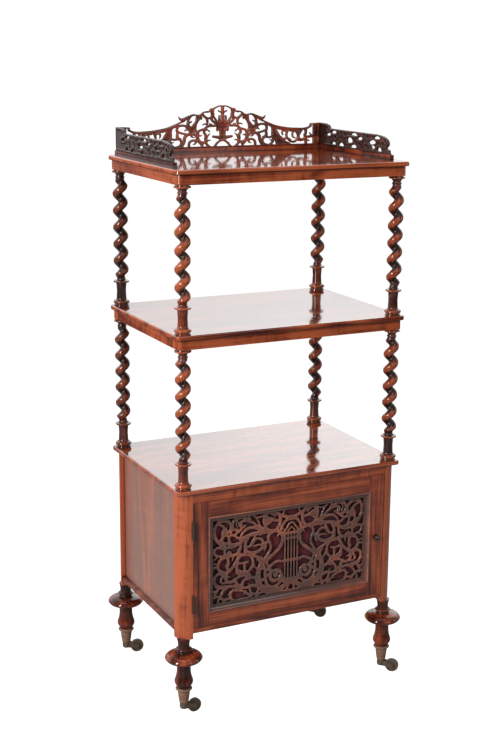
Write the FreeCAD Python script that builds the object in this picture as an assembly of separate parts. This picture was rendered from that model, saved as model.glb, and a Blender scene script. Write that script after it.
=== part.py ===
"""Victorian etagere: two open shelves on rope-twist columns over a small cupboard, on brass castors.

Frame: millimetres, +Z up, +X to the right of somebody facing the cupboard door, +Y to the back.
The origin is on the floor, midway between the four legs.
"""
import FreeCAD, Part
import math
import os

Vec = FreeCAD.Vector
UP = Vec(0, 0, 1)

# ---------------------------------------------------------------- driving sizes
# Plan
column_span_x = 516.0          # between column axes, left to right
column_span_y = 352.0          # between column axes, front to back
board_overhang = 22.0          # shelf edge beyond the column axes
case_overhang = 16.0           # frieze and cupboard faces beyond the column axes

# Shelves and friezes
board_thickness = 10.0
board_corner_radius = 12.0
board_edge_round = 3.0
frieze_height = 21.5
frieze_thickness = 32.0
frieze_corner_radius = 10.0
upper_column_length = 312.5
lower_column_length = 309.0

# Castors
wheel_radius = 15.9
wheel_width = 8.0
wheel_dish_depth = 1.4
wheel_rim_width = 3.2
wheel_hub_radius = 5.0
wheel_trail = 26.5             # axle behind the swivel pin
axle_radius = 2.0
axle_head_radius = 3.2
axle_head_height = 1.5
fork_arm_thickness = 3.0
fork_arm_tip_radius = 5.2
fork_side_gap = 0.5
running_gap = 0.05             # radial clearance of a turning fit
boss_radius = 9.5
boss_bottom_height = 13.7      # above the floor
boss_height = 17.0
boss_round = 5.0
swivel_pin_radius = 3.0
swivel_head_radius = 5.0
swivel_head_height = 2.0
bearing_gap = 0.3
cup_height = 35.0
cup_floor_thickness = 3.0
cup_bottom_radius = 10.6
cup_top_radius = 14.4
cup_rim_radius = 18.8
cup_rim_height = 6.0
cup_wall = 1.8
cup_fit_gap = 0.15

# Feet, turned below each post
foot_height = 118.0            # cup rim to the underside of the post
foot_neck_radius = 12.8
foot_ring_radius = 18.4
bun_radius = 42.3
bun_thickness = 27.0
vase_neck_radius = 15.6
vase_bulb_radius = 20.7
foot_waist_radius = 16.0
spigot_pocket_radius = 6.0
spigot_pocket_depth = 6.0

# Cupboard
post_size = 32.0
post_corner_radius = 31.0
post_drop = 13.0               # post end below the cupboard floor board
floor_board_thickness = 9.5
floor_board_setback = 2.0
cupboard_height = 314.0        # floor board to shelf above
front_rail_height = 20.5
front_rail_thickness = 20.0
side_panel_recess = 11.5
side_panel_thickness = 8.0
back_panel_recess = 4.0
back_panel_thickness = 6.0

# Door
door_thickness = 18.0
door_setback = 0.5
door_gap = 0.7
door_end_gap = 0.5
stile_width = 39.5
door_bottom_rail_width = 36.5
door_top_rail_width = 40.5
moulding_lap = 3.5             # part of the moulding that lies on the frame
moulding_reach = 9.5           # part that stands over the fret
moulding_bead_height = 3.0
fret_recess = 6.0
fret_thickness = 5.0
fret_edge_gap = 0.3
cloth_gap = 0.3
cloth_thickness = 0.8

# Hinges
knuckle_radius = 2.5
hinge_pin_radius = 1.25
hinge_length = 40.0
hinge_leaf_width = 14.0
hinge_leaf_thickness = 1.0
hinge_stand_off = 0.1
hinge_knuckle_gap = 0.1
upper_hinge_height = 231.0     # hinge centre above the floor board
lower_hinge_height = 59.0
hinge_pin_tip_radius = 2.0

# Knob and turning catch
knob_height = 143.5            # above the floor board
knob_inset = 19.0              # from the door's free edge
knob_radius = 7.5
knob_length = 15.0
knob_neck_radius = 3.6
knob_plate_radius = 6.4
knob_plate_thickness = 1.2
spindle_radius = 2.5
tongue_length = 27.0
tongue_width = 10.0
tongue_thickness = 2.0
tongue_gap = 0.3
strike_clearance = 1.0

# Columns
column_foot_radius = 17.5
column_foot_height = 2.2
column_bead_radius = 18.8
column_bead_height = 8.4
column_vase_radius = 10.4
column_collar_radius = 18.3
column_collar_height = 57.0
column_base_height = 62.5
column_capital_height = 19.5
column_neck_radius = 9.6
column_capital_ring_radius = 18.4
twist_turns = 6
twist_ridge_radius = 17.1       # rope twist: from the axis to the top of the strand
twist_groove_radius = 4.0       # from the axis to the bottom of the groove
twist_fullness = 1.4            # above 1, the strand is wider than the groove
twist_run_out = 0.07           # share of the twist over which it dies into the necks
twist_sections_per_turn = 12
twist_points_round = 16

# Gallery on the top shelf
gallery_thickness = 7.0
gallery_inset = 15.0           # outer faces in from the shelf edge
gallery_strip_height = 10.5
gallery_strip_thickness = 10.0
gallery_back_height = 107.0
gallery_side_height = 62.5
gallery_side_length = 329.5

# ---------------------------------------------------------------- heights and planes
half_x = column_span_x / 2
half_y = column_span_y / 2
face_x = half_x + case_overhang
face_y = half_y + case_overhang
edge_x = half_x + board_overhang
edge_y = half_y + board_overhang

cup_bottom_z = boss_bottom_height + boss_height + bearing_gap
cup_top_z = cup_bottom_z + cup_height
post_bottom_z = cup_top_z + foot_height
floor_board_z = post_bottom_z + post_drop
cupboard_floor_z = floor_board_z + floor_board_thickness
cupboard_top_z = cupboard_floor_z + cupboard_height
lower_shelf_z = cupboard_top_z + board_thickness
middle_frieze_z = lower_shelf_z + lower_column_length
middle_board_z = middle_frieze_z + frieze_height
middle_shelf_z = middle_board_z + board_thickness
top_frieze_z = middle_shelf_z + upper_column_length
top_board_z = top_frieze_z + frieze_height
top_shelf_z = top_board_z + board_thickness

post_inner_x = face_x - post_size
post_inner_y = face_y - post_size
front_rail_z = cupboard_top_z - front_rail_height

door_front_y = -face_y + door_setback
door_back_y = door_front_y + door_thickness
door_left_x = -post_inner_x + door_gap
door_right_x = post_inner_x - door_gap
door_bottom_z = cupboard_floor_z + door_end_gap
door_top_z = front_rail_z - door_end_gap
panel_left_x = door_left_x + stile_width
panel_right_x = door_right_x - stile_width
panel_bottom_z = door_bottom_z + door_bottom_rail_width
panel_top_z = door_top_z - door_top_rail_width
fret_front_y = door_front_y + fret_recess

hinge_x = -post_inner_x + door_gap / 2
hinge_y = -face_y - knuckle_radius - hinge_stand_off
hinge_heights = (cupboard_floor_z + lower_hinge_height, cupboard_floor_z + upper_hinge_height)

knob_x = door_right_x - knob_inset
knob_z = cupboard_floor_z + knob_height

gallery_outer_x = edge_x - gallery_inset
gallery_inner_x = gallery_outer_x - gallery_thickness
gallery_back_y = edge_y - gallery_inset
gallery_front_y = gallery_back_y - gallery_thickness

corners = {
    "front_left": (-half_x, -half_y),
    "front_right": (half_x, -half_y),
    "back_left": (-half_x, half_y),
    "back_right": (half_x, half_y),
}
# Each castor has rolled to a stop with its trail in its own direction, in degrees from +X.
castor_rest_angles = {"front_left": 4, "front_right": -38, "back_left": -10, "back_right": -38}
# Each column was turned by hand, so its twist starts where it happened to, in degrees.
upper_twist_starts = {"front_left": 175, "front_right": 291, "back_left": 130, "back_right": 274}
lower_twist_starts = {"front_left": 249, "front_right": 172, "back_left": 96, "back_right": 229}

# ---------------------------------------------------------------- pierced patterns
# Each opening is a smooth closed loop through a few points. x is from the middle of the pattern
# and h from its lower edge, on a panel of the drawn size. All but the last few are mirrored.
door_pattern_half_width = 192.3
door_pattern_height = 196.5
door_pattern_shift = 4.3       # the lyre was sawn this far to the right of the panel's middle
door_pattern_mirrored = [
    [(23.4, 188.2), (22.6, 190.4), (21.7, 193.3), (21.6, 195), (24.8, 195.4), (29.9, 195.4), (32.9, 195.1),
     (31.9, 193.6), (27.8, 190.5)],
    [(26, 161.1), (25, 162.2), (21.3, 167.7), (16, 173.4), (14.5, 175.4), (15.8, 176.2), (19.3, 177.7),
     (22.1, 178.9), (23.9, 179.3), (24.1, 176.4), (24.5, 168.3), (25.4, 164.8), (26.2, 162.3)],
    [(29.3, 152.4), (28.7, 154.9), (27.7, 157.1), (28.8, 157.4), (30.4, 155.2), (31.4, 153.2)],
    [(21, 145.2), (19.3, 146.9), (19.6, 149.2), (21.6, 149.7), (23.7, 148.5), (23, 146.3)],
    [(18.3, 36.1), (17.8, 39.5), (17.8, 45.5), (17.8, 56.1), (17.8, 66.6), (18, 70.4), (23.2, 71.4),
     (30.4, 73.3), (35.7, 72.5), (42.1, 69.9), (48.6, 65), (50, 62.8), (48.8, 61.2), (42.3, 58.7),
     (39.4, 59.5), (35.2, 59.8), (24.4, 54.1), (21.6, 49.1), (20.3, 43.3), (19.7, 39.4), (19.7, 37)],
    [(30.3, 14.8), (27.9, 15.3), (24.5, 16.5), (19.5, 19.2), (17.6, 21), (20.3, 22.7), (23.4, 23.9),
     (24.9, 22.1), (28.9, 17.7), (31.9, 15.2)],
    [(12.3, 4.3), (11.1, 8.2), (11.1, 10.5), (12.7, 10.1), (16, 8), (18.1, 6.8), (19.4, 6), (18.9, 4.9),
     (16.2, 4.5)],
    [(32.3, 176.9), (31.9, 178.6), (32.6, 181.1), (34.7, 184.8), (36.7, 187), (38.1, 188.2), (38.8, 187.3),
     (38.4, 185.3), (39.5, 183.2), (42.6, 182.7), (45.3, 185.4), (48.4, 188.2), (51.4, 188.1),
     (52.8, 189.2), (50.9, 191), (51.7, 191.9), (53.2, 191.8), (55.9, 191.4), (58.7, 190.4), (59.8, 189.4),
     (59.2, 188.2), (56.5, 187), (49.9, 184), (44.7, 180.9), (34.9, 177.3)],
    [(41.7, 155.2), (38.8, 157.3), (33.6, 164.2), (32.4, 167.3), (32, 170), (34.2, 170.6), (38.1, 171),
     (42, 171.6), (45.5, 172.3), (48.5, 172.9), (49.5, 171.9), (54.2, 168.2), (59.6, 165.7), (60.7, 164.8),
     (59.8, 162.6), (53.5, 157.1), (46.8, 155.6), (43.5, 155.3)],
    [(55.7, 92.6), (53.9, 93.8), (49.7, 96.8), (44, 101.1), (35.1, 108.3), (29, 115.3), (25.3, 130.9),
     (25.8, 135.4), (27.8, 137.6), (28.6, 138.8), (30, 139.1), (31, 138.1), (32.1, 136.3), (32.8, 134.3),
     (34.4, 134), (34.9, 135.7), (33.5, 141.2), (32.7, 143.7), (35.9, 145), (43.9, 146), (46.4, 145),
     (53.1, 139.8), (52.5, 129), (50.6, 125), (48.1, 115.4), (51.6, 101), (53.3, 98.1), (54.9, 95.6),
     (56.4, 93.4)],
    [(53, 70.9), (51.1, 72.4), (47.7, 74.9), (39, 78.9), (30.4, 80.1), (20, 77.6), (18.3, 78.1),
     (17.8, 82.2), (17.8, 90), (17.8, 101.1), (17.8, 114.6), (18.4, 120), (21.2, 113.1), (27.9, 104),
     (36.9, 96.1), (47, 88.5), (53.6, 83.3), (57.6, 78.7), (55.6, 72.9)],
    [(42.2, 20.2), (32.7, 24.4), (31, 26.5), (30.1, 28.1), (30.4, 29.5), (31.9, 29.1), (33.9, 28.4),
     (43.2, 26.8), (51, 30.5), (54.5, 35.4), (55.7, 40.6), (55.9, 44.1), (58.6, 42), (59.9, 40), (58, 34.9),
     (56.9, 29.6), (54.9, 26.2), (50.8, 22.3)],
    [(66.8, 90.1), (65.4, 91.7), (62.7, 95.7), (56.2, 106.1), (54.3, 114.6), (56.2, 121.8), (57.9, 124.1),
     (60.4, 122.3), (60.4, 120.3), (60.5, 117), (62.3, 111.9), (65.4, 107.9), (68.6, 106.3), (69.1, 107.7),
     (68.7, 110.4), (69.9, 111.7), (71.6, 110.1), (76.8, 106.1), (84.5, 103.5), (88.7, 102.4), (83.4, 98.8),
     (76.3, 95.4), (71.2, 92.8), (68.8, 91.1)],
    [(58.7, 64.8), (57.8, 65.9), (58.7, 67.1), (60.2, 69), (62.6, 73.5), (63.1, 74.9), (63.6, 76.3),
     (65.5, 76.2), (63.9, 71.7), (62.6, 66.8)],
    [(60.3, 49.6), (59.2, 50.6), (57.5, 52.3), (55.9, 53.6), (54.7, 54.6), (54.5, 56.1), (56.2, 56.5),
     (59.8, 55.9), (61, 52.5), (61.2, 50.4)],
    [(64.1, 24), (64.9, 28.6), (66.7, 33.2), (69, 33.7), (71.7, 34), (72.8, 33.2), (72.4, 31.8),
     (71.5, 30.2), (68.2, 26.4)],
    [(79.2, 190.6), (70.8, 193), (67.2, 194.8), (71.2, 195.4), (79.6, 195.4), (88, 195.4), (91.3, 194.7),
     (87.4, 192.1)],
    [(69.2, 163.6), (68.8, 164.9), (69.3, 166.3), (70, 168.3), (71.6, 173.8), (71.9, 178.6), (71.1, 184.2),
     (70.7, 187.3), (72.2, 187.3), (77.7, 185.9), (82.7, 185.5), (80.5, 180.6), (76.5, 170.9),
     (70.5, 164.2)],
    [(64.7, 128.4), (62.3, 129.8), (60.5, 131.6), (60.7, 134.3), (60.2, 140.6), (58.5, 144.1),
     (57.5, 146.2), (60.3, 146.6), (65.4, 146.6), (71.1, 146.9), (73.2, 146.9), (74.3, 144.4),
     (77.8, 144.5), (81.5, 145.7), (84.3, 146.6), (86.8, 144), (88, 142), (86.8, 141.6), (85, 142),
     (82.6, 142.3), (73.3, 138.7), (68.2, 132.9), (66.9, 130.1), (66.1, 128.5)],
    [(89.7, 110.4), (76, 116.2), (74.5, 118.4), (78.2, 120.7), (83.8, 121), (89.2, 120.4), (92.1, 119.7),
     (93.9, 119.6), (95.2, 121.9), (92, 123.8), (86.2, 125.3), (82, 125.8), (76.9, 125.7), (73.4, 125.2),
     (73.6, 128.5), (77.8, 133.8), (82.5, 135.8), (88.7, 133.9), (90.7, 130.3), (94.8, 124.7),
     (99.4, 121.4), (104.3, 120.3), (107.6, 120.1), (108.6, 119.1), (108.2, 117.7), (106.4, 114.9),
     (102, 112.4)],
    [(83.6, 70.4), (81.5, 73.7), (79.4, 77.6), (79.9, 79.9), (83.2, 85.9), (84.8, 87.2), (85.8, 88.3),
     (84.6, 90.7), (86.2, 92), (90.7, 95.1), (91.9, 96), (93.2, 95.8), (92.7, 93.8), (91.5, 88.5),
     (91.1, 85.5), (90.1, 81.7), (89.8, 78.2), (87.8, 73.9), (85.4, 71.2)],
    [(68.1, 42.1), (67.7, 45), (68.2, 51), (67.1, 57.2), (66.2, 59.7), (70, 61.6), (74.3, 62.3), (75, 59.1),
     (75.6, 53.7), (75.8, 50.7), (75.1, 48.4), (74.8, 44.8), (74.3, 42.5), (71.4, 42.2)],
    [(77.9, 9.3), (75.5, 9.9), (74.8, 11.4), (76.4, 12.8), (78.1, 12.5), (78.8, 10.5)],
    [(62, 1.2), (61.6, 2.2), (63.1, 3.1), (66.3, 4.8), (69, 5), (73.2, 4.8), (77, 3.9), (79.4, 2.8),
     (80.2, 1.4), (78.8, 1.1), (75.2, 1.1), (68.6, 1.1), (64, 1.1)],
    [(82.7, 171.3), (86.3, 181.9), (88.3, 185.6), (89.6, 188), (93.2, 190.2), (96, 193.3), (97.4, 195.2),
     (99.5, 195.1), (101.2, 193.5), (103.1, 190.6), (99.7, 188), (100, 184.7), (97.4, 183.2), (94.4, 181.2),
     (90.8, 178.5)],
    [(119.9, 149.2), (116.7, 150.2), (106.3, 153.4), (92.5, 156.1), (85, 156.8), (82.8, 157.4),
     (86.3, 159.7), (99.6, 163.3), (106.4, 162.6), (113.1, 159.9)],
    [(106.4, 125.7), (102.6, 126.4), (101.7, 128.6), (99.7, 132), (96.5, 137.8), (95.2, 141.1),
     (93.4, 146.1), (97.8, 145.9), (103.7, 144.1), (104.6, 140.4), (105, 139.1), (107.5, 138.5),
     (108, 137.1), (109, 132.7), (109.6, 127.9), (109.4, 126.1)],
    [(87.9, 50.1), (87.2, 52.6), (86, 60.3), (85.4, 64.2), (86.7, 65.8), (89.2, 69.2), (91, 72.2),
     (92.4, 70.7), (94.7, 70.5), (96.1, 68.6), (99.6, 64.9), (101.3, 63.7), (102.6, 62.9), (103, 61.6),
     (101.9, 60.6), (100, 59.1), (98.2, 55.3), (97.4, 53.4), (92.7, 51.5)],
    [(107.3, 29.8), (104.3, 31.2), (105.8, 33.3), (107.7, 34.3), (108, 35.6), (105.8, 36.1), (103, 35.2),
     (100.7, 33.3), (98.9, 31.8), (96.9, 32.3), (91.9, 33.2), (89.7, 31.7), (87.5, 31.2), (87.7, 35.3),
     (87.9, 38.9), (88, 41), (90.4, 42.7), (95.7, 44.8), (98.6, 45.4), (101.3, 44.1), (104.8, 43.3),
     (109, 43.5), (111, 43.6), (113.6, 41.5), (116.5, 36.7), (116.6, 33.4), (116.3, 31), (113.5, 30)],
    [(88.1, 10.5), (85, 12.3), (83.5, 16.5), (83, 20.2), (86.5, 22.1), (92, 23.6), (94.2, 24.6),
     (95.5, 25.2), (97, 24.9), (98.4, 24.3), (98.4, 20.9), (95, 13.6), (91.8, 11.4)],
    [(89.3, 1.2), (87.9, 3.9), (89.4, 4.2), (91.2, 4.5), (94.2, 3.3), (95.7, 2.3), (95.6, 1.2), (94.1, 1.1),
     (92.3, 1.1), (90.8, 1.1)],
    [(109.4, 193.2), (107.9, 194.6), (109.9, 195.4), (111.7, 195.4), (113, 194.3), (111.1, 193.4)],
    [(128.9, 167.7), (126.4, 170), (128.5, 172.5), (130.9, 176.6), (130.2, 181.2), (125.7, 186.4),
     (121.2, 188), (118.4, 188.8), (119.2, 189.8), (121.6, 190.2), (125.4, 190.6), (127.8, 190.4),
     (129.8, 188.6), (131.5, 186.5), (132.1, 175.3), (130.6, 172.3), (131.4, 171.1), (132.4, 170.3),
     (131.2, 169.2)],
    [(128.1, 149.7), (124.8, 154.8), (121.5, 159.9), (113.9, 167), (100.4, 170.5), (95, 170.2), (93.5, 170),
     (92, 169.8), (91.3, 170.8), (92.9, 172.6), (94.9, 174.3), (99.7, 177.5), (109.2, 181.1),
     (119.2, 181.3), (121.4, 179.9), (119.8, 177.2), (118.6, 175.2), (115, 176.4), (111.8, 175.2),
     (111.6, 172), (114.1, 170), (117.7, 167.9), (123.7, 162.4), (131, 157.7), (134.8, 155.5),
     (132.8, 152.7)],
    [(117.9, 108.9), (117.2, 113), (116.8, 119.6), (117.4, 124.7), (117.2, 130.4), (116.6, 134.9),
     (116.6, 136.9), (119.9, 134.9), (120.2, 133.4), (120.7, 131.1), (121.4, 124.2), (123.5, 117.3),
     (125.2, 114.1), (125.8, 112.2), (124.4, 111.6), (120.9, 110.7)],
    [(109.7, 67.6), (105.9, 68.8), (102, 71.9), (97.9, 83), (98.8, 90.8), (100.9, 95.7), (103.8, 98.7),
     (106.5, 100.7), (113.3, 101.1), (119, 102), (121.9, 102.5), (125.4, 98.9), (128, 94.8), (128.7, 92.3),
     (127.7, 91.2), (116.5, 89), (108.4, 90), (104.2, 89.1), (104.1, 85.7), (108.1, 84.2), (111.4, 83.3),
     (111.8, 81.6), (112.1, 78.3), (111.5, 71.1), (111.4, 69.6), (111.2, 68.1)],
    [(117.6, 68.7), (117.2, 71.2), (118, 76.9), (118, 81.4), (118, 83.4), (119.7, 84), (124.2, 84.4),
     (126.5, 85), (128, 85.3), (129.4, 82.6), (130.3, 78), (125.1, 71.5), (119.9, 69.1)],
    [(124.2, 36.5), (123.1, 39.9), (119.9, 45.3), (115.4, 49.7), (114.2, 50.6), (113, 51.5), (112.7, 52.7),
     (114.5, 52.9), (116.6, 53), (121.1, 52.9), (125.3, 52.3), (130.5, 50.8), (132.9, 48.3), (130.9, 43.1),
     (126.7, 38.4)],
    [(102.2, 11.4), (104.2, 19.4), (105.2, 22.8), (107.6, 22.9), (110.3, 22.9), (115.6, 23.6),
     (117.1, 23.9), (118.5, 24.4), (119.8, 23.9), (118.1, 22.8), (115.1, 21.3), (113.8, 20.6), (111.7, 21),
     (109.5, 20.3), (108.8, 18.7), (108.7, 16.6), (107.4, 15.3), (105.3, 13.6)],
    [(133.7, 3), (126.2, 3.7), (116.2, 3.8), (107.6, 4.4), (105.7, 5.1), (106.8, 6.7), (110.1, 9.4),
     (112.8, 11.2), (118.6, 10.8), (118.9, 12.4), (117.2, 13.1), (116.2, 14.1), (118.5, 16), (127.6, 19.7),
     (135, 21.1), (142.4, 21.8), (145.2, 13), (144.3, 9.9), (141.4, 5.1), (138.1, 3.8)],
    [(146.1, 186.3), (142.4, 192), (140.1, 194.8), (142.9, 195.4), (149.8, 195.4), (156.1, 194.7),
     (150.8, 190.9)],
    [(133.7, 170.7), (136.5, 176.4), (137.1, 179.3), (136.9, 183.2), (136.2, 187.6), (138.1, 186.1),
     (139.6, 183.5), (140.6, 179.7), (139.5, 173.2)],
    [(140.4, 158.7), (139, 159.8), (136.8, 161.5), (135.5, 163), (137.5, 164.1), (141.9, 165.2),
     (144.2, 165.3), (144.9, 163.4), (145.2, 161.9), (145.6, 160.4), (144.5, 159.6), (142.7, 159.2)],
    [(136.2, 137.1), (130, 138.3), (127.6, 139.4), (127.6, 140.8), (128.9, 143.1), (131.9, 144.5),
     (135.6, 147), (139.3, 150.6), (142, 151.8), (143.8, 153.4), (148.9, 152.5), (149.6, 150.2),
     (150.2, 147.6), (148, 143), (147.4, 141), (147.5, 139.2), (146.2, 138.5), (143.6, 138.1),
     (141.3, 137.3)],
    [(139.7, 112.6), (131.9, 116.9), (131.1, 118.2), (131.5, 119.3), (133.5, 118.8), (134.7, 119.8),
     (134, 121.1), (132.1, 122.5), (128.8, 123.8), (128.3, 126.8), (128.4, 129.1), (130.9, 128.4),
     (135.4, 126.6), (146.3, 124.6), (152.9, 124.9), (155.3, 125.3), (156.8, 125.4), (158.4, 123.7),
     (159.7, 121.3), (159.6, 117.2), (158.7, 115.1), (155.3, 118.7), (151.8, 120.4), (146.1, 116.1),
     (144.1, 113.1)],
    [(151.1, 79.3), (149.8, 80.2), (148.7, 81.2), (143.4, 86), (140, 90.6), (136.4, 96.5), (133.9, 101),
     (132.3, 104.1), (135.4, 104.6), (140.1, 104.2), (141, 101), (142.8, 96.9), (144.6, 94.5),
     (145.9, 94.7), (145.5, 98.7), (145.4, 102), (145.8, 104.1), (147, 104.7), (149.7, 104.6),
     (152.2, 103.8), (151.6, 100.9), (150.9, 97.3), (150.2, 93.5), (150.5, 87.5), (152.5, 82.9),
     (152.2, 79.9)],
    [(148.1, 50.1), (145.1, 50.4), (142.8, 51), (140.8, 53.6), (138.5, 54.3), (136.7, 54.2), (133.3, 56.1),
     (129.5, 58.1), (133.2, 61.1), (136.6, 67.3), (137.3, 71.4), (136.7, 74), (137.7, 77.5), (138.1, 79.2),
     (141.4, 76.9), (144.9, 74), (147.6, 71.7), (150.2, 69.6), (151.2, 68.5), (154.3, 66.7), (155.2, 64.5),
     (155.4, 62.7), (153.5, 62.1), (151.5, 61.4), (149.3, 59.5), (148.5, 57.9), (149.4, 56.9),
     (151.2, 57.5), (155.3, 56.6), (155.7, 54.4), (151.3, 50.3)],
    [(153.8, 169.5), (151.4, 171.6), (151.7, 174), (151, 176.3), (151.6, 179.8), (160, 187.5),
     (165.8, 188.9), (171.5, 188.5), (173.8, 187.1), (171.5, 185.9), (166.2, 183.1), (161.6, 177.7),
     (160.3, 175.1), (159.2, 175.9), (158.1, 176.9), (156.8, 176.5), (157, 174.8), (157, 173.3),
     (155.9, 171.1)],
    [(151.2, 158.1), (150.4, 159.6), (151.8, 161.2), (153.5, 161.7), (154.3, 160.1), (152.8, 158.6)],
    [(155, 141.9), (155.6, 145.2), (156.1, 148.4), (158, 154.5), (159.7, 154.6), (161.8, 154.8),
     (164.1, 153.3), (165.9, 147.2), (164.2, 144.1), (161.5, 142.9), (157.6, 142.3)],
    [(154.4, 133), (154.6, 134.1), (156, 134.7), (158.5, 135.6), (161.1, 135.7), (159.4, 134),
     (156.8, 133.1)],
    [(159.6, 73.8), (158.4, 74.9), (159.1, 78.4), (159.5, 81.1), (161.7, 82.8), (161.2, 85.1),
     (159.1, 90.1), (157.5, 93.3), (157.9, 97.4), (159, 101.2), (159.9, 103), (162.5, 102.7),
     (166.8, 101.4), (172.7, 97.2), (174.8, 91.6), (173.9, 82.5), (171.3, 79.6), (163.6, 74.9)],
    [(162.6, 48.4), (162, 49.6), (162.6, 50.9), (163.1, 52.7), (163.7, 55.3), (163.8, 57.1), (164.7, 58.1),
     (166, 57.6), (167.5, 57.5), (168.1, 56.1), (168.6, 53.2), (167, 49.1), (164.1, 48.4)],
    [(137.9, 39), (139.8, 42.8), (142.5, 42.6), (146.3, 42.2), (152.6, 42.6), (157.1, 44.1), (160.1, 43.5),
     (166.6, 43.6), (170.4, 45.3), (172.5, 48.2), (174.5, 49.5), (175.4, 52), (174.8, 54), (174.4, 56.3),
     (173.1, 58.4), (170.9, 62.6), (170.4, 64.9), (173.3, 66), (178.3, 66.1), (183.8, 61.3), (184.5, 54.8),
     (181.1, 47.3), (174.3, 43.6), (159.9, 40.8), (153.3, 40.6), (148, 40), (141.4, 39.2), (139.3, 39)],
    [(157.4, 10.2), (152.1, 11.5), (152.3, 13), (152.8, 15), (154.2, 15.5), (157, 17.1), (155.7, 18.6),
     (153.3, 18.9), (150.9, 21.5), (147.8, 25.9), (145.7, 27.6), (144.2, 29.3), (143.1, 30.1),
     (141.6, 29.8), (138.4, 28.9), (135.9, 29.2), (142.5, 31.8), (158, 29.7), (163.1, 26), (166.3, 20.9),
     (168.3, 17.3), (168.8, 14.7), (165.9, 11)],
    [(147.8, 1.2), (147.5, 2.6), (150.3, 3.8), (155.1, 3.4), (158.1, 3.2), (159.6, 3.2), (159.9, 1.7),
     (157.1, 1.1), (152.3, 1.1), (149.2, 1.1)],
    [(190.5, 181.5), (189.2, 183.5), (186.8, 187.6), (181.9, 192.8), (179.5, 194.9), (183.6, 195.4),
     (188.4, 195.4), (190.5, 195.2), (191.2, 192.8), (191.2, 188.3)],
    [(175.2, 149.8), (171.5, 153.9), (170.9, 161.7), (168.5, 170.3), (166.8, 174.4), (176.8, 182.5),
     (179.7, 183.1), (181.2, 180.9), (183.7, 173.5), (182.6, 160.2), (177.9, 151.8)],
    [(188, 131.4), (186.2, 132.6), (183.1, 134.3), (177.7, 134.9), (175.2, 135.2), (176.4, 136.9),
     (180.5, 141.3), (184.2, 145.5), (187.3, 149.7), (190.6, 155.3), (191.2, 151.1), (191.2, 140.3),
     (191.2, 136.1), (191, 133.4)],
    [(166.4, 112.9), (165.7, 122.2), (165.7, 124.3), (167.8, 125.4), (172.6, 127.1), (181.9, 127.8),
     (184.4, 125.3), (183.9, 119.5), (175.7, 115), (169.6, 113.7)],
    [(190.1, 106.6), (188.7, 107.3), (186.1, 109.4), (185, 111.4), (186.4, 113), (189.6, 116.6),
     (190.7, 117.8), (191.2, 114.9), (191.2, 110.3), (191.2, 108.8), (191.1, 107.3)],
    [(182, 95.8), (180.3, 99), (177.4, 103.2), (173.6, 106.1), (172.5, 107.1), (173.8, 108.3),
     (176.7, 108.8), (179.4, 109), (181.6, 107.4), (185.7, 104.9), (189.2, 104), (191, 103.1), (191.2, 101),
     (191.1, 98.3), (190, 97.5), (186.4, 97.4)],
    [(189.8, 89.2), (185.9, 90), (183.8, 90), (182.6, 90.7), (185.4, 92.6), (188.8, 93.7), (190.8, 93.2),
     (191.2, 91.8), (191, 89.7)],
    [(190.4, 65.4), (188.6, 67.8), (184.4, 71.7), (180, 73.6), (178, 74.1), (178.7, 75.9), (181.2, 80),
     (182.8, 83.1), (188.3, 83.5), (191, 82.3), (191.2, 79.6), (191.2, 73.6)],
    [(189.6, 32.7), (186.6, 32.8), (182.6, 34.1), (182.1, 35.3), (183.2, 36.4), (186.4, 38.6),
     (187.9, 40.8), (187.7, 43.1), (188.4, 44.8), (190.5, 48), (191.2, 45.4), (191.2, 38.5), (191.2, 34.9),
     (191, 33.1)],
    [(175.5, 18.7), (173.4, 21.5), (170.7, 26.2), (168.4, 29.4), (167.5, 30.9), (169.9, 32.3),
     (173.5, 32.6), (175.5, 32.6), (177.5, 30.4), (179.3, 27.6), (179.9, 26.2), (179.2, 23.7),
     (180.2, 22.7), (183.6, 25.2), (184.3, 23), (183.3, 21.6), (180.8, 19.5), (177, 18.7)],
    [(182.1, 1.2), (181.2, 4.1), (180.3, 8.5), (178.8, 11.2), (178.2, 12.5), (180.9, 13.4), (188.4, 12.7),
     (191, 12.5), (191.2, 11), (191.2, 7.7), (191.2, 3.5), (191, 1.7), (189.6, 1.1), (185.7, 1.1),
     (183.6, 1.1)],
    [(168.2, 1.2), (167.5, 2.3), (169, 4.9), (172.3, 7.8), (173.8, 8.8), (175.3, 7), (175.8, 2.6),
     (175, 1.3), (172.4, 1.1), (169.6, 1.1)],
    [(189.6, 19.5), (189.8, 22.5), (189.3, 25.7), (189.1, 27.2), (190.5, 27.6), (191.1, 24.6),
     (191.1, 21.5), (190.9, 20.1)],
]
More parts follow.
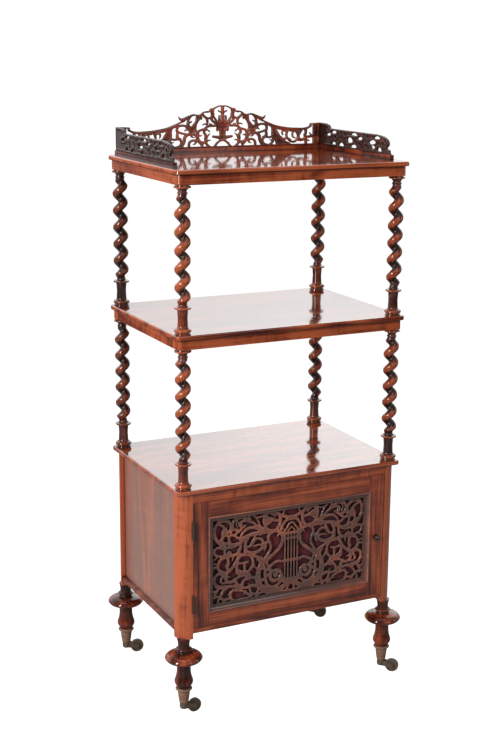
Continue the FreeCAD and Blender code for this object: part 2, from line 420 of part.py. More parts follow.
door_pattern_middle = [
    [(-5.1, 3.9), (-5.1, 10.3), (-1.3, 15.8), (0.4, 16.2), (1.7, 15.5), (4, 13.1), (5.8, 6.8), (5.7, 4.2),
     (1.5, 3.8), (-3.3, 3.8)],
    [(-14.4, 143.7), (-14.8, 144.8), (-13.8, 146.3), (-10.4, 150.5), (-6.5, 155.5), (-3.1, 160.7),
     (0.2, 161.2), (3.1, 160.7), (4.6, 158.8), (6.4, 155.7), (10.3, 150.7), (13.4, 146.7), (14.9, 143.9),
     (12.8, 143.6), (10.7, 143.7), (10.1, 146.5), (8.7, 148.1), (7, 149.8), (2.2, 154.3), (-0, 155.6),
     (-2.1, 154.5), (-4.5, 152.2), (-8.2, 148.7), (-9.8, 146.9), (-10.3, 145.6), (-10.5, 143.8),
     (-12.6, 143.6)],
    [(-6, 143.7), (-6.6, 144.7), (-5.6, 145.9), (-3.7, 147.8), (0.5, 150.7), (1.9, 149.5), (4.8, 146.8),
     (6.7, 144.2), (4.9, 143.6), (-0.6, 143.6), (-4.2, 143.6)],
    [(-17.8, 150.3), (-19.1, 151.6), (-20.6, 152.6), (-21.1, 153.9), (-20.5, 155.6), (-19.5, 158.1),
     (-16.9, 162.2), (-13.2, 166.4), (-5.8, 169.5), (-0.1, 168.8), (5.8, 169.5), (13.9, 165.8), (17, 162.1),
     (18.7, 159.7), (19.9, 156.9), (21.1, 153.2), (19.1, 151.5), (17.5, 150.2), (15.1, 152.7),
     (10.4, 158.9), (6.2, 165.1), (1.3, 166.5), (-5.7, 165.3), (-8.5, 162.7), (-10.2, 159.2),
     (-15.1, 152.7)],
    [(-6.7, 181.8), (-15.4, 184.4), (-18.6, 186), (-18.4, 188.3), (-16.6, 193.4), (-15.5, 195.1),
     (-12.5, 195.4), (-8, 195.4), (7.1, 195.4), (12.2, 195.4), (15.4, 195.1), (16.6, 193.4), (18.1, 189.5),
     (18.6, 186), (15.6, 184.5), (8, 181.9), (0.2, 181.9)],
]
lyre_string_pitch = 7.85
lyre_string_width = 4.0
lyre_slots = ((33.0, 71.0), (78.0, 124.4), (130.5, 136.3))   # lower and upper ends of the slots

# Back gallery: upper outline as smooth runs between sharp corners, then the openings.
gallery_pattern_half_width = 258.0
gallery_pattern_height = 107.0
gallery_crest = [
    [(0, 107), (12, 106), (22, 102), (32, 100)],
    [(32, 100), (34, 95)],
    [(34, 95), (44, 94), (52, 91), (57, 87)],
    [(57, 87), (64, 86.5), (73, 88), (84, 85.5), (96, 81), (105, 79), (112, 83)],
    [(112, 83), (110, 77), (105, 72)],
    [(105, 72), (120, 66), (140, 59), (160, 55), (180, 52.5), (200, 51.5), (216, 51.5), (228, 54)],
    [(228, 54), (231, 57), (231, 61)],
    [(231, 61), (244, 62), (258, 62.5)],
]
gallery_pattern_mirrored = [
    [(9.9, 69.4), (10.9, 74.7), (10.4, 80.9), (9.6, 83.8), (6.7, 84.5), (5.8, 81.2), (6.3, 76.7),
     (4.8, 72.3), (4, 75.1), (3.7, 84.4), (3.7, 87.4), (4.1, 89.4), (6.6, 90.3), (9, 91.5), (11.4, 94.1),
     (12, 95.8), (10.5, 96.4), (9.3, 95.6), (7.5, 94.5), (4.1, 94.5), (3.7, 98.6), (3.7, 101.6),
     (3.9, 103.1), (7, 103.5), (12.8, 102.2), (18, 99.8), (21, 97.9), (21.8, 95.3), (22.3, 91.2),
     (20.9, 86.2), (21.1, 82.4), (19.4, 80.3), (15.7, 75.6)],
    [(18.5, 70.2), (19.9, 73.4), (22, 76.4), (23.5, 78.2), (24.8, 77.6), (25.3, 76.2), (24.2, 74.5),
     (21.5, 72)],
    [(24, 13.8), (14.8, 23.1), (8.3, 27.5), (23, 32.4), (26.4, 34.5), (25.1, 38), (20.7, 38.2),
     (11.4, 37.7), (7.9, 38.1), (7.8, 42.2), (9, 48.7), (12, 50.5), (12.3, 47.1), (14.4, 47.5),
     (15.5, 49.7), (15.9, 54.4), (15.6, 57.3), (20.6, 57.5), (32.5, 57.2), (39.6, 54.5), (33.7, 49.8),
     (32.2, 46.6), (33.7, 45.9), (36.9, 48.6), (40.9, 49.4), (43.3, 49.2), (43.4, 44.4), (40.8, 41.5),
     (39.4, 39.3), (36.1, 41.3), (31.1, 43.1), (36.2, 37), (38.9, 31), (39.1, 29.3), (35.2, 29.1),
     (29.5, 26.2), (37.5, 24.6), (38.9, 21.4), (36.3, 18.5), (29.7, 13.8)],
    [(34.1, 80.2), (32.7, 80.7), (30.9, 82.8), (29.3, 84.9), (29.4, 86.4), (30.6, 89.8), (31.2, 92.4),
     (33.5, 91.7), (37, 90), (41.5, 90), (46.8, 89.7), (48.2, 89.1), (48.1, 87.8), (46.1, 85.6),
     (41.8, 82.2)],
    [(36.5, 62.5), (35, 62.8), (33.6, 63.1), (34.1, 64.3), (34.3, 65.7), (30.9, 66.4), (28.1, 65.3),
     (25.3, 63), (22.6, 63), (20.6, 64), (21.7, 65.1), (25.8, 68.2), (29.1, 71.6), (32, 75), (34.9, 75.4),
     (36.3, 75.1), (36.3, 73.4), (35.9, 70.7), (36.3, 67.7), (37.2, 64.9), (37.7, 63.1)],
    [(41.3, 13.8), (40.9, 14.9), (42.7, 16.9), (44.2, 18.9), (45.9, 19.3), (47.9, 18.8), (48.5, 16.8),
     (49.9, 14.8), (49.5, 13.8), (48, 13.7), (45.2, 13.7), (42.8, 13.7)],
    [(63.6, 49.6), (62.3, 50.9), (59.5, 52.5), (54.3, 54.1), (50, 55.3), (46.8, 56.1), (45.2, 57.5),
     (42.7, 59.6), (40.6, 61.3), (42.8, 62.4), (46.7, 62.9), (49.6, 62), (51.3, 61.6), (51.8, 62.9),
     (50.9, 64), (46.2, 66.5), (42.1, 67.3), (41.5, 68.7), (44.5, 77.1), (49.3, 80.7), (51.2, 82.6),
     (52.7, 83.5), (53.2, 82.2), (52.5, 80.9), (51.9, 79.2), (52.7, 76), (53.6, 74.4), (55.7, 74.1),
     (55.3, 76.7), (55.5, 78.1), (57.6, 75.8), (59.3, 73), (60.5, 71.3), (62.8, 69.5), (63.2, 67.7),
     (65, 64.6), (66.4, 59.4), (66.7, 54.3)],
    [(66.6, 42.1), (67.4, 43.8), (69.4, 45.1), (71.3, 45.5), (70.8, 43.8), (68.6, 42.8)],
    [(47.3, 25.2), (46.6, 30.5), (46.2, 35.6), (45.9, 37.7), (48.1, 41.2), (49.6, 44.5), (49.8, 46.6),
     (49.8, 49.2), (53.2, 48.7), (58, 46.9), (59.9, 43.6), (60.1, 42.1), (58.6, 40.7), (56.8, 39.6),
     (52.9, 40.2), (52.6, 38.9), (53.6, 37.7), (56.4, 36.1), (59.4, 36), (59.7, 34.6), (58.3, 30.1),
     (54.9, 26.7), (50, 25.4)],
    [(55.5, 13.8), (55, 14.8), (56.2, 16.1), (59.1, 19.1), (61, 21), (64.1, 23.3), (65.6, 23.3),
     (66.7, 21.2), (69.2, 18.6), (73.2, 17.5), (75.5, 17.8), (75.2, 19.4), (73.9, 20), (71.4, 21.6),
     (71.2, 24.6), (72.6, 25), (75.6, 24.8), (81.7, 21.9), (82.6, 17.9), (82.6, 15.2), (81.9, 13.9),
     (80.1, 13.7), (77.1, 13.7), (69.3, 13.7), (62.4, 13.7), (58.2, 13.7)],
    [(78.8, 60.7), (77.3, 62.2), (75.8, 64), (70.2, 70.2), (68.8, 72.9), (68.6, 75.3), (68.3, 78.3),
     (67.8, 81.2), (67.7, 82.7), (68.6, 83.8), (71.9, 83.7), (77.5, 82.5), (79.3, 81), (83.7, 74.9),
     (84.2, 73.5), (84.5, 72.1), (83, 70.9), (78.6, 72.8), (77.3, 72.3), (78.2, 70.3), (81.4, 67.5),
     (84.6, 65.6), (84, 63.9), (82.6, 61.3), (80.6, 60.8)],
    [(89.1, 13.8), (88.3, 16.6), (88, 21.7), (81.1, 29.1), (72.9, 30.7), (69.3, 30.3), (67.6, 30.3),
     (67.8, 32.8), (68.6, 35.1), (74, 38.7), (76, 39.4), (76.9, 38.6), (76.1, 37.3), (73.1, 36),
     (71.7, 35.6), (71.9, 33.6), (74, 33.4), (78.4, 34.1), (80.9, 36.3), (82.8, 38.2), (85.1, 38.3),
     (87.5, 38.3), (88.7, 37.3), (93.2, 32.2), (93.6, 27.1), (95.8, 20.9), (98.1, 17), (99.9, 14.1),
     (98.2, 13.7), (94.6, 13.7), (90.6, 13.7)],
    [(92.6, 63.6), (91.7, 65.4), (90.8, 68.3), (90.3, 72.4), (89.8, 76.1), (94.3, 72.8), (102.5, 68.4),
     (109.5, 65.8), (110.7, 64.9), (109.5, 64.5), (106.2, 64.9), (101.4, 65.2), (96.4, 64.4), (94.3, 63.8)],
    [(87.3, 44.4), (85.7, 46.8), (85.2, 49.1), (87.3, 49.5), (88.8, 50.5), (89.7, 51.6), (92, 50.4),
     (95.1, 49.2), (96.6, 49.1), (97.1, 50.9), (95.8, 51.7), (94.3, 52.6), (93, 55.3), (93.1, 57.1),
     (95.8, 58.3), (99.6, 59.4), (104.4, 59.4), (108.5, 58.8), (110.8, 58.1), (112.3, 54.9), (112.7, 51.7),
     (108.9, 49.4), (100.3, 46.6), (95.3, 45.7), (90.6, 44.9), (88.8, 44.8)],
    [(101.7, 27), (100.8, 30), (99.9, 35.3), (98.1, 38.4), (97, 40.2), (100, 41.2), (108.1, 43.4),
     (110.9, 43.9), (111.5, 42.2), (111.5, 38.5), (109.7, 36.1), (107.9, 34.4), (104.7, 34.2),
     (104.5, 32.8), (105.1, 31.5), (103.4, 29.4)],
    [(121.8, 33.4), (118.1, 34.2), (118.1, 37.2), (117.7, 41), (116.9, 45.4), (118.5, 51.2), (118.2, 54.7),
     (118, 57.1), (120.3, 57.3), (122.3, 56.9), (125.6, 54.9), (127.6, 53.1), (128.4, 49.2), (128.5, 43.9),
     (128.1, 38.8), (128.2, 34.9), (126.3, 34.2)],
    [(120.8, 14.6), (119.2, 15.5), (115.7, 16.3), (109.8, 18.9), (107.3, 23.2), (108.5, 26.6),
     (110.9, 28.4), (112.2, 29), (113.7, 28.9), (116.7, 28.5), (122.3, 27.8), (126.8, 28.5), (129.7, 28.8),
     (130.6, 27.4), (128.5, 25.7), (126.2, 25.6), (124.2, 26), (123.6, 24.7), (124.6, 23.6), (126.9, 22.3),
     (128.4, 22), (128.7, 20.8), (127.7, 19.7), (124.6, 17.3), (122.7, 15.8)],
    [(131.3, 13.8), (130.9, 14.9), (132, 15.9), (133.9, 18.3), (136.4, 23.4), (137.4, 24.7), (138.7, 21.1),
     (140.5, 15.7), (140.6, 14), (139.1, 13.7), (136.7, 13.7), (132.8, 13.7)],
    [(159, 27.8), (157.9, 29.5), (156.4, 31.4), (154.2, 33), (151.7, 34.1), (150.3, 36.1), (148.5, 39.2),
     (143, 48.1), (142.4, 49.8), (145.3, 48.8), (152.2, 46.7), (156.5, 46.1), (155.3, 42.5), (157.4, 35.1),
     (159.2, 33.7), (160.1, 35), (159.5, 36.5), (158.9, 38.1), (158.7, 40.2), (161.6, 43.4), (164.6, 42.2),
     (166.7, 41), (166.1, 37.8), (166, 35.7), (166.3, 32.4), (166.5, 30.1), (165.1, 29.5), (162.5, 28.8),
     (160.5, 28.2)],
    [(184.4, 21), (181.9, 21.9), (181.8, 24), (180.3, 25.8), (175.4, 28), (172.4, 30.6), (171.4, 33.7),
     (171.5, 37.8), (173.3, 42), (174.7, 44.6), (178.2, 42.5), (182.1, 42.3), (184, 42.2), (183.3, 39.6),
     (183, 34.2), (184.7, 29.1), (188.1, 26.8), (190.4, 26.1), (192.2, 25.8), (193.7, 27.3), (192.4, 29.1),
     (188.2, 30.8), (186.9, 36.5), (188.4, 40.7), (190.1, 42.2), (192.6, 40.6), (197.4, 32.2),
     (194.5, 24.5)],
    [(201, 38.9), (201.9, 41.7), (202.7, 44.3), (204.7, 45.4), (205.1, 44.2), (204.3, 42.9), (202.8, 40.7)],
    [(181.7, 13.8), (178.5, 15.9), (175.8, 17.2), (170.6, 19.6), (167.1, 21.4), (165.3, 22.5),
     (165.5, 23.6), (167.2, 24.2), (170.8, 24.2), (173.2, 22), (175.8, 19.1), (182.6, 16), (190.9, 16.3),
     (195.4, 18.5), (197.9, 20.3), (201.1, 19.5), (208.8, 18.7), (215.2, 20.1), (217.6, 20.4),
     (218.2, 17.4), (217.4, 13.8), (215.6, 13.7), (212.6, 13.7), (201.5, 13.7), (189.5, 13.7),
     (184.7, 13.7)],
    [(208.7, 26.5), (205.2, 28.1), (204.4, 33.2), (206, 35.8), (209.2, 40.9), (210.9, 43.3), (212.1, 45),
     (215.9, 45.7), (217.3, 45.3), (217.7, 43.6), (217.8, 40.6), (216.9, 38.1), (215.2, 33.3),
     (216.3, 29.6)],
    [(224.9, 32.7), (222.4, 34.1), (223.3, 36.3), (224.3, 39.7), (224.1, 45.4), (224.4, 47.1),
     (225.8, 47.7), (228.5, 48.9), (233, 51.4), (235.9, 52.9), (236.9, 55.3), (235.9, 57.7), (238.8, 58.3),
     (240, 52.7), (240, 47.2), (240, 38.2), (239.1, 34.5), (237.4, 35.1), (234.8, 37.1), (233.6, 38.5),
     (232.6, 39.6), (230.8, 39.5), (232.8, 33.7), (230.6, 32.9)],
    [(225.6, 13.8), (225.3, 18.4), (227.7, 20), (230.4, 18.2), (231.4, 19.4), (230.7, 21), (229, 23.1),
     (227, 23.7), (224.2, 24), (224.8, 26), (227.5, 26), (233.4, 26.7), (237, 27.3), (239.6, 27.2),
     (240, 25.5), (240, 22.2), (240, 16.5), (239.8, 14.4), (236.8, 13.7), (230.5, 13.7), (227.4, 13.7)],
]
gallery_pattern_middle = [
    [(-15.1, 13.8), (-15.7, 14.9), (-14.7, 16), (-13.4, 17.3), (-7.9, 21.9), (-0.2, 24.5), (3.3, 23.9),
     (13.3, 17.4), (15.8, 14.2), (13.5, 13.7), (8.4, 13.7), (-3.4, 13.7), (-11.8, 13.7), (-13.6, 13.7)],
]

# Side gallery: outline forward from the back corner, then the openings; y as in the frame.
gallery_side_outline = [
    [(329.5, 10.5), (329.5, 62.5)],
    [(329.5, 62.5), (296, 62)],
    [(296, 62), (288, 60), (281, 57), (277, 53), (272, 51.5)],
    [(272, 51.5), (66, 51.5)],
    [(66, 51.5), (38, 49), (22, 44), (14, 36), (15, 29), (22, 25)],
    [(22, 25), (17, 21), (10, 20), (8, 14), (3, 10.5)],
    [(3, 10.5), (329.5, 10.5)],
]
gallery_side_pattern = [
    [(49, 44), (57, 47), (70, 46), (78, 43), (65, 41)],
    [(67, 33), (75, 37), (89, 36), (99, 31), (91, 28), (77, 29)],
    [(70, 22), (79, 25), (90, 24), (84, 19), (74, 18)],
    [(41, 16), (46, 22), (55, 23), (62, 17), (54, 15)],
    [(126, 38), (133, 41), (143, 39), (150, 36), (139, 34)],
    [(149, 44), (156, 47), (169, 47), (180, 44), (166, 42)],
    [(151, 17), (159, 21), (171, 20), (180, 16), (165, 14)],
    [(169, 28), (175, 35), (185, 36), (196, 32), (195, 26), (181, 25)],
    [(209, 16), (217, 21), (229, 20), (236, 16), (223, 14)],
    [(245, 44), (251, 47), (263, 46), (271, 43), (257, 41)],
    [(247, 17), (253, 21), (261, 21), (269, 17), (257, 15)],
    [(272, 38), (278, 41), (287, 39), (295, 36), (284, 34)],
]
gallery_side_dots = [
    (103, 43), (119, 45), (109, 22), (137, 24), (205, 42), (222, 33), (222, 44), (247, 32), (265, 31),
    (26, 39), (36, 32),
]
gallery_dot_radius = 3.4
gallery_side_pattern_length = 329.5
gallery_side_pattern_height = 62.5


# ---------------------------------------------------------------- shape helpers
def block(x0, x1, y0, y1, z0, z1):
    """Box between two corners."""
    return Part.makeBox(x1 - x0, y1 - y0, z1 - z0, Vec(x0, y0, z0))


def rod(radius, start, end):
    """Cylinder from one point to another."""
    axis = end - start
    return Part.makeCylinder(radius, axis.Length, start, axis)


def lathe(profile):
    """Solid turned about Z. A profile entry is (radius, z), or (mid radius, mid z, radius, z) for an arc."""
    edges = []
    last = Vec(profile[0][0], 0, profile[0][1])
    for entry in profile[1:] + [profile[0]]:
        end = Vec(entry[-2], 0, entry[-1])
        if len(entry) == 4:
            edges.append(Part.Arc(last, Vec(entry[0], 0, entry[1]), end).toShape())
        elif end.distanceToPoint(last) > 1e-6:
            edges.append(Part.makeLine(last, end))
        last = end
    return Part.Face(Part.Wire(edges)).revolve(Vec(0, 0, 0), UP, 360)


def dome(radius, low, high):
    """Profile entry for a cap closing on the axis: part of a sphere from (radius, low) up to (0, high)."""
    rise = high - low
    sphere = (radius * radius + rise * rise) / (2 * rise)
    half = math.acos((sphere - rise) / sphere) / 2
    return sphere * math.sin(half), high - sphere + sphere * math.cos(half), 0, high


def extrude(face, vector):
    """Solid swept from a flat face."""
    return face.extrude(vector)


def polygon_face(points):
    """Flat face through points."""
    return Part.Face(Part.makePolygon(points + [points[0]]))


def edges_at_height(shape, z):
    """Edges of a shape that lie wholly at one height."""
    return [e for e in shape.Edges if abs(e.BoundBox.ZMin - z) < 1e-4 and abs(e.BoundBox.ZMax - z) < 1e-4]


def upright_edges(shape):
    """Straight vertical edges of a shape."""
    boxes = [(edge, edge.BoundBox) for edge in shape.Edges]
    return [edge for edge, box in boxes if box.ZLength > 1e-3 and box.DiagonalLength - box.ZLength < 1e-3]


def smooth_loop(points):
    """Closed smooth curve through points, as a wire.

    Its speed at each point is the periodic cubic spline's, with the distances between the points as
    the parameter. The equations are solved by sweeping round the loop, which settles quickly.
    """
    count = len(points)
    gaps = [points[i].distanceToPoint(points[(i + 1) % count]) for i in range(count)]
    slopes = [(points[(i + 1) % count] - points[i]) * (1 / gaps[i]) for i in range(count)]
    speeds = [(slopes[i - 1] + slopes[i]) * 0.5 for i in range(count)]
    for sweep in range(48):
        for i in range(count):
            before, after = gaps[i - 1], gaps[i]
            pull = (slopes[i - 1] * after + slopes[i] * before) * 3
            pull = pull - speeds[i - 1] * after - speeds[(i + 1) % count] * before
            speeds[i] = pull * (0.5 / (before + after))
    poles = [points[0]]
    for i in range(count):
        after = (i + 1) % count
        poles += [points[i] + speeds[i] * (gaps[i] / 3), points[after] - speeds[after] * (gaps[i] / 3)]
    poles.append(points[0])
    knots = [sum(gaps[:i]) for i in range(count + 1)]
    curve = Part.BSplineCurve()
    curve.buildFromPolesMultsKnots(poles, [4] + [2] * (count - 1) + [4], knots, False, 3)
    return Part.Wire([curve.toShape()])


def smooth_run(points):
    """Open smooth curve, or a straight line, through points."""
    if len(points) == 2:
        return Part.makeLine(points[0], points[1])
    curve = Part.BSplineCurve()
    curve.interpolate(Points=points)
    return curve.toShape()


def pierced_plate(outline, loops, vector):
    """Plate with openings, swept from the wires of its front face."""
    return extrude(Part.makeFace([outline] + loops, "Part::FaceMakerBullseye"), vector)


def mirrored(points):
    """The same loop on the other side of the middle."""
    return [(-x, h) for x, h in points]


def at(shape, x, y, z=0.0, turn=0.0):
    """Copy of a shape, turned about Z and then moved."""
    copy = shape.copy()
    copy.Placement = FreeCAD.Placement(Vec(x, y, z), FreeCAD.Rotation(UP, turn)).multiply(shape.Placement)
    return copy


# ---------------------------------------------------------------- castors and feet
def castor_cup():
    """Tapered brass cup with a beaded rim; the swivel pin turns in its floor."""
    rim_z = cup_height - cup_rim_height
    shell = lathe([
        (0, 0),
        (cup_bottom_radius, 0),
        (cup_top_radius, rim_z),
        (cup_rim_radius, rim_z + cup_rim_height / 2, foot_waist_radius, cup_height),
        (0, cup_height),
    ])
    socket = lathe([
        (0, cup_floor_thickness),
        (cup_bottom_radius - cup_wall, cup_floor_thickness),
        (cup_top_radius - cup_wall, cup_height),
        (0, cup_height),
    ])
    hole_start = Vec(0, 0, -cup_floor_thickness)
    pin_hole = Part.makeCylinder(swivel_pin_radius + running_gap, cup_floor_thickness * 3, hole_start)
    return shell.cut(socket).cut(pin_hole)


def castor_foot():
    """Turned foot: spigot in the cup, waist, vase, bun, ring and neck up to the post."""
    spigot_bottom = cup_floor_thickness + bearing_gap
    low_radius = cup_bottom_radius - cup_wall - cup_fit_gap
    high_radius = cup_top_radius - cup_wall - cup_fit_gap
    base = cup_height
    top = base + foot_height
    ring = top - 25.5
    bun = top - 45.7
    bulb = base + 16.3
    waist = base + 5.2
    bun_rise = bun_thickness / 2

    def bun_point(degrees):
        """Point on the bun's oval outline, from its widest at 0 to its top at 90."""
        return bun_radius * math.cos(math.radians(degrees)), bun + bun_rise * math.sin(math.radians(degrees))

    body = lathe([
        (0, spigot_bottom),
        (low_radius, spigot_bottom),
        (high_radius, base),
        (foot_waist_radius, base),
        (foot_waist_radius, waist),
        (vase_bulb_radius, bulb - 3.4, vase_bulb_radius - 0.4, bulb + 3.2),
        (vase_neck_radius + 1.1, bulb + 15.5, vase_neck_radius, bulb + 30.0),
        (vase_neck_radius, bun_point(-66)[1]),
        bun_point(-66),
        bun_point(-55) + bun_point(-44),
        bun_point(-22) + bun_point(0),
        bun_point(22) + bun_point(44),
        bun_point(55) + bun_point(66),
        (foot_neck_radius + 2.4, bun_point(66)[1]),
        (foot_neck_radius + 1.4, ring - 4.2, foot_ring_radius - 2.5, ring - 1.8),
        (foot_ring_radius, ring - 1.0, foot_ring_radius - 0.8, ring + 0.8),
        (foot_neck_radius, ring + 3.0),
        (foot_neck_radius, ring + 6.0),
        (foot_neck_radius + 0.6, top - 9.0, case_overhang - 0.4, top),
        (0, top),
    ])
    pocket = Part.makeCylinder(spigot_pocket_radius, spigot_pocket_depth, Vec(0, 0, spigot_bottom))
    return body.cut(pocket)


def castor_horn():
    """Swivelling horn: boss with its pin and two fork arms, trailing along +X; z from the floor."""
    boss_top = boss_bottom_height + boss_height
    boss = lathe([
        (0, boss_bottom_height),
        (boss_radius - boss_round, boss_bottom_height),
        (boss_radius - boss_round * 0.29, boss_bottom_height + boss_round * 0.29,
         boss_radius, boss_bottom_height + boss_round),
        (boss_radius, boss_top),
        (0, boss_top),
    ])
    head_z = cup_bottom_z + cup_floor_thickness + bearing_gap / 2
    pin = Part.makeCylinder(swivel_pin_radius, head_z - boss_top, Vec(0, 0, boss_top))
    head = Part.makeCylinder(swivel_head_radius, swivel_head_height, Vec(0, 0, head_z))
    horn = boss.fuse([pin, head])
    inner = wheel_width / 2 + fork_side_gap
    root_z = boss_bottom_height + boss_height * 0.5
    root_half = boss_height * 0.4
    for side in (-1, 1):
        near = side * inner
        across = Vec(0, side * fork_arm_thickness, 0)
        web = extrude(polygon_face([
            Vec(0, near, root_z - root_half),
            Vec(wheel_trail, near, wheel_radius - fork_arm_tip_radius),
            Vec(wheel_trail, near, wheel_radius + fork_arm_tip_radius),
            Vec(0, near, root_z + root_half),
        ]), across)
        eye_start = Vec(wheel_trail, near, wheel_radius)
        eye = rod(fork_arm_tip_radius, eye_start, eye_start + across)
        horn = horn.fuse([web, eye])
    axle_start = Vec(wheel_trail, -inner - fork_arm_thickness, wheel_radius)
    axle_end = Vec(wheel_trail, inner + fork_arm_thickness, wheel_radius)
    return horn.cut(rod(axle_radius, axle_start, axle_end)).removeSplitter()


def castor_axle():
    """Riveted axle across the fork."""
    reach = wheel_width / 2 + fork_side_gap + fork_arm_thickness
    centre = Vec(wheel_trail, 0, wheel_radius)
    axle = rod(axle_radius, centre - Vec(0, reach, 0), centre + Vec(0, reach, 0))
    for side in (-1, 1):
        inner = centre + Vec(0, side * reach, 0)
        axle = axle.fuse(rod(axle_head_radius, inner, inner + Vec(0, side * axle_head_height, 0)))
    return axle.removeSplitter()


def castor_wheel():
    """Dished wheel with a hub, on the axle."""
    half = wheel_width / 2
    dish_outer = wheel_radius - wheel_rim_width
    hub_reach = half + fork_side_gap - bearing_gap / 2
    hole = axle_radius + running_gap
    wheel = lathe([
        (hole, -hub_reach),
        (wheel_hub_radius, -hub_reach),
        (wheel_hub_radius, -half + wheel_dish_depth),
        (dish_outer, -half + wheel_dish_depth),
        (dish_outer, -half),
        (wheel_radius - 0.8, -half),
        (wheel_radius, -half + 0.8),
        (wheel_radius, half - 0.8),
        (wheel_radius - 0.8, half),
        (dish_outer, half),
        (dish_outer, half - wheel_dish_depth),
        (wheel_hub_radius, half - wheel_dish_depth),
        (wheel_hub_radius, hub_reach),
        (hole, hub_reach),
    ])
    wheel.Placement = FreeCAD.Placement(Vec(wheel_trail, 0, wheel_radius), FreeCAD.Rotation(Vec(1, 0, 0), 90))
    return wheel


# ---------------------------------------------------------------- columns
def twist(length):
    """Rope twist: a section fuller on one side of the axis, turned as it rises and shrunk to a neck
    at each end."""
    count = twist_turns * twist_sections_per_turn
    shares = [index / count for index in range(count + 1)]
    neck = column_neck_radius - 0.05
    section = Part.BSplineCurve()
    poles = []
    for share in shares:
        ramp = min(1.0, min(share, 1.0 - share) / twist_run_out)
        ramp = ramp * ramp * (3.0 - 2.0 * ramp)
        turned = 2.0 * math.pi * twist_turns * share
        points = []
        for step in range(twist_points_round):
            angle = 2.0 * math.pi * step / twist_points_round
            depth = ((1.0 - math.cos(angle)) / 2.0) ** twist_fullness
            radius = twist_ridge_radius + (twist_groove_radius - twist_ridge_radius) * depth
            radius = neck + (radius - neck) * ramp
            points.append(Vec(radius * math.cos(angle + turned), radius * math.sin(angle + turned),
                              length * share))
        places = [step / twist_points_round for step in range(twist_points_round + 1)]
        section.interpolate(Points=points, PeriodicFlag=True, Parameters=places)
        section.setNotPeriodic()
        poles.append(section.getPoles())
    rows = []
    curve = Part.BSplineCurve()
    for track in zip(*poles):
        curve.interpolate(Points=list(track), Parameters=shares)
        rows.append(curve.getPoles())
    surface = Part.BSplineSurface()
    surface.buildFromPolesMultsKnots(rows, section.getMultiplicities(), curve.getMultiplicities(),
                                     section.getKnots(), curve.getKnots(), False, False,
                                     section.Degree, curve.Degree)
    side = surface.toShape()
    ends = [Part.Face(Part.Wire([edge])) for edge in side.Edges if edge.BoundBox.ZLength < 1e-4]
    shell = Part.makeCompound([side] + ends)
    shell.sewShape()
    solid = Part.makeSolid(shell.Shells[0])
    if solid.Volume < 0:
        solid.reverse()
    return solid


def column(length):
    """Turned column: foot, bead, vase and collar, then the twist, then the capital."""
    bead = column_bead_height
    collar = column_collar_height
    base = lathe([
        (0, 0),
        (column_foot_radius, 0),
        (column_foot_radius, column_foot_height),
        (column_foot_radius - 2.2, column_foot_height + 0.8, column_foot_radius - 3.0, bead - 2.8),
        (column_bead_radius, bead, column_foot_radius - 2.6, bead + 2.8),
        (column_vase_radius + 2.0, bead + 4.6, column_vase_radius + 0.8, bead + 9.5),
        (column_vase_radius, (bead + collar) / 2, column_vase_radius + 1.2, collar - 4.5),
        (column_vase_radius + 2.0, collar - 4.0),
        (column_vase_radius + 2.0, collar - 2.4),
        (column_collar_radius - 0.6, collar - 1.6),
        (column_collar_radius, collar, column_collar_radius - 0.8, collar + 1.2),
        (column_neck_radius + 2.2, collar + 2.2, column_neck_radius, column_base_height),
        (0, column_base_height),
    ])
    capital_z = length - column_capital_height
    ring = length - 4.6
    capital = lathe([
        (0, capital_z),
        (column_neck_radius, capital_z),
        (column_neck_radius, capital_z + 1.0),
        (column_neck_radius + 1.6, capital_z + 2.4, column_neck_radius, capital_z + 3.8),
        (column_neck_radius - 0.6, capital_z + 6.0),
        (column_neck_radius + 0.6, capital_z + 9.0, column_neck_radius + 3.0, ring - 3.0),
        (column_neck_radius + 3.4, ring - 1.4),
        (column_capital_ring_radius - 0.6, ring - 1.2),
        (column_capital_ring_radius, ring, column_capital_ring_radius - 0.6, ring + 1.2),
        (column_neck_radius + 5.2, ring + 1.6),
        (column_neck_radius + 5.2, length),
        (0, length),
    ])
    strand = twist(capital_z - column_base_height)
    strand.translate(Vec(0, 0, column_base_height))
    return base.fuse([strand, capital])


# ---------------------------------------------------------------- shelves, friezes and cupboard
def shelf_board(z):
    """Shelf with rounded corners and eased edges, its underside at z."""
    board = block(-edge_x, edge_x, -edge_y, edge_y, z, z + board_thickness)
    board = board.makeFillet(board_corner_radius, upright_edges(board))
    board = board.makeFillet(board_edge_round, edges_at_height(board, z + board_thickness))
    return board.makeFillet(board_edge_round / 2, edges_at_height(board, z))


def frieze(z):
    """Front, back and side rails of a frieze; the front and back rails carry the rounded corners."""
    frame = block(-face_x, face_x, -face_y, face_y, z, z + frieze_height)
    frame = frame.makeFillet(frieze_corner_radius, upright_edges(frame))
    inner_x = face_x - frieze_thickness
    inner_y = face_y - frieze_thickness
    front = frame.common(block(-edge_x, edge_x, -edge_y, -inner_y, z, z + frieze_height))
    back = frame.common(block(-edge_x, edge_x, inner_y, edge_y, z, z + frieze_height))
    sides = [block(side * (inner_x + frieze_thickness / 2) - frieze_thickness / 2,
                   side * (inner_x + frieze_thickness / 2) + frieze_thickness / 2,
                   -inner_y, inner_y, z, z + frieze_height) for side in (-1, 1)]
    return front, back, Part.makeCompound(sides)


def corner_post(side_x, side_y):
    """Square post with its outer corner rounded to a quarter column."""
    x0, x1 = sorted((side_x * post_inner_x, side_x * face_x))
    y0, y1 = sorted((side_y * post_inner_y, side_y * face_y))
    post = block(x0, x1, y0, y1, post_bottom_z, cupboard_top_z)
    corner = Vec(side_x * face_x, side_y * face_y, (post_bottom_z + cupboard_top_z) / 2)
    outer = [edge for edge in upright_edges(post) if edge.CenterOfMass.distanceToPoint(corner) < 1e-3]
    return post.makeFillet(post_corner_radius, outer)


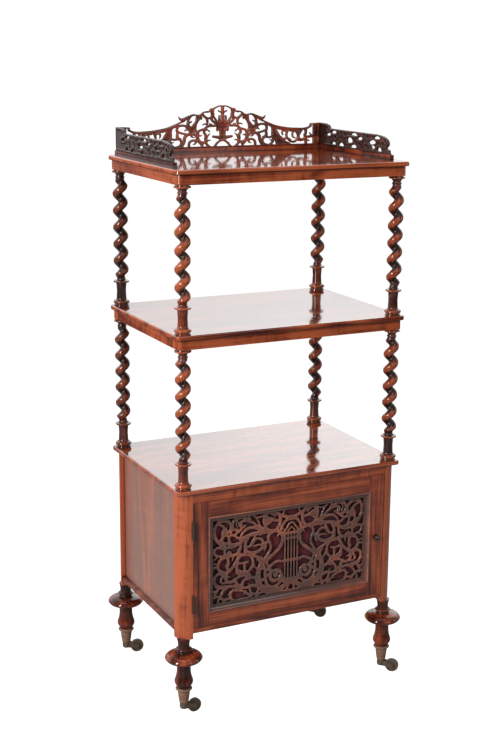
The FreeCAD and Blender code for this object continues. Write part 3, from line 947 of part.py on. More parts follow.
def floor_board():
    """Cupboard floor, notched round the four posts."""
    reach_x = face_x - floor_board_setback
    reach_y = face_y - floor_board_setback / 4
    board = block(-reach_x, reach_x, -reach_y, reach_y, floor_board_z, cupboard_floor_z)
    for side_x in (-1, 1):
        for side_y in (-1, 1):
            x0, x1 = sorted((side_x * post_inner_x, side_x * edge_x))
            y0, y1 = sorted((side_y * post_inner_y, side_y * edge_y))
            board = board.cut(block(x0, x1, y0, y1, floor_board_z, cupboard_floor_z))
    return board


def hinge_leaf(side, z):
    """Leaf in its mortise: side -1 is let into the post, +1 into the door."""
    face = hinge_x + side * door_gap / 2
    x0, x1 = sorted((face, face + side * hinge_leaf_thickness))
    return block(x0, x1, hinge_y, hinge_y + hinge_leaf_width, z - hinge_length / 2, z + hinge_length / 2)


def hinge_mortises(side):
    """What the leaves take out of the post or the stile."""
    return [hinge_leaf(side, z) for z in hinge_heights]


def hinge_half(side):
    """Leaves with their knuckles: three knuckles go with the post's leaf and two with the door's."""
    knuckle = hinge_length / 5
    halves = []
    for z in hinge_heights:
        bottom = z - hinge_length / 2
        leaf = hinge_leaf(side, z)
        for index in range(5):
            mine = (index % 2 == 0) == (side < 0)
            low = bottom + knuckle * index + (hinge_knuckle_gap / 2 if index else 0)
            high = bottom + knuckle * (index + 1) - (hinge_knuckle_gap / 2 if index < 4 else 0)
            centre = Vec(hinge_x, hinge_y, low)
            if mine:
                leaf = leaf.fuse(Part.makeCylinder(knuckle_radius, high - low, centre))
            else:
                wide = hinge_knuckle_gap / 2 if index else 0
                wide_top = hinge_knuckle_gap / 2 if index < 4 else 0
                room = Part.makeCylinder(knuckle_radius + hinge_stand_off, high - low + wide + wide_top,
                                         Vec(hinge_x, hinge_y, low - wide))
                leaf = leaf.cut(room)
        radius = hinge_pin_radius + (running_gap if side > 0 else 0)
        hole_start = Vec(hinge_x, hinge_y, bottom - hinge_length / 2)
        pin_hole = Part.makeCylinder(radius, hinge_length * 2, hole_start)
        halves.append(leaf.cut(pin_hole).removeSplitter())
    return Part.makeCompound(halves)


def hinge_pins():
    """Pins with a small ball at each end."""
    pins = []
    for z in hinge_heights:
        bottom = z - hinge_length / 2
        pin = Part.makeCylinder(hinge_pin_radius, hinge_length, Vec(hinge_x, hinge_y, bottom))
        tip = lathe([
            (0, 0),
            (hinge_pin_tip_radius, 0),
            dome(hinge_pin_tip_radius, 0, hinge_pin_tip_radius),
        ])
        upper = at(tip, hinge_x, hinge_y, bottom + hinge_length)
        lower = tip.copy()
        upside_down = FreeCAD.Rotation(Vec(1, 0, 0), 180)
        lower.Placement = FreeCAD.Placement(Vec(hinge_x, hinge_y, bottom), upside_down)
        pins.append(pin.fuse([upper, lower]).removeSplitter())
    return Part.makeCompound(pins)


def door_moulding():
    """Four mitred lengths: a bead on the frame, then a slope down to the fret."""
    lap, reach, bead = moulding_lap, moulding_reach, moulding_bead_height
    inner = lap + reach
    foot = -fret_recess
    bead_part = [(0, 0), (lap * 0.08, bead * 0.6), (lap * 0.32, bead * 0.93), (lap * 0.57, bead),
                 (lap * 0.82, bead * 0.9), (lap, bead * 0.5)]
    hollow_part = [(lap + reach * 0.1, foot * 0.02), (lap + reach * 0.3, foot * 0.3),
                   (lap + reach * 0.55, foot * 0.52), (lap + reach * 0.85, foot * 0.66), (inner, foot * 0.7)]
    profile = bead_part + hollow_part + [(inner, foot), (lap, foot), (lap, 0)]
    outer = [(panel_left_x - moulding_lap, panel_bottom_z - moulding_lap),
             (panel_right_x + moulding_lap, panel_bottom_z - moulding_lap),
             (panel_right_x + moulding_lap, panel_top_z + moulding_lap),
             (panel_left_x - moulding_lap, panel_top_z + moulding_lap)]
    inward = [(1, 1), (-1, 1), (-1, -1), (1, -1)]
    mitres = []
    for (x, z), (step_x, step_z) in zip(outer, inward):
        points = [Vec(x + step_x * s, door_front_y - h, z + step_z * s) for s, h in profile]
        mitres.append(Part.makePolygon(points + [points[0]]))
    lengths = [Part.makeLoft([mitres[index], mitres[(index + 1) % 4]], True, True) for index in range(4)]
    return Part.makeCompound(lengths)


def door_fret():
    """Pierced panel: a lyre among scrolls, its pattern scaled to the clear panel on each side of it."""
    half_width = (panel_right_x - panel_left_x) / 2 - moulding_reach
    scale_right = (half_width - door_pattern_shift) / door_pattern_half_width
    scale_left = (half_width + door_pattern_shift) / door_pattern_half_width
    scale_z = (panel_top_z - panel_bottom_z - 2 * moulding_reach) / door_pattern_height
    middle_x = (panel_left_x + panel_right_x) / 2 + door_pattern_shift
    base_z = panel_bottom_z + moulding_reach

    def place(points):
        return [Vec(middle_x + x * (scale_right if x > 0 else scale_left), fret_front_y,
                    base_z + h * scale_z) for x, h in points]

    loops = [smooth_loop(place(points)) for points in door_pattern_middle]
    for points in door_pattern_mirrored:
        loops.append(smooth_loop(place(points)))
        loops.append(smooth_loop(place(mirrored(points))))
    half_slot = (lyre_string_pitch - lyre_string_width) / 2
    for number in (-1.5, -0.5, 0.5, 1.5):
        x = number * lyre_string_pitch
        for low, high in lyre_slots:
            left, right = x - half_slot, x + half_slot
            slot = [(left, low), (right, low), (right, high), (left, high), (left, low)]
            loops.append(Part.makePolygon(place(slot)))
    x0, x1 = panel_left_x + fret_edge_gap, panel_right_x - fret_edge_gap
    z0, z1 = panel_bottom_z + fret_edge_gap, panel_top_z - fret_edge_gap
    rim = [Vec(x, fret_front_y, z) for x, z in ((x0, z0), (x1, z0), (x1, z1), (x0, z1), (x0, z0))]
    return pierced_plate(Part.makePolygon(rim), loops, Vec(0, fret_thickness, 0))


def door_knob():
    """Turned knob with its plate and the spindle through the stile."""
    plate = knob_plate_thickness
    tip = knob_length
    knob = lathe([
        (0, 0),
        (knob_plate_radius, 0),
        (knob_plate_radius, plate),
        (knob_neck_radius, plate + 0.4),
        (knob_neck_radius - 0.4, tip * 0.35, knob_neck_radius + 0.6, tip * 0.5),
        (knob_radius - 2.7, tip * 0.53),
        (knob_radius, tip * 0.7, knob_radius - 2.7, tip * 0.87),
        dome(knob_radius - 2.7, tip * 0.87, tip),
    ])
    seat = Vec(knob_x, door_front_y - tongue_gap, knob_z)
    knob.Placement = FreeCAD.Placement(seat, FreeCAD.Rotation(Vec(1, 0, 0), 90))
    spindle = rod(spindle_radius, seat, Vec(knob_x, door_back_y + tongue_gap, knob_z))
    return knob.fuse(spindle).removeSplitter()


def door_catch():
    """Flat tongue on the spindle, standing upright while the catch is off."""
    near = door_back_y + tongue_gap
    hub = rod(tongue_width / 2, Vec(knob_x, near, knob_z), Vec(knob_x, near + tongue_thickness, knob_z))
    blade = block(knob_x - tongue_width / 2, knob_x + tongue_width / 2, near, near + tongue_thickness,
                  knob_z, knob_z + tongue_length)
    return blade.fuse(hub).removeSplitter()


def strike_slot():
    """Room in the post for the tongue as it turns out sideways."""
    near = door_back_y + tongue_gap - strike_clearance
    reach = math.hypot(tongue_length, tongue_width / 2)
    bite = post_inner_x - knob_x
    rise = math.sqrt(reach * reach - bite * bite)
    return block(post_inner_x, knob_x + reach + strike_clearance, near,
                 near + tongue_thickness + 2 * strike_clearance,
                 knob_z - tongue_width / 2 - strike_clearance, knob_z + rise + strike_clearance)


# ---------------------------------------------------------------- gallery
def gallery_back_panel():
    """Arched pierced panel along the back, standing on its strip."""
    scale_x = gallery_inner_x / gallery_pattern_half_width
    scale_z = gallery_back_height / gallery_pattern_height

    def place(points):
        return [Vec(x * scale_x, gallery_front_y, top_shelf_z + h * scale_z) for x, h in points]

    foot_h = gallery_strip_height / scale_z
    runs = [smooth_run(place(run)) for run in gallery_crest]
    runs += [smooth_run(place(mirrored(run))) for run in gallery_crest]
    end = gallery_pattern_half_width
    crest_end = gallery_crest[-1][-1][1]
    runs.append(smooth_run(place([(end, crest_end), (end, foot_h)])))
    runs.append(smooth_run(place([(end, foot_h), (-end, foot_h)])))
    runs.append(smooth_run(place([(-end, foot_h), (-end, crest_end)])))
    outline = Part.Wire(Part.__sortEdges__(runs))
    loops = [smooth_loop(place(points)) for points in gallery_pattern_middle]
    for points in gallery_pattern_mirrored:
        loops.append(smooth_loop(place(points)))
        loops.append(smooth_loop(place(mirrored(points))))
    return pierced_plate(outline, loops, Vec(0, gallery_thickness, 0))


def gallery_side_panel(side):
    """Pierced panel along one side, with a scrolled front end, standing on its strip."""
    scale_y = gallery_side_length / gallery_side_pattern_length
    scale_z = gallery_side_height / gallery_side_pattern_height
    front_y = gallery_back_y - gallery_side_length
    x = side * gallery_inner_x

    def place(points):
        heights = [max(gallery_strip_height, h * scale_z) for y, h in points]
        return [Vec(x, front_y + point[0] * scale_y, top_shelf_z + h) for point, h in zip(points, heights)]

    outline = Part.Wire(Part.__sortEdges__([smooth_run(place(run)) for run in gallery_side_outline]))
    loops = [smooth_loop(place(points)) for points in gallery_side_pattern]
    for y, h in gallery_side_dots:
        centre = place([(y, h)])[0]
        loops.append(Part.Wire([Part.makeCircle(gallery_dot_radius, centre, Vec(1, 0, 0))]))
    return pierced_plate(outline, loops, Vec(side * gallery_thickness, 0, 0))


def gallery_strips():
    """Solid strips under the three pierced panels."""
    lap = (gallery_strip_thickness - gallery_thickness) / 2
    z0 = top_shelf_z
    z1 = top_shelf_z + gallery_strip_height
    front_y = gallery_back_y - gallery_side_length
    strips = {}
    for name, side in (("left", -1), ("right", 1)):
        x0, x1 = sorted((side * (gallery_inner_x - lap), side * (gallery_outer_x + lap)))
        strips[name] = block(x0, x1, front_y, gallery_back_y + lap, z0, z1)
    reach = gallery_inner_x - lap
    strips["back"] = block(-reach, reach, gallery_front_y - lap, gallery_back_y + lap, z0, z1)
    return strips


# ---------------------------------------------------------------- all the nodes
def build():
    """Every piece, by node name."""
    nodes = {}
    cup = castor_cup()
    foot = castor_foot()
    horn_and_axle = Part.makeCompound([castor_horn(), castor_axle()])
    wheel = castor_wheel()
    upper_column = column(upper_column_length)
    lower_column = column(lower_column_length)
    for name, (x, y) in corners.items():
        side_x = 1 if x > 0 else -1
        side_y = 1 if y > 0 else -1
        nodes["castor_cup_" + name] = at(cup, x, y, cup_bottom_z)
        nodes["castor_horn_" + name] = at(horn_and_axle, x, y, 0, castor_rest_angles[name])
        nodes["castor_wheel_" + name] = at(wheel, x, y, 0, castor_rest_angles[name])
        nodes["foot_" + name] = at(foot, x, y, cup_bottom_z)
        nodes["post_" + name] = corner_post(side_x, side_y)
        nodes["lower_column_" + name] = at(lower_column, x, y, lower_shelf_z, lower_twist_starts[name])
        nodes["upper_column_" + name] = at(upper_column, x, y, middle_shelf_z, upper_twist_starts[name])
    nodes["post_front_left"] = nodes["post_front_left"].cut(hinge_mortises(-1))
    nodes["post_front_right"] = nodes["post_front_right"].cut(strike_slot())

    nodes["cabinet_floor_board"] = floor_board()
    nodes["cabinet_top_board"] = shelf_board(cupboard_top_z)
    nodes["middle_board"] = shelf_board(middle_board_z)
    nodes["top_board"] = shelf_board(top_board_z)
    for name, z in (("middle", middle_frieze_z), ("top", top_frieze_z)):
        front, back, sides = frieze(z)
        nodes[name + "_frieze_front"] = front
        nodes[name + "_frieze_back"] = back
        nodes[name + "_frieze_sides"] = sides

    rail_back_y = door_front_y + front_rail_thickness
    nodes["cabinet_front_rail"] = block(-post_inner_x, post_inner_x, door_front_y, rail_back_y,
                                        front_rail_z, cupboard_top_z)
    for name, side in (("left", -1), ("right", 1)):
        outer = face_x - side_panel_recess
        x0, x1 = sorted((side * (outer - side_panel_thickness), side * outer))
        nodes["side_panel_" + name] = block(x0, x1, -post_inner_y, post_inner_y,
                                            cupboard_floor_z, cupboard_top_z)
    back_y = face_y - back_panel_recess
    nodes["back_panel"] = block(-post_inner_x, post_inner_x, back_y - back_panel_thickness, back_y,
                                cupboard_floor_z, cupboard_top_z)

    hinge_stile = block(door_left_x, panel_left_x, door_front_y, door_back_y, door_bottom_z, door_top_z)
    nodes["door_hinge_stile"] = hinge_stile.cut(hinge_mortises(1))
    lock_stile = block(panel_right_x, door_right_x, door_front_y, door_back_y, door_bottom_z, door_top_z)
    hole_start = Vec(knob_x, door_front_y, knob_z)
    spindle_hole = rod(spindle_radius + running_gap, hole_start, hole_start + Vec(0, door_thickness, 0))
    nodes["door_lock_stile"] = lock_stile.cut(spindle_hole)
    nodes["door_bottom_rail"] = block(panel_left_x, panel_right_x, door_front_y, door_back_y,
                                      door_bottom_z, panel_bottom_z)
    nodes["door_top_rail"] = block(panel_left_x, panel_right_x, door_front_y, door_back_y,
                                   panel_top_z, door_top_z)
    nodes["door_moulding"] = door_moulding()
    nodes["door_fret"] = door_fret()
    cloth_y = fret_front_y + fret_thickness + cloth_gap
    nodes["door_cloth"] = block(panel_left_x + fret_edge_gap, panel_right_x - fret_edge_gap,
                                cloth_y, cloth_y + cloth_thickness,
                                panel_bottom_z + fret_edge_gap, panel_top_z - fret_edge_gap)
    nodes["hinge_post_leaves"] = hinge_half(-1)
    nodes["hinge_door_leaves"] = hinge_half(1)
    nodes["hinge_pins"] = hinge_pins()
    nodes["door_knob"] = door_knob()
    nodes["door_catch"] = door_catch()

    nodes["gallery_back"] = gallery_back_panel()
    nodes["gallery_left"] = gallery_side_panel(-1)
    nodes["gallery_right"] = gallery_side_panel(1)
    for name, strip in gallery_strips().items():
        nodes["gallery_strip_" + name] = strip
    return nodes


def main():
    """Write one STEP file per node."""
    os.makedirs("parts", exist_ok=True)
    for name, shape in build().items():
        if not shape.isValid():
            raise ValueError(name + " is not a valid shape")
        shape.exportStep(os.path.join("parts", name + ".step"))
        print(name, len(shape.Solids), round(shape.Volume, 1))


main()
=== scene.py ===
import math

import bmesh
import bpy
import numpy as np
from mathutils import Matrix, Vector
from mathutils.geometry import delaunay_2d_cdt


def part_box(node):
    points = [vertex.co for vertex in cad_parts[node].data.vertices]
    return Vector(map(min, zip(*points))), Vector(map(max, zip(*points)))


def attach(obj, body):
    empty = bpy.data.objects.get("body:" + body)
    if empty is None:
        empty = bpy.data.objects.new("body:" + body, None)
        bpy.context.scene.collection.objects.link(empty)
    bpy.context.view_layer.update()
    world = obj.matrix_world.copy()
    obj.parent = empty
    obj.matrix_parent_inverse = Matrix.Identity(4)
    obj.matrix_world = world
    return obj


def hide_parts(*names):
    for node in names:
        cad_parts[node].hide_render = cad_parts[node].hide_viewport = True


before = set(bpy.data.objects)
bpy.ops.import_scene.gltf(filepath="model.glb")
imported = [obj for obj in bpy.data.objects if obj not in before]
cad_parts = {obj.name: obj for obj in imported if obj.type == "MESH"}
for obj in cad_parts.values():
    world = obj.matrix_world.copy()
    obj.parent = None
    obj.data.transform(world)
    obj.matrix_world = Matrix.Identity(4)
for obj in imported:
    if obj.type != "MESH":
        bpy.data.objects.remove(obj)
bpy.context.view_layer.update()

bl_info = {
    "name": "Victorian Etagere",
    "version": (1, 0, 0),
    "blender": (4, 5, 0),
    "location": "3D View > Sidebar > Etagere",
    "description": "Dresses an etagere with rope-twist columns, pierced galleries and castors",
    "category": "Object",
}

MM = 0.001
CORNERS = ("front_left", "front_right", "back_left", "back_right")

# The columns: where each twist starts, in degrees from +X, the tone of each one's wood, which is
# darker below 0, and how strongly its crests are lightened, a painted highlight along with rub,
# strongest on the front-left column.
UPPER_TWIST_STARTS = {"front_left": 175, "front_right": 291, "back_left": 130, "back_right": 274}
LOWER_TWIST_STARTS = {"front_left": 249, "front_right": 172, "back_left": 96, "back_right": 229}
COLUMN_TONES = {"front_left": -0.04, "front_right": -0.10, "back_left": -0.14, "back_right": -0.10}
COLUMN_HIGHLIGHT_RUBS = {"front_left": 0.6, "front_right": 0.4, "back_left": 0.2, "back_right": 0.4}

# A board's edge: how much paler it is than the face, a painted highlight, and how far below the
# face it starts and is in full, then how much darker the line at its foot is, a painted shadow
# under the board's overhang, and how far below the face that starts and is in full, all in
# millimetres.
EDGE_HIGHLIGHT, EDGE_START, EDGE_FULL = 0.10, 0.3, 0.9
SHADOW_LINE_DARKER, SHADOW_LINE_START, SHADOW_LINE_FULL = 0.5, 7.6, 9.6

# The door's moulding, in millimetres: the lap and height of its bead, the width of its slope and
# the level of its back, from the front of the door's frame.
MOULDING_LAP, MOULDING_BEAD = 3.5, 3.0
MOULDING_SLOPE, MOULDING_BACK = 9.5, -6.0
MOULDING_WIDTH = MOULDING_LAP + MOULDING_SLOPE

# The cloth: points across and up, and the greatest height of its ripples in metres.
CLOTH_COLUMNS, CLOTH_ROWS = 160, 90
CLOTH_RIPPLE = 0.12 * MM


# ---------------------------------------------------------------- patterns, in millimetres
# Openings are closed smooth loops through a few points, each given as (across from the middle, up
# from the lower edge). The loops of a MIRRORED list are sawn on both sides of the middle.

# The fret is drawn for DOOR_HALF_WIDTH and DOOR_HEIGHT, with its middle DOOR_SHIFT to the right of
# the door's, and is stretched to the opening that it fills.
DOOR_HALF_WIDTH = 192.3
DOOR_HEIGHT = 196.5
DOOR_SHIFT = 4.3
DOOR_MIRRORED = [
    [(23.4, 188.2), (22.6, 190.4), (21.7, 193.3), (21.6, 195), (24.8, 195.4), (29.9, 195.4),
     (32.9, 195.1), (31.9, 193.6), (27.8, 190.5)],
    [(26, 161.1), (25, 162.2), (21.3, 167.7), (16, 173.4), (14.5, 175.4), (15.8, 176.2),
     (19.3, 177.7), (22.1, 178.9), (23.9, 179.3), (24.1, 176.4), (24.5, 168.3), (25.4, 164.8),
     (26.2, 162.3)],
    [(29.3, 152.4), (28.7, 154.9), (27.7, 157.1), (28.8, 157.4), (30.4, 155.2), (31.4, 153.2)],
    [(21, 145.2), (19.3, 146.9), (19.6, 149.2), (21.6, 149.7), (23.7, 148.5), (23, 146.3)],
    [(18.3, 36.1), (17.8, 39.5), (17.8, 45.5), (17.8, 56.1), (17.8, 66.6), (18, 70.4),
     (23.2, 71.4), (30.4, 73.3), (35.7, 72.5), (42.1, 69.9), (48.6, 65), (50, 62.8), (48.8, 61.2),
     (42.3, 58.7), (39.4, 59.5), (35.2, 59.8), (24.4, 54.1), (21.6, 49.1), (20.3, 43.3),
     (19.7, 39.4), (19.7, 37)],
    [(30.3, 14.8), (27.9, 15.3), (24.5, 16.5), (19.5, 19.2), (17.6, 21), (20.3, 22.7),
     (23.4, 23.9), (24.9, 22.1), (28.9, 17.7), (31.9, 15.2)],
    [(12.3, 4.3), (11.1, 8.2), (11.1, 10.5), (12.7, 10.1), (16, 8), (18.1, 6.8), (19.4, 6),
     (18.9, 4.9), (16.2, 4.5)],
    [(32.3, 176.9), (31.9, 178.6), (32.6, 181.1), (34.7, 184.8), (36.7, 187), (38.1, 188.2),
     (38.8, 187.3), (38.4, 185.3), (39.5, 183.2), (42.6, 182.7), (45.3, 185.4), (48.4, 188.2),
     (51.4, 188.1), (52.8, 189.2), (50.9, 191), (51.7, 191.9), (53.2, 191.8), (55.9, 191.4),
     (58.7, 190.4), (59.8, 189.4), (59.2, 188.2), (56.5, 187), (49.9, 184), (44.7, 180.9),
     (34.9, 177.3)],
    [(41.7, 155.2), (38.8, 157.3), (33.6, 164.2), (32.4, 167.3), (32, 170), (34.2, 170.6),
     (38.1, 171), (42, 171.6), (45.5, 172.3), (48.5, 172.9), (49.5, 171.9), (54.2, 168.2),
     (59.6, 165.7), (60.7, 164.8), (59.8, 162.6), (53.5, 157.1), (46.8, 155.6), (43.5, 155.3)],
    [(55.7, 92.6), (53.9, 93.8), (49.7, 96.8), (44, 101.1), (35.1, 108.3), (29, 115.3),
     (25.3, 130.9), (25.8, 135.4), (27.8, 137.6), (28.6, 138.8), (30, 139.1), (31, 138.1),
     (32.1, 136.3), (32.8, 134.3), (34.4, 134), (34.9, 135.7), (33.5, 141.2), (32.7, 143.7),
     (35.9, 145), (43.9, 146), (46.4, 145), (53.1, 139.8), (52.5, 129), (50.6, 125), (48.1, 115.4),
     (51.6, 101), (53.3, 98.1), (54.9, 95.6), (56.4, 93.4)],
    [(53, 70.9), (51.1, 72.4), (47.7, 74.9), (39, 78.9), (30.4, 80.1), (20, 77.6), (18.3, 78.1),
     (17.8, 82.2), (17.8, 90), (17.8, 101.1), (17.8, 114.6), (18.4, 120), (21.2, 113.1),
     (27.9, 104), (36.9, 96.1), (47, 88.5), (53.6, 83.3), (57.6, 78.7), (55.6, 72.9)],
    [(42.2, 20.2), (32.7, 24.4), (31, 26.5), (30.1, 28.1), (30.4, 29.5), (31.9, 29.1),
     (33.9, 28.4), (43.2, 26.8), (51, 30.5), (54.5, 35.4), (55.7, 40.6), (55.9, 44.1), (58.6, 42),
     (59.9, 40), (58, 34.9), (56.9, 29.6), (54.9, 26.2), (50.8, 22.3)],
    [(66.8, 90.1), (65.4, 91.7), (62.7, 95.7), (56.2, 106.1), (54.3, 114.6), (56.2, 121.8),
     (57.9, 124.1), (60.4, 122.3), (60.4, 120.3), (60.5, 117), (62.3, 111.9), (65.4, 107.9),
     (68.6, 106.3), (69.1, 107.7), (68.7, 110.4), (69.9, 111.7), (71.6, 110.1), (76.8, 106.1),
     (84.5, 103.5), (88.7, 102.4), (83.4, 98.8), (76.3, 95.4), (71.2, 92.8), (68.8, 91.1)],
    [(58.7, 64.8), (57.8, 65.9), (58.7, 67.1), (60.2, 69), (62.6, 73.5), (63.1, 74.9),
     (63.6, 76.3), (65.5, 76.2), (63.9, 71.7), (62.6, 66.8)],
    [(60.3, 49.6), (59.2, 50.6), (57.5, 52.3), (55.9, 53.6), (54.7, 54.6), (54.5, 56.1),
     (56.2, 56.5), (59.8, 55.9), (61, 52.5), (61.2, 50.4)],
    [(64.1, 24), (64.9, 28.6), (66.7, 33.2), (69, 33.7), (71.7, 34), (72.8, 33.2), (72.4, 31.8),
     (71.5, 30.2), (68.2, 26.4)],
    [(79.2, 190.6), (70.8, 193), (67.2, 194.8), (71.2, 195.4), (79.6, 195.4), (88, 195.4),
     (91.3, 194.7), (87.4, 192.1)],
    [(69.2, 163.6), (68.8, 164.9), (69.3, 166.3), (70, 168.3), (71.6, 173.8), (71.9, 178.6),
     (71.1, 184.2), (70.7, 187.3), (72.2, 187.3), (77.7, 185.9), (82.7, 185.5), (80.5, 180.6),
     (76.5, 170.9), (70.5, 164.2)],
    [(64.7, 128.4), (62.3, 129.8), (60.5, 131.6), (60.7, 134.3), (60.2, 140.6), (58.5, 144.1),
     (57.5, 146.2), (60.3, 146.6), (65.4, 146.6), (71.1, 146.9), (73.2, 146.9), (74.3, 144.4),
     (77.8, 144.5), (81.5, 145.7), (84.3, 146.6), (86.8, 144), (88, 142), (86.8, 141.6), (85, 142),
     (82.6, 142.3), (73.3, 138.7), (68.2, 132.9), (66.9, 130.1), (66.1, 128.5)],
    [(89.7, 110.4), (76, 116.2), (74.5, 118.4), (78.2, 120.7), (83.8, 121), (89.2, 120.4),
     (92.1, 119.7), (93.9, 119.6), (95.2, 121.9), (92, 123.8), (86.2, 125.3), (82, 125.8),
     (76.9, 125.7), (73.4, 125.2), (73.6, 128.5), (77.8, 133.8), (82.5, 135.8), (88.7, 133.9),
     (90.7, 130.3), (94.8, 124.7), (99.4, 121.4), (104.3, 120.3), (107.6, 120.1), (108.6, 119.1),
     (108.2, 117.7), (106.4, 114.9), (102, 112.4)],
    [(83.6, 70.4), (81.5, 73.7), (79.4, 77.6), (79.9, 79.9), (83.2, 85.9), (84.8, 87.2),
     (85.8, 88.3), (84.6, 90.7), (86.2, 92), (90.7, 95.1), (91.9, 96), (93.2, 95.8), (92.7, 93.8),
     (91.5, 88.5), (91.1, 85.5), (90.1, 81.7), (89.8, 78.2), (87.8, 73.9), (85.4, 71.2)],
    [(68.1, 42.1), (67.7, 45), (68.2, 51), (67.1, 57.2), (66.2, 59.7), (70, 61.6), (74.3, 62.3),
     (75, 59.1), (75.6, 53.7), (75.8, 50.7), (75.1, 48.4), (74.8, 44.8), (74.3, 42.5),
     (71.4, 42.2)],
    [(77.9, 9.3), (75.5, 9.9), (74.8, 11.4), (76.4, 12.8), (78.1, 12.5), (78.8, 10.5)],
    [(62, 1.2), (61.6, 2.2), (63.1, 3.1), (66.3, 4.8), (69, 5), (73.2, 4.8), (77, 3.9),
     (79.4, 2.8), (80.2, 1.4), (78.8, 1.1), (75.2, 1.1), (68.6, 1.1), (64, 1.1)],
    [(82.7, 171.3), (86.3, 181.9), (88.3, 185.6), (89.6, 188), (93.2, 190.2), (96, 193.3),
     (97.4, 195.2), (99.5, 195.1), (101.2, 193.5), (103.1, 190.6), (99.7, 188), (100, 184.7),
     (97.4, 183.2), (94.4, 181.2), (90.8, 178.5)],
    [(119.9, 149.2), (116.7, 150.2), (106.3, 153.4), (92.5, 156.1), (85, 156.8), (82.8, 157.4),
     (86.3, 159.7), (99.6, 163.3), (106.4, 162.6), (113.1, 159.9)],
    [(106.4, 125.7), (102.6, 126.4), (101.7, 128.6), (99.7, 132), (96.5, 137.8), (95.2, 141.1),
     (93.4, 146.1), (97.8, 145.9), (103.7, 144.1), (104.6, 140.4), (105, 139.1), (107.5, 138.5),
     (108, 137.1), (109, 132.7), (109.6, 127.9), (109.4, 126.1)],
    [(87.9, 50.1), (87.2, 52.6), (86, 60.3), (85.4, 64.2), (86.7, 65.8), (89.2, 69.2), (91, 72.2),
     (92.4, 70.7), (94.7, 70.5), (96.1, 68.6), (99.6, 64.9), (101.3, 63.7), (102.6, 62.9),
     (103, 61.6), (101.9, 60.6), (100, 59.1), (98.2, 55.3), (97.4, 53.4), (92.7, 51.5)],
    [(107.3, 29.8), (104.3, 31.2), (105.8, 33.3), (107.7, 34.3), (108, 35.6), (105.8, 36.1),
     (103, 35.2), (100.7, 33.3), (98.9, 31.8), (96.9, 32.3), (91.9, 33.2), (89.7, 31.7),
     (87.5, 31.2), (87.7, 35.3), (87.9, 38.9), (88, 41), (90.4, 42.7), (95.7, 44.8), (98.6, 45.4),
     (101.3, 44.1), (104.8, 43.3), (109, 43.5), (111, 43.6), (113.6, 41.5), (116.5, 36.7),
     (116.6, 33.4), (116.3, 31), (113.5, 30)],
    [(88.1, 10.5), (85, 12.3), (83.5, 16.5), (83, 20.2), (86.5, 22.1), (92, 23.6), (94.2, 24.6),
     (95.5, 25.2), (97, 24.9), (98.4, 24.3), (98.4, 20.9), (95, 13.6), (91.8, 11.4)],
    [(89.3, 1.2), (87.9, 3.9), (89.4, 4.2), (91.2, 4.5), (94.2, 3.3), (95.7, 2.3), (95.6, 1.2),
     (94.1, 1.1), (92.3, 1.1), (90.8, 1.1)],
    [(109.4, 193.2), (107.9, 194.6), (109.9, 195.4), (111.7, 195.4), (113, 194.3), (111.1, 193.4)],
    [(128.9, 167.7), (126.4, 170), (128.5, 172.5), (130.9, 176.6), (130.2, 181.2), (125.7, 186.4),
     (121.2, 188), (118.4, 188.8), (119.2, 189.8), (121.6, 190.2), (125.4, 190.6), (127.8, 190.4),
     (129.8, 188.6), (131.5, 186.5), (132.1, 175.3), (130.6, 172.3), (131.4, 171.1),
     (132.4, 170.3), (131.2, 169.2)],
    [(128.1, 149.7), (124.8, 154.8), (121.5, 159.9), (113.9, 167), (100.4, 170.5), (95, 170.2),
     (93.5, 170), (92, 169.8), (91.3, 170.8), (92.9, 172.6), (94.9, 174.3), (99.7, 177.5),
     (109.2, 181.1), (119.2, 181.3), (121.4, 179.9), (119.8, 177.2), (118.6, 175.2), (115, 176.4),
     (111.8, 175.2), (111.6, 172), (114.1, 170), (117.7, 167.9), (123.7, 162.4), (131, 157.7),
     (134.8, 155.5), (132.8, 152.7)],
    [(117.9, 108.9), (117.2, 113), (116.8, 119.6), (117.4, 124.7), (117.2, 130.4), (116.6, 134.9),
     (116.6, 136.9), (119.9, 134.9), (120.2, 133.4), (120.7, 131.1), (121.4, 124.2),
     (123.5, 117.3), (125.2, 114.1), (125.8, 112.2), (124.4, 111.6), (120.9, 110.7)],
    [(109.7, 67.6), (105.9, 68.8), (102, 71.9), (97.9, 83), (98.8, 90.8), (100.9, 95.7),
     (103.8, 98.7), (106.5, 100.7), (113.3, 101.1), (119, 102), (121.9, 102.5), (125.4, 98.9),
     (128, 94.8), (128.7, 92.3), (127.7, 91.2), (116.5, 89), (108.4, 90), (104.2, 89.1),
     (104.1, 85.7), (108.1, 84.2), (111.4, 83.3), (111.8, 81.6), (112.1, 78.3), (111.5, 71.1),
     (111.4, 69.6), (111.2, 68.1)],
    [(117.6, 68.7), (117.2, 71.2), (118, 76.9), (118, 81.4), (118, 83.4), (119.7, 84),
     (124.2, 84.4), (126.5, 85), (128, 85.3), (129.4, 82.6), (130.3, 78), (125.1, 71.5),
     (119.9, 69.1)],
    [(124.2, 36.5), (123.1, 39.9), (119.9, 45.3), (115.4, 49.7), (114.2, 50.6), (113, 51.5),
     (112.7, 52.7), (114.5, 52.9), (116.6, 53), (121.1, 52.9), (125.3, 52.3), (130.5, 50.8),
     (132.9, 48.3), (130.9, 43.1), (126.7, 38.4)],
    [(102.2, 11.4), (104.2, 19.4), (105.2, 22.8), (107.6, 22.9), (110.3, 22.9), (115.6, 23.6),
     (117.1, 23.9), (118.5, 24.4), (119.8, 23.9), (118.1, 22.8), (115.1, 21.3), (113.8, 20.6),
     (111.7, 21), (109.5, 20.3), (108.8, 18.7), (108.7, 16.6), (107.4, 15.3), (105.3, 13.6)],
    [(133.7, 3), (126.2, 3.7), (116.2, 3.8), (107.6, 4.4), (105.7, 5.1), (106.8, 6.7),
     (110.1, 9.4), (112.8, 11.2), (118.6, 10.8), (118.9, 12.4), (117.2, 13.1), (116.2, 14.1),
     (118.5, 16), (127.6, 19.7), (135, 21.1), (142.4, 21.8), (145.2, 13), (144.3, 9.9),
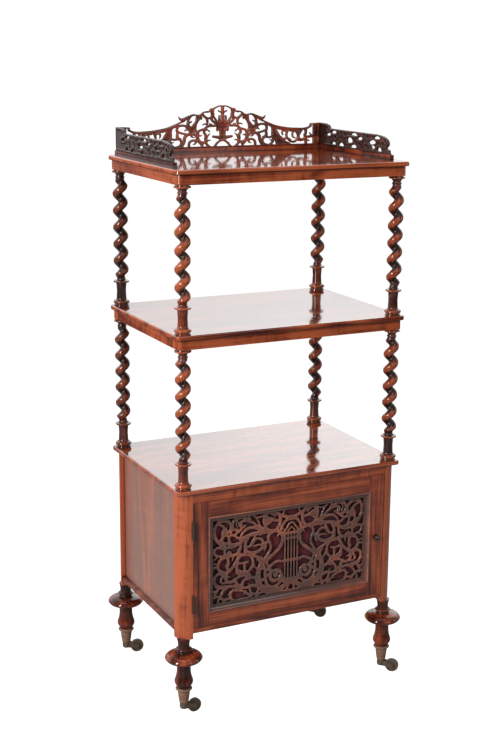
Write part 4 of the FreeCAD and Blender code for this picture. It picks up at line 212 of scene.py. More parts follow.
     (141.4, 5.1), (138.1, 3.8)],
    [(146.1, 186.3), (142.4, 192), (140.1, 194.8), (142.9, 195.4), (149.8, 195.4), (156.1, 194.7),
     (150.8, 190.9)],
    [(133.7, 170.7), (136.5, 176.4), (137.1, 179.3), (136.9, 183.2), (136.2, 187.6),
     (138.1, 186.1), (139.6, 183.5), (140.6, 179.7), (139.5, 173.2)],
    [(140.4, 158.7), (139, 159.8), (136.8, 161.5), (135.5, 163), (137.5, 164.1), (141.9, 165.2),
     (144.2, 165.3), (144.9, 163.4), (145.2, 161.9), (145.6, 160.4), (144.5, 159.6),
     (142.7, 159.2)],
    [(136.2, 137.1), (130, 138.3), (127.6, 139.4), (127.6, 140.8), (128.9, 143.1), (131.9, 144.5),
     (135.6, 147), (139.3, 150.6), (142, 151.8), (143.8, 153.4), (148.9, 152.5), (149.6, 150.2),
     (150.2, 147.6), (148, 143), (147.4, 141), (147.5, 139.2), (146.2, 138.5), (143.6, 138.1),
     (141.3, 137.3)],
    [(139.7, 112.6), (131.9, 116.9), (131.1, 118.2), (131.5, 119.3), (133.5, 118.8),
     (134.7, 119.8), (134, 121.1), (132.1, 122.5), (128.8, 123.8), (128.3, 126.8), (128.4, 129.1),
     (130.9, 128.4), (135.4, 126.6), (146.3, 124.6), (152.9, 124.9), (155.3, 125.3),
     (156.8, 125.4), (158.4, 123.7), (159.7, 121.3), (159.6, 117.2), (158.7, 115.1),
     (155.3, 118.7), (151.8, 120.4), (146.1, 116.1), (144.1, 113.1)],
    [(151.1, 79.3), (149.8, 80.2), (148.7, 81.2), (143.4, 86), (140, 90.6), (136.4, 96.5),
     (133.9, 101), (132.3, 104.1), (135.4, 104.6), (140.1, 104.2), (141, 101), (142.8, 96.9),
     (144.6, 94.5), (145.9, 94.7), (145.5, 98.7), (145.4, 102), (145.8, 104.1), (147, 104.7),
     (149.7, 104.6), (152.2, 103.8), (151.6, 100.9), (150.9, 97.3), (150.2, 93.5), (150.5, 87.5),
     (152.5, 82.9), (152.2, 79.9)],
    [(148.1, 50.1), (145.1, 50.4), (142.8, 51), (140.8, 53.6), (138.5, 54.3), (136.7, 54.2),
     (133.3, 56.1), (129.5, 58.1), (133.2, 61.1), (136.6, 67.3), (137.3, 71.4), (136.7, 74),
     (137.7, 77.5), (138.1, 79.2), (141.4, 76.9), (144.9, 74), (147.6, 71.7), (150.2, 69.6),
     (151.2, 68.5), (154.3, 66.7), (155.2, 64.5), (155.4, 62.7), (153.5, 62.1), (151.5, 61.4),
     (149.3, 59.5), (148.5, 57.9), (149.4, 56.9), (151.2, 57.5), (155.3, 56.6), (155.7, 54.4),
     (151.3, 50.3)],
    [(153.8, 169.5), (151.4, 171.6), (151.7, 174), (151, 176.3), (151.6, 179.8), (160, 187.5),
     (165.8, 188.9), (171.5, 188.5), (173.8, 187.1), (171.5, 185.9), (166.2, 183.1),
     (161.6, 177.7), (160.3, 175.1), (159.2, 175.9), (158.1, 176.9), (156.8, 176.5), (157, 174.8),
     (157, 173.3), (155.9, 171.1)],
    [(151.2, 158.1), (150.4, 159.6), (151.8, 161.2), (153.5, 161.7), (154.3, 160.1),
     (152.8, 158.6)],
    [(155, 141.9), (155.6, 145.2), (156.1, 148.4), (158, 154.5), (159.7, 154.6), (161.8, 154.8),
     (164.1, 153.3), (165.9, 147.2), (164.2, 144.1), (161.5, 142.9), (157.6, 142.3)],
    [(154.4, 133), (154.6, 134.1), (156, 134.7), (158.5, 135.6), (161.1, 135.7), (159.4, 134),
     (156.8, 133.1)],
    [(159.6, 73.8), (158.4, 74.9), (159.1, 78.4), (159.5, 81.1), (161.7, 82.8), (161.2, 85.1),
     (159.1, 90.1), (157.5, 93.3), (157.9, 97.4), (159, 101.2), (159.9, 103), (162.5, 102.7),
     (166.8, 101.4), (172.7, 97.2), (174.8, 91.6), (173.9, 82.5), (171.3, 79.6), (163.6, 74.9)],
    [(162.6, 48.4), (162, 49.6), (162.6, 50.9), (163.1, 52.7), (163.7, 55.3), (163.8, 57.1),
     (164.7, 58.1), (166, 57.6), (167.5, 57.5), (168.1, 56.1), (168.6, 53.2), (167, 49.1),
     (164.1, 48.4)],
    [(137.9, 39), (139.8, 42.8), (142.5, 42.6), (146.3, 42.2), (152.6, 42.6), (157.1, 44.1),
     (160.1, 43.5), (166.6, 43.6), (170.4, 45.3), (172.5, 48.2), (174.5, 49.5), (175.4, 52),
     (174.8, 54), (174.4, 56.3), (173.1, 58.4), (170.9, 62.6), (170.4, 64.9), (173.3, 66),
     (178.3, 66.1), (183.8, 61.3), (184.5, 54.8), (181.1, 47.3), (174.3, 43.6), (159.9, 40.8),
     (153.3, 40.6), (148, 40), (141.4, 39.2), (139.3, 39)],
    [(157.4, 10.2), (152.1, 11.5), (152.3, 13), (152.8, 15), (154.2, 15.5), (157, 17.1),
     (155.7, 18.6), (153.3, 18.9), (150.9, 21.5), (147.8, 25.9), (145.7, 27.6), (144.2, 29.3),
     (143.1, 30.1), (141.6, 29.8), (138.4, 28.9), (135.9, 29.2), (142.5, 31.8), (158, 29.7),
     (163.1, 26), (166.3, 20.9), (168.3, 17.3), (168.8, 14.7), (165.9, 11)],
    [(147.8, 1.2), (147.5, 2.6), (150.3, 3.8), (155.1, 3.4), (158.1, 3.2), (159.6, 3.2),
     (159.9, 1.7), (157.1, 1.1), (152.3, 1.1), (149.2, 1.1)],
    [(190.5, 181.5), (189.2, 183.5), (186.8, 187.6), (181.9, 192.8), (179.5, 194.9),
     (183.6, 195.4), (188.4, 195.4), (190.5, 195.2), (191.2, 192.8), (191.2, 188.3)],
    [(175.2, 149.8), (171.5, 153.9), (170.9, 161.7), (168.5, 170.3), (166.8, 174.4),
     (176.8, 182.5), (179.7, 183.1), (181.2, 180.9), (183.7, 173.5), (182.6, 160.2),
     (177.9, 151.8)],
    [(188, 131.4), (186.2, 132.6), (183.1, 134.3), (177.7, 134.9), (175.2, 135.2), (176.4, 136.9),
     (180.5, 141.3), (184.2, 145.5), (187.3, 149.7), (190.6, 155.3), (191.2, 151.1),
     (191.2, 140.3), (191.2, 136.1), (191, 133.4)],
    [(166.4, 112.9), (165.7, 122.2), (165.7, 124.3), (167.8, 125.4), (172.6, 127.1),
     (181.9, 127.8), (184.4, 125.3), (183.9, 119.5), (175.7, 115), (169.6, 113.7)],
    [(190.1, 106.6), (188.7, 107.3), (186.1, 109.4), (185, 111.4), (186.4, 113), (189.6, 116.6),
     (190.7, 117.8), (191.2, 114.9), (191.2, 110.3), (191.2, 108.8), (191.1, 107.3)],
    [(182, 95.8), (180.3, 99), (177.4, 103.2), (173.6, 106.1), (172.5, 107.1), (173.8, 108.3),
     (176.7, 108.8), (179.4, 109), (181.6, 107.4), (185.7, 104.9), (189.2, 104), (191, 103.1),
     (191.2, 101), (191.1, 98.3), (190, 97.5), (186.4, 97.4)],
    [(189.8, 89.2), (185.9, 90), (183.8, 90), (182.6, 90.7), (185.4, 92.6), (188.8, 93.7),
     (190.8, 93.2), (191.2, 91.8), (191, 89.7)],
    [(190.4, 65.4), (188.6, 67.8), (184.4, 71.7), (180, 73.6), (178, 74.1), (178.7, 75.9),
     (181.2, 80), (182.8, 83.1), (188.3, 83.5), (191, 82.3), (191.2, 79.6), (191.2, 73.6)],
    [(189.6, 32.7), (186.6, 32.8), (182.6, 34.1), (182.1, 35.3), (183.2, 36.4), (186.4, 38.6),
     (187.9, 40.8), (187.7, 43.1), (188.4, 44.8), (190.5, 48), (191.2, 45.4), (191.2, 38.5),
     (191.2, 34.9), (191, 33.1)],
    [(175.5, 18.7), (173.4, 21.5), (170.7, 26.2), (168.4, 29.4), (167.5, 30.9), (169.9, 32.3),
     (173.5, 32.6), (175.5, 32.6), (177.5, 30.4), (179.3, 27.6), (179.9, 26.2), (179.2, 23.7),
     (180.2, 22.7), (183.6, 25.2), (184.3, 23), (183.3, 21.6), (180.8, 19.5), (177, 18.7)],
    [(182.1, 1.2), (181.2, 4.1), (180.3, 8.5), (178.8, 11.2), (178.2, 12.5), (180.9, 13.4),
     (188.4, 12.7), (191, 12.5), (191.2, 11), (191.2, 7.7), (191.2, 3.5), (191, 1.7), (189.6, 1.1),
     (185.7, 1.1), (183.6, 1.1)],
    [(168.2, 1.2), (167.5, 2.3), (169, 4.9), (172.3, 7.8), (173.8, 8.8), (175.3, 7), (175.8, 2.6),
     (175, 1.3), (172.4, 1.1), (169.6, 1.1)],
    [(189.6, 19.5), (189.8, 22.5), (189.3, 25.7), (189.1, 27.2), (190.5, 27.6), (191.1, 24.6),
     (191.1, 21.5), (190.9, 20.1)],
]
DOOR_MIDDLE = [
    [(-5.1, 3.9), (-5.1, 10.3), (-1.3, 15.8), (0.4, 16.2), (1.7, 15.5), (4, 13.1), (5.8, 6.8),
     (5.7, 4.2), (1.5, 3.8), (-3.3, 3.8)],
    [(-14.4, 143.7), (-14.8, 144.8), (-13.8, 146.3), (-10.4, 150.5), (-6.5, 155.5), (-3.1, 160.7),
     (0.2, 161.2), (3.1, 160.7), (4.6, 158.8), (6.4, 155.7), (10.3, 150.7), (13.4, 146.7),
     (14.9, 143.9), (12.8, 143.6), (10.7, 143.7), (10.1, 146.5), (8.7, 148.1), (7, 149.8),
     (2.2, 154.3), (0, 155.6), (-2.1, 154.5), (-4.5, 152.2), (-8.2, 148.7), (-9.8, 146.9),
     (-10.3, 145.6), (-10.5, 143.8), (-12.6, 143.6)],
    [(-6, 143.7), (-6.6, 144.7), (-5.6, 145.9), (-3.7, 147.8), (0.5, 150.7), (1.9, 149.5),
     (4.8, 146.8), (6.7, 144.2), (4.9, 143.6), (-0.6, 143.6), (-4.2, 143.6)],
    [(-17.8, 150.3), (-19.1, 151.6), (-20.6, 152.6), (-21.1, 153.9), (-20.5, 155.6),
     (-19.5, 158.1), (-16.9, 162.2), (-13.2, 166.4), (-5.8, 169.5), (-0.1, 168.8), (5.8, 169.5),
     (13.9, 165.8), (17, 162.1), (18.7, 159.7), (19.9, 156.9), (21.1, 153.2), (19.1, 151.5),
     (17.5, 150.2), (15.1, 152.7), (10.4, 158.9), (6.2, 165.1), (1.3, 166.5), (-5.7, 165.3),
     (-8.5, 162.7), (-10.2, 159.2), (-15.1, 152.7)],
    [(-6.7, 181.8), (-15.4, 184.4), (-18.6, 186), (-18.4, 188.3), (-16.6, 193.4), (-15.5, 195.1),
     (-12.5, 195.4), (-8, 195.4), (7.1, 195.4), (12.2, 195.4), (15.4, 195.1), (16.6, 193.4),
     (18.1, 189.5), (18.6, 186), (15.6, 184.5), (8, 181.9), (0.2, 181.9)],
]

# The lyre: the eye, the radii and the turn in degrees of a volute's opening, and the points in each
# of its arcs; then the pitch and width of the five strings, the places of the four rows of slots
# between them in pitches from the middle, and the levels of the slots in a row.
VOLUTE_EYE = (38.2, 44.5)
VOLUTE_RADII = (6.2, 9.2)
VOLUTE_TURN = (-205, 75)
VOLUTE_POINTS = 40
STRING_PITCH = 7.85
STRING_WIDTH = 4.0
STRING_GAPS = (-1.5, -0.5, 0.5, 1.5)
STRING_SLOTS = ((33.0, 71.0), (78.0, 124.4), (130.5, 136.3))

# The back gallery: the runs of its crest from the middle to the right, and its openings.
BACK_HALF_WIDTH = 258.0
BACK_CREST = [
    [(0, 107), (12, 106), (22, 102), (32, 100)],
    [(32, 100), (34, 95)],
    [(34, 95), (44, 94), (52, 91), (57, 87)],
    [(57, 87), (64, 86.5), (73, 88), (84, 85.5), (96, 81), (105, 79), (112, 83)],
    [(112, 83), (110, 77), (105, 72)],
    [(105, 72), (120, 66), (140, 59), (160, 55), (180, 52.5), (200, 51.5), (216, 51.5), (228, 54)],
    [(228, 54), (231, 57), (231, 61)],
    [(231, 61), (244, 62), (258, 62.5)],
]
BACK_MIRRORED = [
    [(9.9, 69.4), (10.9, 74.7), (10.4, 80.9), (9.6, 83.8), (6.7, 84.5), (5.8, 81.2), (6.3, 76.7),
     (4.8, 72.3), (4, 75.1), (3.7, 84.4), (3.7, 87.4), (4.1, 89.4), (6.6, 90.3), (9, 91.5),
     (11.4, 94.1), (12, 95.8), (10.5, 96.4), (9.3, 95.6), (7.5, 94.5), (4.1, 94.5), (3.7, 98.6),
     (3.7, 101.6), (3.9, 103.1), (7, 103.5), (12.8, 102.2), (18, 99.8), (21, 97.9), (21.8, 95.3),
     (22.3, 91.2), (20.9, 86.2), (21.1, 82.4), (19.4, 80.3), (15.7, 75.6)],
    [(18.5, 70.2), (19.9, 73.4), (22, 76.4), (23.5, 78.2), (24.8, 77.6), (25.3, 76.2),
     (24.2, 74.5), (21.5, 72)],
    [(24, 13.8), (14.8, 23.1), (8.3, 27.5), (23, 32.4), (26.4, 34.5), (25.1, 38), (20.7, 38.2),
     (11.4, 37.7), (7.9, 38.1), (7.8, 42.2), (9, 48.7), (12, 50.5), (12.3, 47.1), (14.4, 47.5),
     (15.5, 49.7), (15.9, 54.4), (15.6, 57.3), (20.6, 57.5), (32.5, 57.2), (39.6, 54.5),
     (33.7, 49.8), (32.2, 46.6), (33.7, 45.9), (36.9, 48.6), (40.9, 49.4), (43.3, 49.2),
     (43.4, 44.4), (40.8, 41.5), (39.4, 39.3), (36.1, 41.3), (31.1, 43.1), (36.2, 37), (38.9, 31),
     (39.1, 29.3), (35.2, 29.1), (29.5, 26.2), (37.5, 24.6), (38.9, 21.4), (36.3, 18.5),
     (29.7, 13.8)],
    [(34.1, 80.2), (32.7, 80.7), (30.9, 82.8), (29.3, 84.9), (29.4, 86.4), (30.6, 89.8),
     (31.2, 92.4), (33.5, 91.7), (37, 90), (41.5, 90), (46.8, 89.7), (48.2, 89.1), (48.1, 87.8),
     (46.1, 85.6), (41.8, 82.2)],
    [(36.5, 62.5), (35, 62.8), (33.6, 63.1), (34.1, 64.3), (34.3, 65.7), (30.9, 66.4),
     (28.1, 65.3), (25.3, 63), (22.6, 63), (20.6, 64), (21.7, 65.1), (25.8, 68.2), (29.1, 71.6),
     (32, 75), (34.9, 75.4), (36.3, 75.1), (36.3, 73.4), (35.9, 70.7), (36.3, 67.7), (37.2, 64.9),
     (37.7, 63.1)],
    [(41.3, 13.8), (40.9, 14.9), (42.7, 16.9), (44.2, 18.9), (45.9, 19.3), (47.9, 18.8),
     (48.5, 16.8), (49.9, 14.8), (49.5, 13.8), (48, 13.7), (45.2, 13.7), (42.8, 13.7)],
    [(63.6, 49.6), (62.3, 50.9), (59.5, 52.5), (54.3, 54.1), (50, 55.3), (46.8, 56.1),
     (45.2, 57.5), (42.7, 59.6), (40.6, 61.3), (42.8, 62.4), (46.7, 62.9), (49.6, 62),
     (51.3, 61.6), (51.8, 62.9), (50.9, 64), (46.2, 66.5), (42.1, 67.3), (41.5, 68.7),
     (44.5, 77.1), (49.3, 80.7), (51.2, 82.6), (52.7, 83.5), (53.2, 82.2), (52.5, 80.9),
     (51.9, 79.2), (52.7, 76), (53.6, 74.4), (55.7, 74.1), (55.3, 76.7), (55.5, 78.1),
     (57.6, 75.8), (59.3, 73), (60.5, 71.3), (62.8, 69.5), (63.2, 67.7), (65, 64.6), (66.4, 59.4),
     (66.7, 54.3)],
    [(66.6, 42.1), (67.4, 43.8), (69.4, 45.1), (71.3, 45.5), (70.8, 43.8), (68.6, 42.8)],
    [(47.3, 25.2), (46.6, 30.5), (46.2, 35.6), (45.9, 37.7), (48.1, 41.2), (49.6, 44.5),
     (49.8, 46.6), (49.8, 49.2), (53.2, 48.7), (58, 46.9), (59.9, 43.6), (60.1, 42.1),
     (58.6, 40.7), (56.8, 39.6), (52.9, 40.2), (52.6, 38.9), (53.6, 37.7), (56.4, 36.1),
     (59.4, 36), (59.7, 34.6), (58.3, 30.1), (54.9, 26.7), (50, 25.4)],
    [(55.5, 13.8), (55, 14.8), (56.2, 16.1), (59.1, 19.1), (61, 21), (64.1, 23.3), (65.6, 23.3),
     (66.7, 21.2), (69.2, 18.6), (73.2, 17.5), (75.5, 17.8), (75.2, 19.4), (73.9, 20),
     (71.4, 21.6), (71.2, 24.6), (72.6, 25), (75.6, 24.8), (81.7, 21.9), (82.6, 17.9),
     (82.6, 15.2), (81.9, 13.9), (80.1, 13.7), (77.1, 13.7), (69.3, 13.7), (62.4, 13.7),
     (58.2, 13.7)],
    [(78.8, 60.7), (77.3, 62.2), (75.8, 64), (70.2, 70.2), (68.8, 72.9), (68.6, 75.3),
     (68.3, 78.3), (67.8, 81.2), (67.7, 82.7), (68.6, 83.8), (71.9, 83.7), (77.5, 82.5),
     (79.3, 81), (83.7, 74.9), (84.2, 73.5), (84.5, 72.1), (83, 70.9), (78.6, 72.8), (77.3, 72.3),
     (78.2, 70.3), (81.4, 67.5), (84.6, 65.6), (84, 63.9), (82.6, 61.3), (80.6, 60.8)],
    [(89.1, 13.8), (88.3, 16.6), (88, 21.7), (81.1, 29.1), (72.9, 30.7), (69.3, 30.3),
     (67.6, 30.3), (67.8, 32.8), (68.6, 35.1), (74, 38.7), (76, 39.4), (76.9, 38.6), (76.1, 37.3),
     (73.1, 36), (71.7, 35.6), (71.9, 33.6), (74, 33.4), (78.4, 34.1), (80.9, 36.3), (82.8, 38.2),
     (85.1, 38.3), (87.5, 38.3), (88.7, 37.3), (93.2, 32.2), (93.6, 27.1), (95.8, 20.9),
     (98.1, 17), (99.9, 14.1), (98.2, 13.7), (94.6, 13.7), (90.6, 13.7)],
    [(92.6, 63.6), (91.7, 65.4), (90.8, 68.3), (90.3, 72.4), (89.8, 76.1), (94.3, 72.8),
     (102.5, 68.4), (109.5, 65.8), (110.7, 64.9), (109.5, 64.5), (106.2, 64.9), (101.4, 65.2),
     (96.4, 64.4), (94.3, 63.8)],
    [(87.3, 44.4), (85.7, 46.8), (85.2, 49.1), (87.3, 49.5), (88.8, 50.5), (89.7, 51.6),
     (92, 50.4), (95.1, 49.2), (96.6, 49.1), (97.1, 50.9), (95.8, 51.7), (94.3, 52.6), (93, 55.3),
     (93.1, 57.1), (95.8, 58.3), (99.6, 59.4), (104.4, 59.4), (108.5, 58.8), (110.8, 58.1),
     (112.3, 54.9), (112.7, 51.7), (108.9, 49.4), (100.3, 46.6), (95.3, 45.7), (90.6, 44.9),
     (88.8, 44.8)],
    [(101.7, 27), (100.8, 30), (99.9, 35.3), (98.1, 38.4), (97, 40.2), (100, 41.2), (108.1, 43.4),
     (110.9, 43.9), (111.5, 42.2), (111.5, 38.5), (109.7, 36.1), (107.9, 34.4), (104.7, 34.2),
     (104.5, 32.8), (105.1, 31.5), (103.4, 29.4)],
    [(121.8, 33.4), (118.1, 34.2), (118.1, 37.2), (117.7, 41), (116.9, 45.4), (118.5, 51.2),
     (118.2, 54.7), (118, 57.1), (120.3, 57.3), (122.3, 56.9), (125.6, 54.9), (127.6, 53.1),
     (128.4, 49.2), (128.5, 43.9), (128.1, 38.8), (128.2, 34.9), (126.3, 34.2)],
    [(120.8, 14.6), (119.2, 15.5), (115.7, 16.3), (109.8, 18.9), (107.3, 23.2), (108.5, 26.6),
     (110.9, 28.4), (112.2, 29), (113.7, 28.9), (116.7, 28.5), (122.3, 27.8), (126.8, 28.5),
     (129.7, 28.8), (130.6, 27.4), (128.5, 25.7), (126.2, 25.6), (124.2, 26), (123.6, 24.7),
     (124.6, 23.6), (126.9, 22.3), (128.4, 22), (128.7, 20.8), (127.7, 19.7), (124.6, 17.3),
     (122.7, 15.8)],
    [(131.3, 13.8), (130.9, 14.9), (132, 15.9), (133.9, 18.3), (136.4, 23.4), (137.4, 24.7),
     (138.7, 21.1), (140.5, 15.7), (140.6, 14), (139.1, 13.7), (136.7, 13.7), (132.8, 13.7)],
    [(159, 27.8), (157.9, 29.5), (156.4, 31.4), (154.2, 33), (151.7, 34.1), (150.3, 36.1),
     (148.5, 39.2), (143, 48.1), (142.4, 49.8), (145.3, 48.8), (152.2, 46.7), (156.5, 46.1),
     (155.3, 42.5), (157.4, 35.1), (159.2, 33.7), (160.1, 35), (159.5, 36.5), (158.9, 38.1),
     (158.7, 40.2), (161.6, 43.4), (164.6, 42.2), (166.7, 41), (166.1, 37.8), (166, 35.7),
     (166.3, 32.4), (166.5, 30.1), (165.1, 29.5), (162.5, 28.8), (160.5, 28.2)],
    [(184.4, 21), (181.9, 21.9), (181.8, 24), (180.3, 25.8), (175.4, 28), (172.4, 30.6),
     (171.4, 33.7), (171.5, 37.8), (173.3, 42), (174.7, 44.6), (178.2, 42.5), (182.1, 42.3),
     (184, 42.2), (183.3, 39.6), (183, 34.2), (184.7, 29.1), (188.1, 26.8), (190.4, 26.1),
     (192.2, 25.8), (193.7, 27.3), (192.4, 29.1), (188.2, 30.8), (186.9, 36.5), (188.4, 40.7),
     (190.1, 42.2), (192.6, 40.6), (197.4, 32.2), (194.5, 24.5)],
    [(201, 38.9), (201.9, 41.7), (202.7, 44.3), (204.7, 45.4), (205.1, 44.2), (204.3, 42.9),
     (202.8, 40.7)],
    [(181.7, 13.8), (178.5, 15.9), (175.8, 17.2), (170.6, 19.6), (167.1, 21.4), (165.3, 22.5),
     (165.5, 23.6), (167.2, 24.2), (170.8, 24.2), (173.2, 22), (175.8, 19.1), (182.6, 16),
     (190.9, 16.3), (195.4, 18.5), (197.9, 20.3), (201.1, 19.5), (208.8, 18.7), (215.2, 20.1),
     (217.6, 20.4), (218.2, 17.4), (217.4, 13.8), (215.6, 13.7), (212.6, 13.7), (201.5, 13.7),
     (189.5, 13.7), (184.7, 13.7)],
    [(208.7, 26.5), (205.2, 28.1), (204.4, 33.2), (206, 35.8), (209.2, 40.9), (210.9, 43.3),
     (212.1, 45), (215.9, 45.7), (217.3, 45.3), (217.7, 43.6), (217.8, 40.6), (216.9, 38.1),
     (215.2, 33.3), (216.3, 29.6)],
    [(224.9, 32.7), (222.4, 34.1), (223.3, 36.3), (224.3, 39.7), (224.1, 45.4), (224.4, 47.1),
     (225.8, 47.7), (228.5, 48.9), (233, 51.4), (235.9, 52.9), (236.9, 55.3), (235.9, 57.7),
     (238.8, 58.3), (240, 52.7), (240, 47.2), (240, 38.2), (239.1, 34.5), (237.4, 35.1),
     (234.8, 37.1), (233.6, 38.5), (232.6, 39.6), (230.8, 39.5), (232.8, 33.7), (230.6, 32.9)],
    [(225.6, 13.8), (225.3, 18.4), (227.7, 20), (230.4, 18.2), (231.4, 19.4), (230.7, 21),
     (229, 23.1), (227, 23.7), (224.2, 24), (224.8, 26), (227.5, 26), (233.4, 26.7), (237, 27.3),
     (239.6, 27.2), (240, 25.5), (240, 22.2), (240, 16.5), (239.8, 14.4), (236.8, 13.7),
     (230.5, 13.7), (227.4, 13.7)],
]
BACK_MIDDLE = [
    [(-15.1, 13.8), (-15.7, 14.9), (-14.7, 16), (-13.4, 17.3), (-7.9, 21.9), (-0.2, 24.5),
     (3.3, 23.9), (13.3, 17.4), (15.8, 14.2), (13.5, 13.7), (8.4, 13.7), (-3.4, 13.7),
     (-11.8, 13.7), (-13.6, 13.7)],
]

# A side gallery, from its front end: the runs of its outline, its openings and its round holes.
SIDE_LENGTH = 329.5
SIDE_OUTLINE = [
    [(329.5, 10.5), (329.5, 62.5)],
    [(329.5, 62.5), (296, 62)],
    [(296, 62), (288, 60), (281, 57), (277, 53), (272, 51.5)],
    [(272, 51.5), (66, 51.5)],
    [(66, 51.5), (38, 49), (22, 44), (14, 36), (15, 29), (22, 25)],
    [(22, 25), (17, 21), (10, 20), (8, 14), (3, 10.5)],
    [(3, 10.5), (329.5, 10.5)],
]
SIDE_OPENINGS = [
    [(49, 44), (57, 47), (70, 46), (78, 43), (65, 41)],
    [(67, 33), (75, 37), (89, 36), (99, 31), (91, 28), (77, 29)],
    [(70, 22), (79, 25), (90, 24), (84, 19), (74, 18)],
    [(41, 16), (46, 22), (55, 23), (62, 17), (54, 15)],
    [(126, 38), (133, 41), (143, 39), (150, 36), (139, 34)],
    [(149, 44), (156, 47), (169, 47), (180, 44), (166, 42)],
    [(151, 17), (159, 21), (171, 20), (180, 16), (165, 14)],
    [(169, 28), (175, 35), (185, 36), (196, 32), (195, 26), (181, 25)],
    [(209, 16), (217, 21), (229, 20), (236, 16), (223, 14)],
    [(245, 44), (251, 47), (263, 46), (271, 43), (257, 41)],
    [(247, 17), (253, 21), (261, 21), (269, 17), (257, 15)],
    [(272, 38), (278, 41), (287, 39), (295, 36), (284, 34)],
]
SIDE_DOTS = [
    (103, 43), (119, 45), (109, 22), (137, 24), (205, 42), (222, 33), (222, 44), (247, 32),
    (265, 31), (26, 39), (36, 32),
]
SIDE_DOT_RADIUS = 3.4

# Height of the strip under each gallery.
STRIP_HEIGHT = 10.5


# ---------------------------------------------------------------- values a user would change
class EtagereTurning(bpy.types.PropertyGroup):
    turns: bpy.props.IntProperty(
        name="Turns", description="Turns of the rope twist in each column", default=6, min=1)
    ridge: bpy.props.FloatProperty(
        name="Ridge", description="From the column's axis to the top of the strand",
        default=17.1 * MM, unit="LENGTH", precision=4)
    groove: bpy.props.FloatProperty(
        name="Groove", description="From the column's axis to the bottom of the groove",
        default=4.0 * MM, unit="LENGTH", precision=4)
    fullness: bpy.props.FloatProperty(
        name="Fullness", description="Above 1, the strand is wider than the groove",
        default=1.4, min=0.5)
    arris: bpy.props.FloatProperty(
        name="Arris", description="How far the turned edges are rubbed back",
        default=0.45 * MM, unit="LENGTH", precision=5)
    facets: bpy.props.IntProperty(
        name="Facets", description="Points round a turned piece", default=64, min=12)


class EtagereCarving(bpy.types.PropertyGroup):
    spacing: bpy.props.FloatProperty(
        name="Spacing", description="Distance between points along a sawn edge",
        default=0.95 * MM, unit="LENGTH", precision=5)
    edge_round: bpy.props.FloatProperty(
        name="Edge round", description="How far in from a sawn edge the close-set points go",
        default=0.85 * MM, unit="LENGTH", precision=5)
    pillow: bpy.props.FloatProperty(
        name="Pillow", description="How far in from a sawn edge a band is rounded",
        default=2.7 * MM, unit="LENGTH", precision=5)
    edge_drop: bpy.props.FloatProperty(
        name="Edge drop",
        description="How much lower a band is at its sawn edge than in its middle",
        default=1.7 * MM, unit="LENGTH", precision=5)
    hollow: bpy.props.FloatProperty(
        name="Hollow Shade", description="How deep the wide leaves are gouged",
        default=0.8 * MM, unit="LENGTH", precision=5)


class EtagereFinish(bpy.types.PropertyGroup):
    light: bpy.props.FloatVectorProperty(
        name="Light wood", description="Lightest figure of the rosewood", subtype="COLOR",
        default=(0.47, 0.103, 0.035), min=0, max=1)
    warm: bpy.props.FloatVectorProperty(
        name="Warm wood", description="Body colour of the rosewood", subtype="COLOR",
        default=(0.185, 0.030, 0.012), min=0, max=1)
    dark: bpy.props.FloatVectorProperty(
        name="Dark wood", description="Dark streaks of the rosewood", subtype="COLOR",
        default=(0.026, 0.007, 0.005), min=0, max=1)
    cloth: bpy.props.FloatVectorProperty(
        name="Cloth", description="Colour of the cloth behind the fret", subtype="COLOR",
        default=(0.15, 0.007, 0.017), min=0, max=1)
    brass: bpy.props.FloatVectorProperty(
        name="Brass", description="Colour of the clean brass", subtype="COLOR",
        default=(0.46, 0.31, 0.15), min=0, max=1)
    polish: bpy.props.FloatProperty(
        name="Polish", description="Weight of the polish over the wood", subtype="FACTOR",
        default=0.7, min=0, max=1)


class EtagereStage(bpy.types.PropertyGroup):
    lens: bpy.props.FloatProperty(
        name="Lens", description="Focal length of the camera", default=66.467, unit="CAMERA")
    camera_distance: bpy.props.FloatProperty(
        name="Camera distance", description="Camera to the middle of the view",
        default=3.1974, unit="LENGTH")
    key_power: bpy.props.FloatProperty(
        name="Key light", description="Power of the tall lamp on the left",
        default=108.0, unit="POWER")
    fill_power: bpy.props.FloatProperty(
        name="Fill light", description="Power of the wide lamp in front",
        default=25.0, unit="POWER")
    behind: bpy.props.FloatProperty(
        name="Behind", description="Brightness of the room behind, which the shelves reflect",
        default=1.43, min=0)
    in_front: bpy.props.FloatProperty(
        name="In front", description="Brightness of the room in front", default=0.12, min=0)


# ---------------------------------------------------------------- meshes
# Angle in degrees over which an edge of a carved piece stays sharp.
CARVED_CREASE = 50
# Points closer than this, in metres, are merged.
MERGE_DISTANCE = 1e-6


def grid_faces(rows, columns, closed, start=0):
    """Quads of a grid of rows by columns; closed joins the last column to the first."""
    index = start + np.arange(rows * columns).reshape(rows, columns)
    if closed:
        index = np.hstack([index, index[:, :1]])
    corners = (index[:-1, :-1], index[:-1, 1:], index[1:, 1:], index[1:, :-1])
    return np.stack(corners, axis=-1).reshape(-1, 4)


def new_piece(name, points, faces, crown=None, crease=40.0):
    """Closed mesh from points and faces: merged, turned outwards, and smooth but for the edges over
    crease degrees.

    crown is a value from 0 in the hollows to 1 on the crests, kept as an attribute for the finish.
    """
    mesh = bpy.data.meshes.new(name)
    mesh.from_pydata(np.asarray(points, float).tolist(), [], faces)
    if crown is not None:
        attribute = mesh.attributes.new("crown", "FLOAT", "POINT")
        attribute.data.foreach_set("value", np.asarray(crown, np.float32))
    work = bmesh.new()
    work.from_mesh(mesh)
    bmesh.ops.remove_doubles(work, verts=work.verts, dist=MERGE_DISTANCE)
    bmesh.ops.recalc_face_normals(work, faces=work.faces)
    work.to_mesh(mesh)
    work.free()
    mesh.shade_smooth()
    mesh.set_sharp_from_angle(angle=math.radians(crease))
    piece = bpy.data.objects.new(name, mesh)
    bpy.context.scene.collection.objects.link(piece)
    return piece


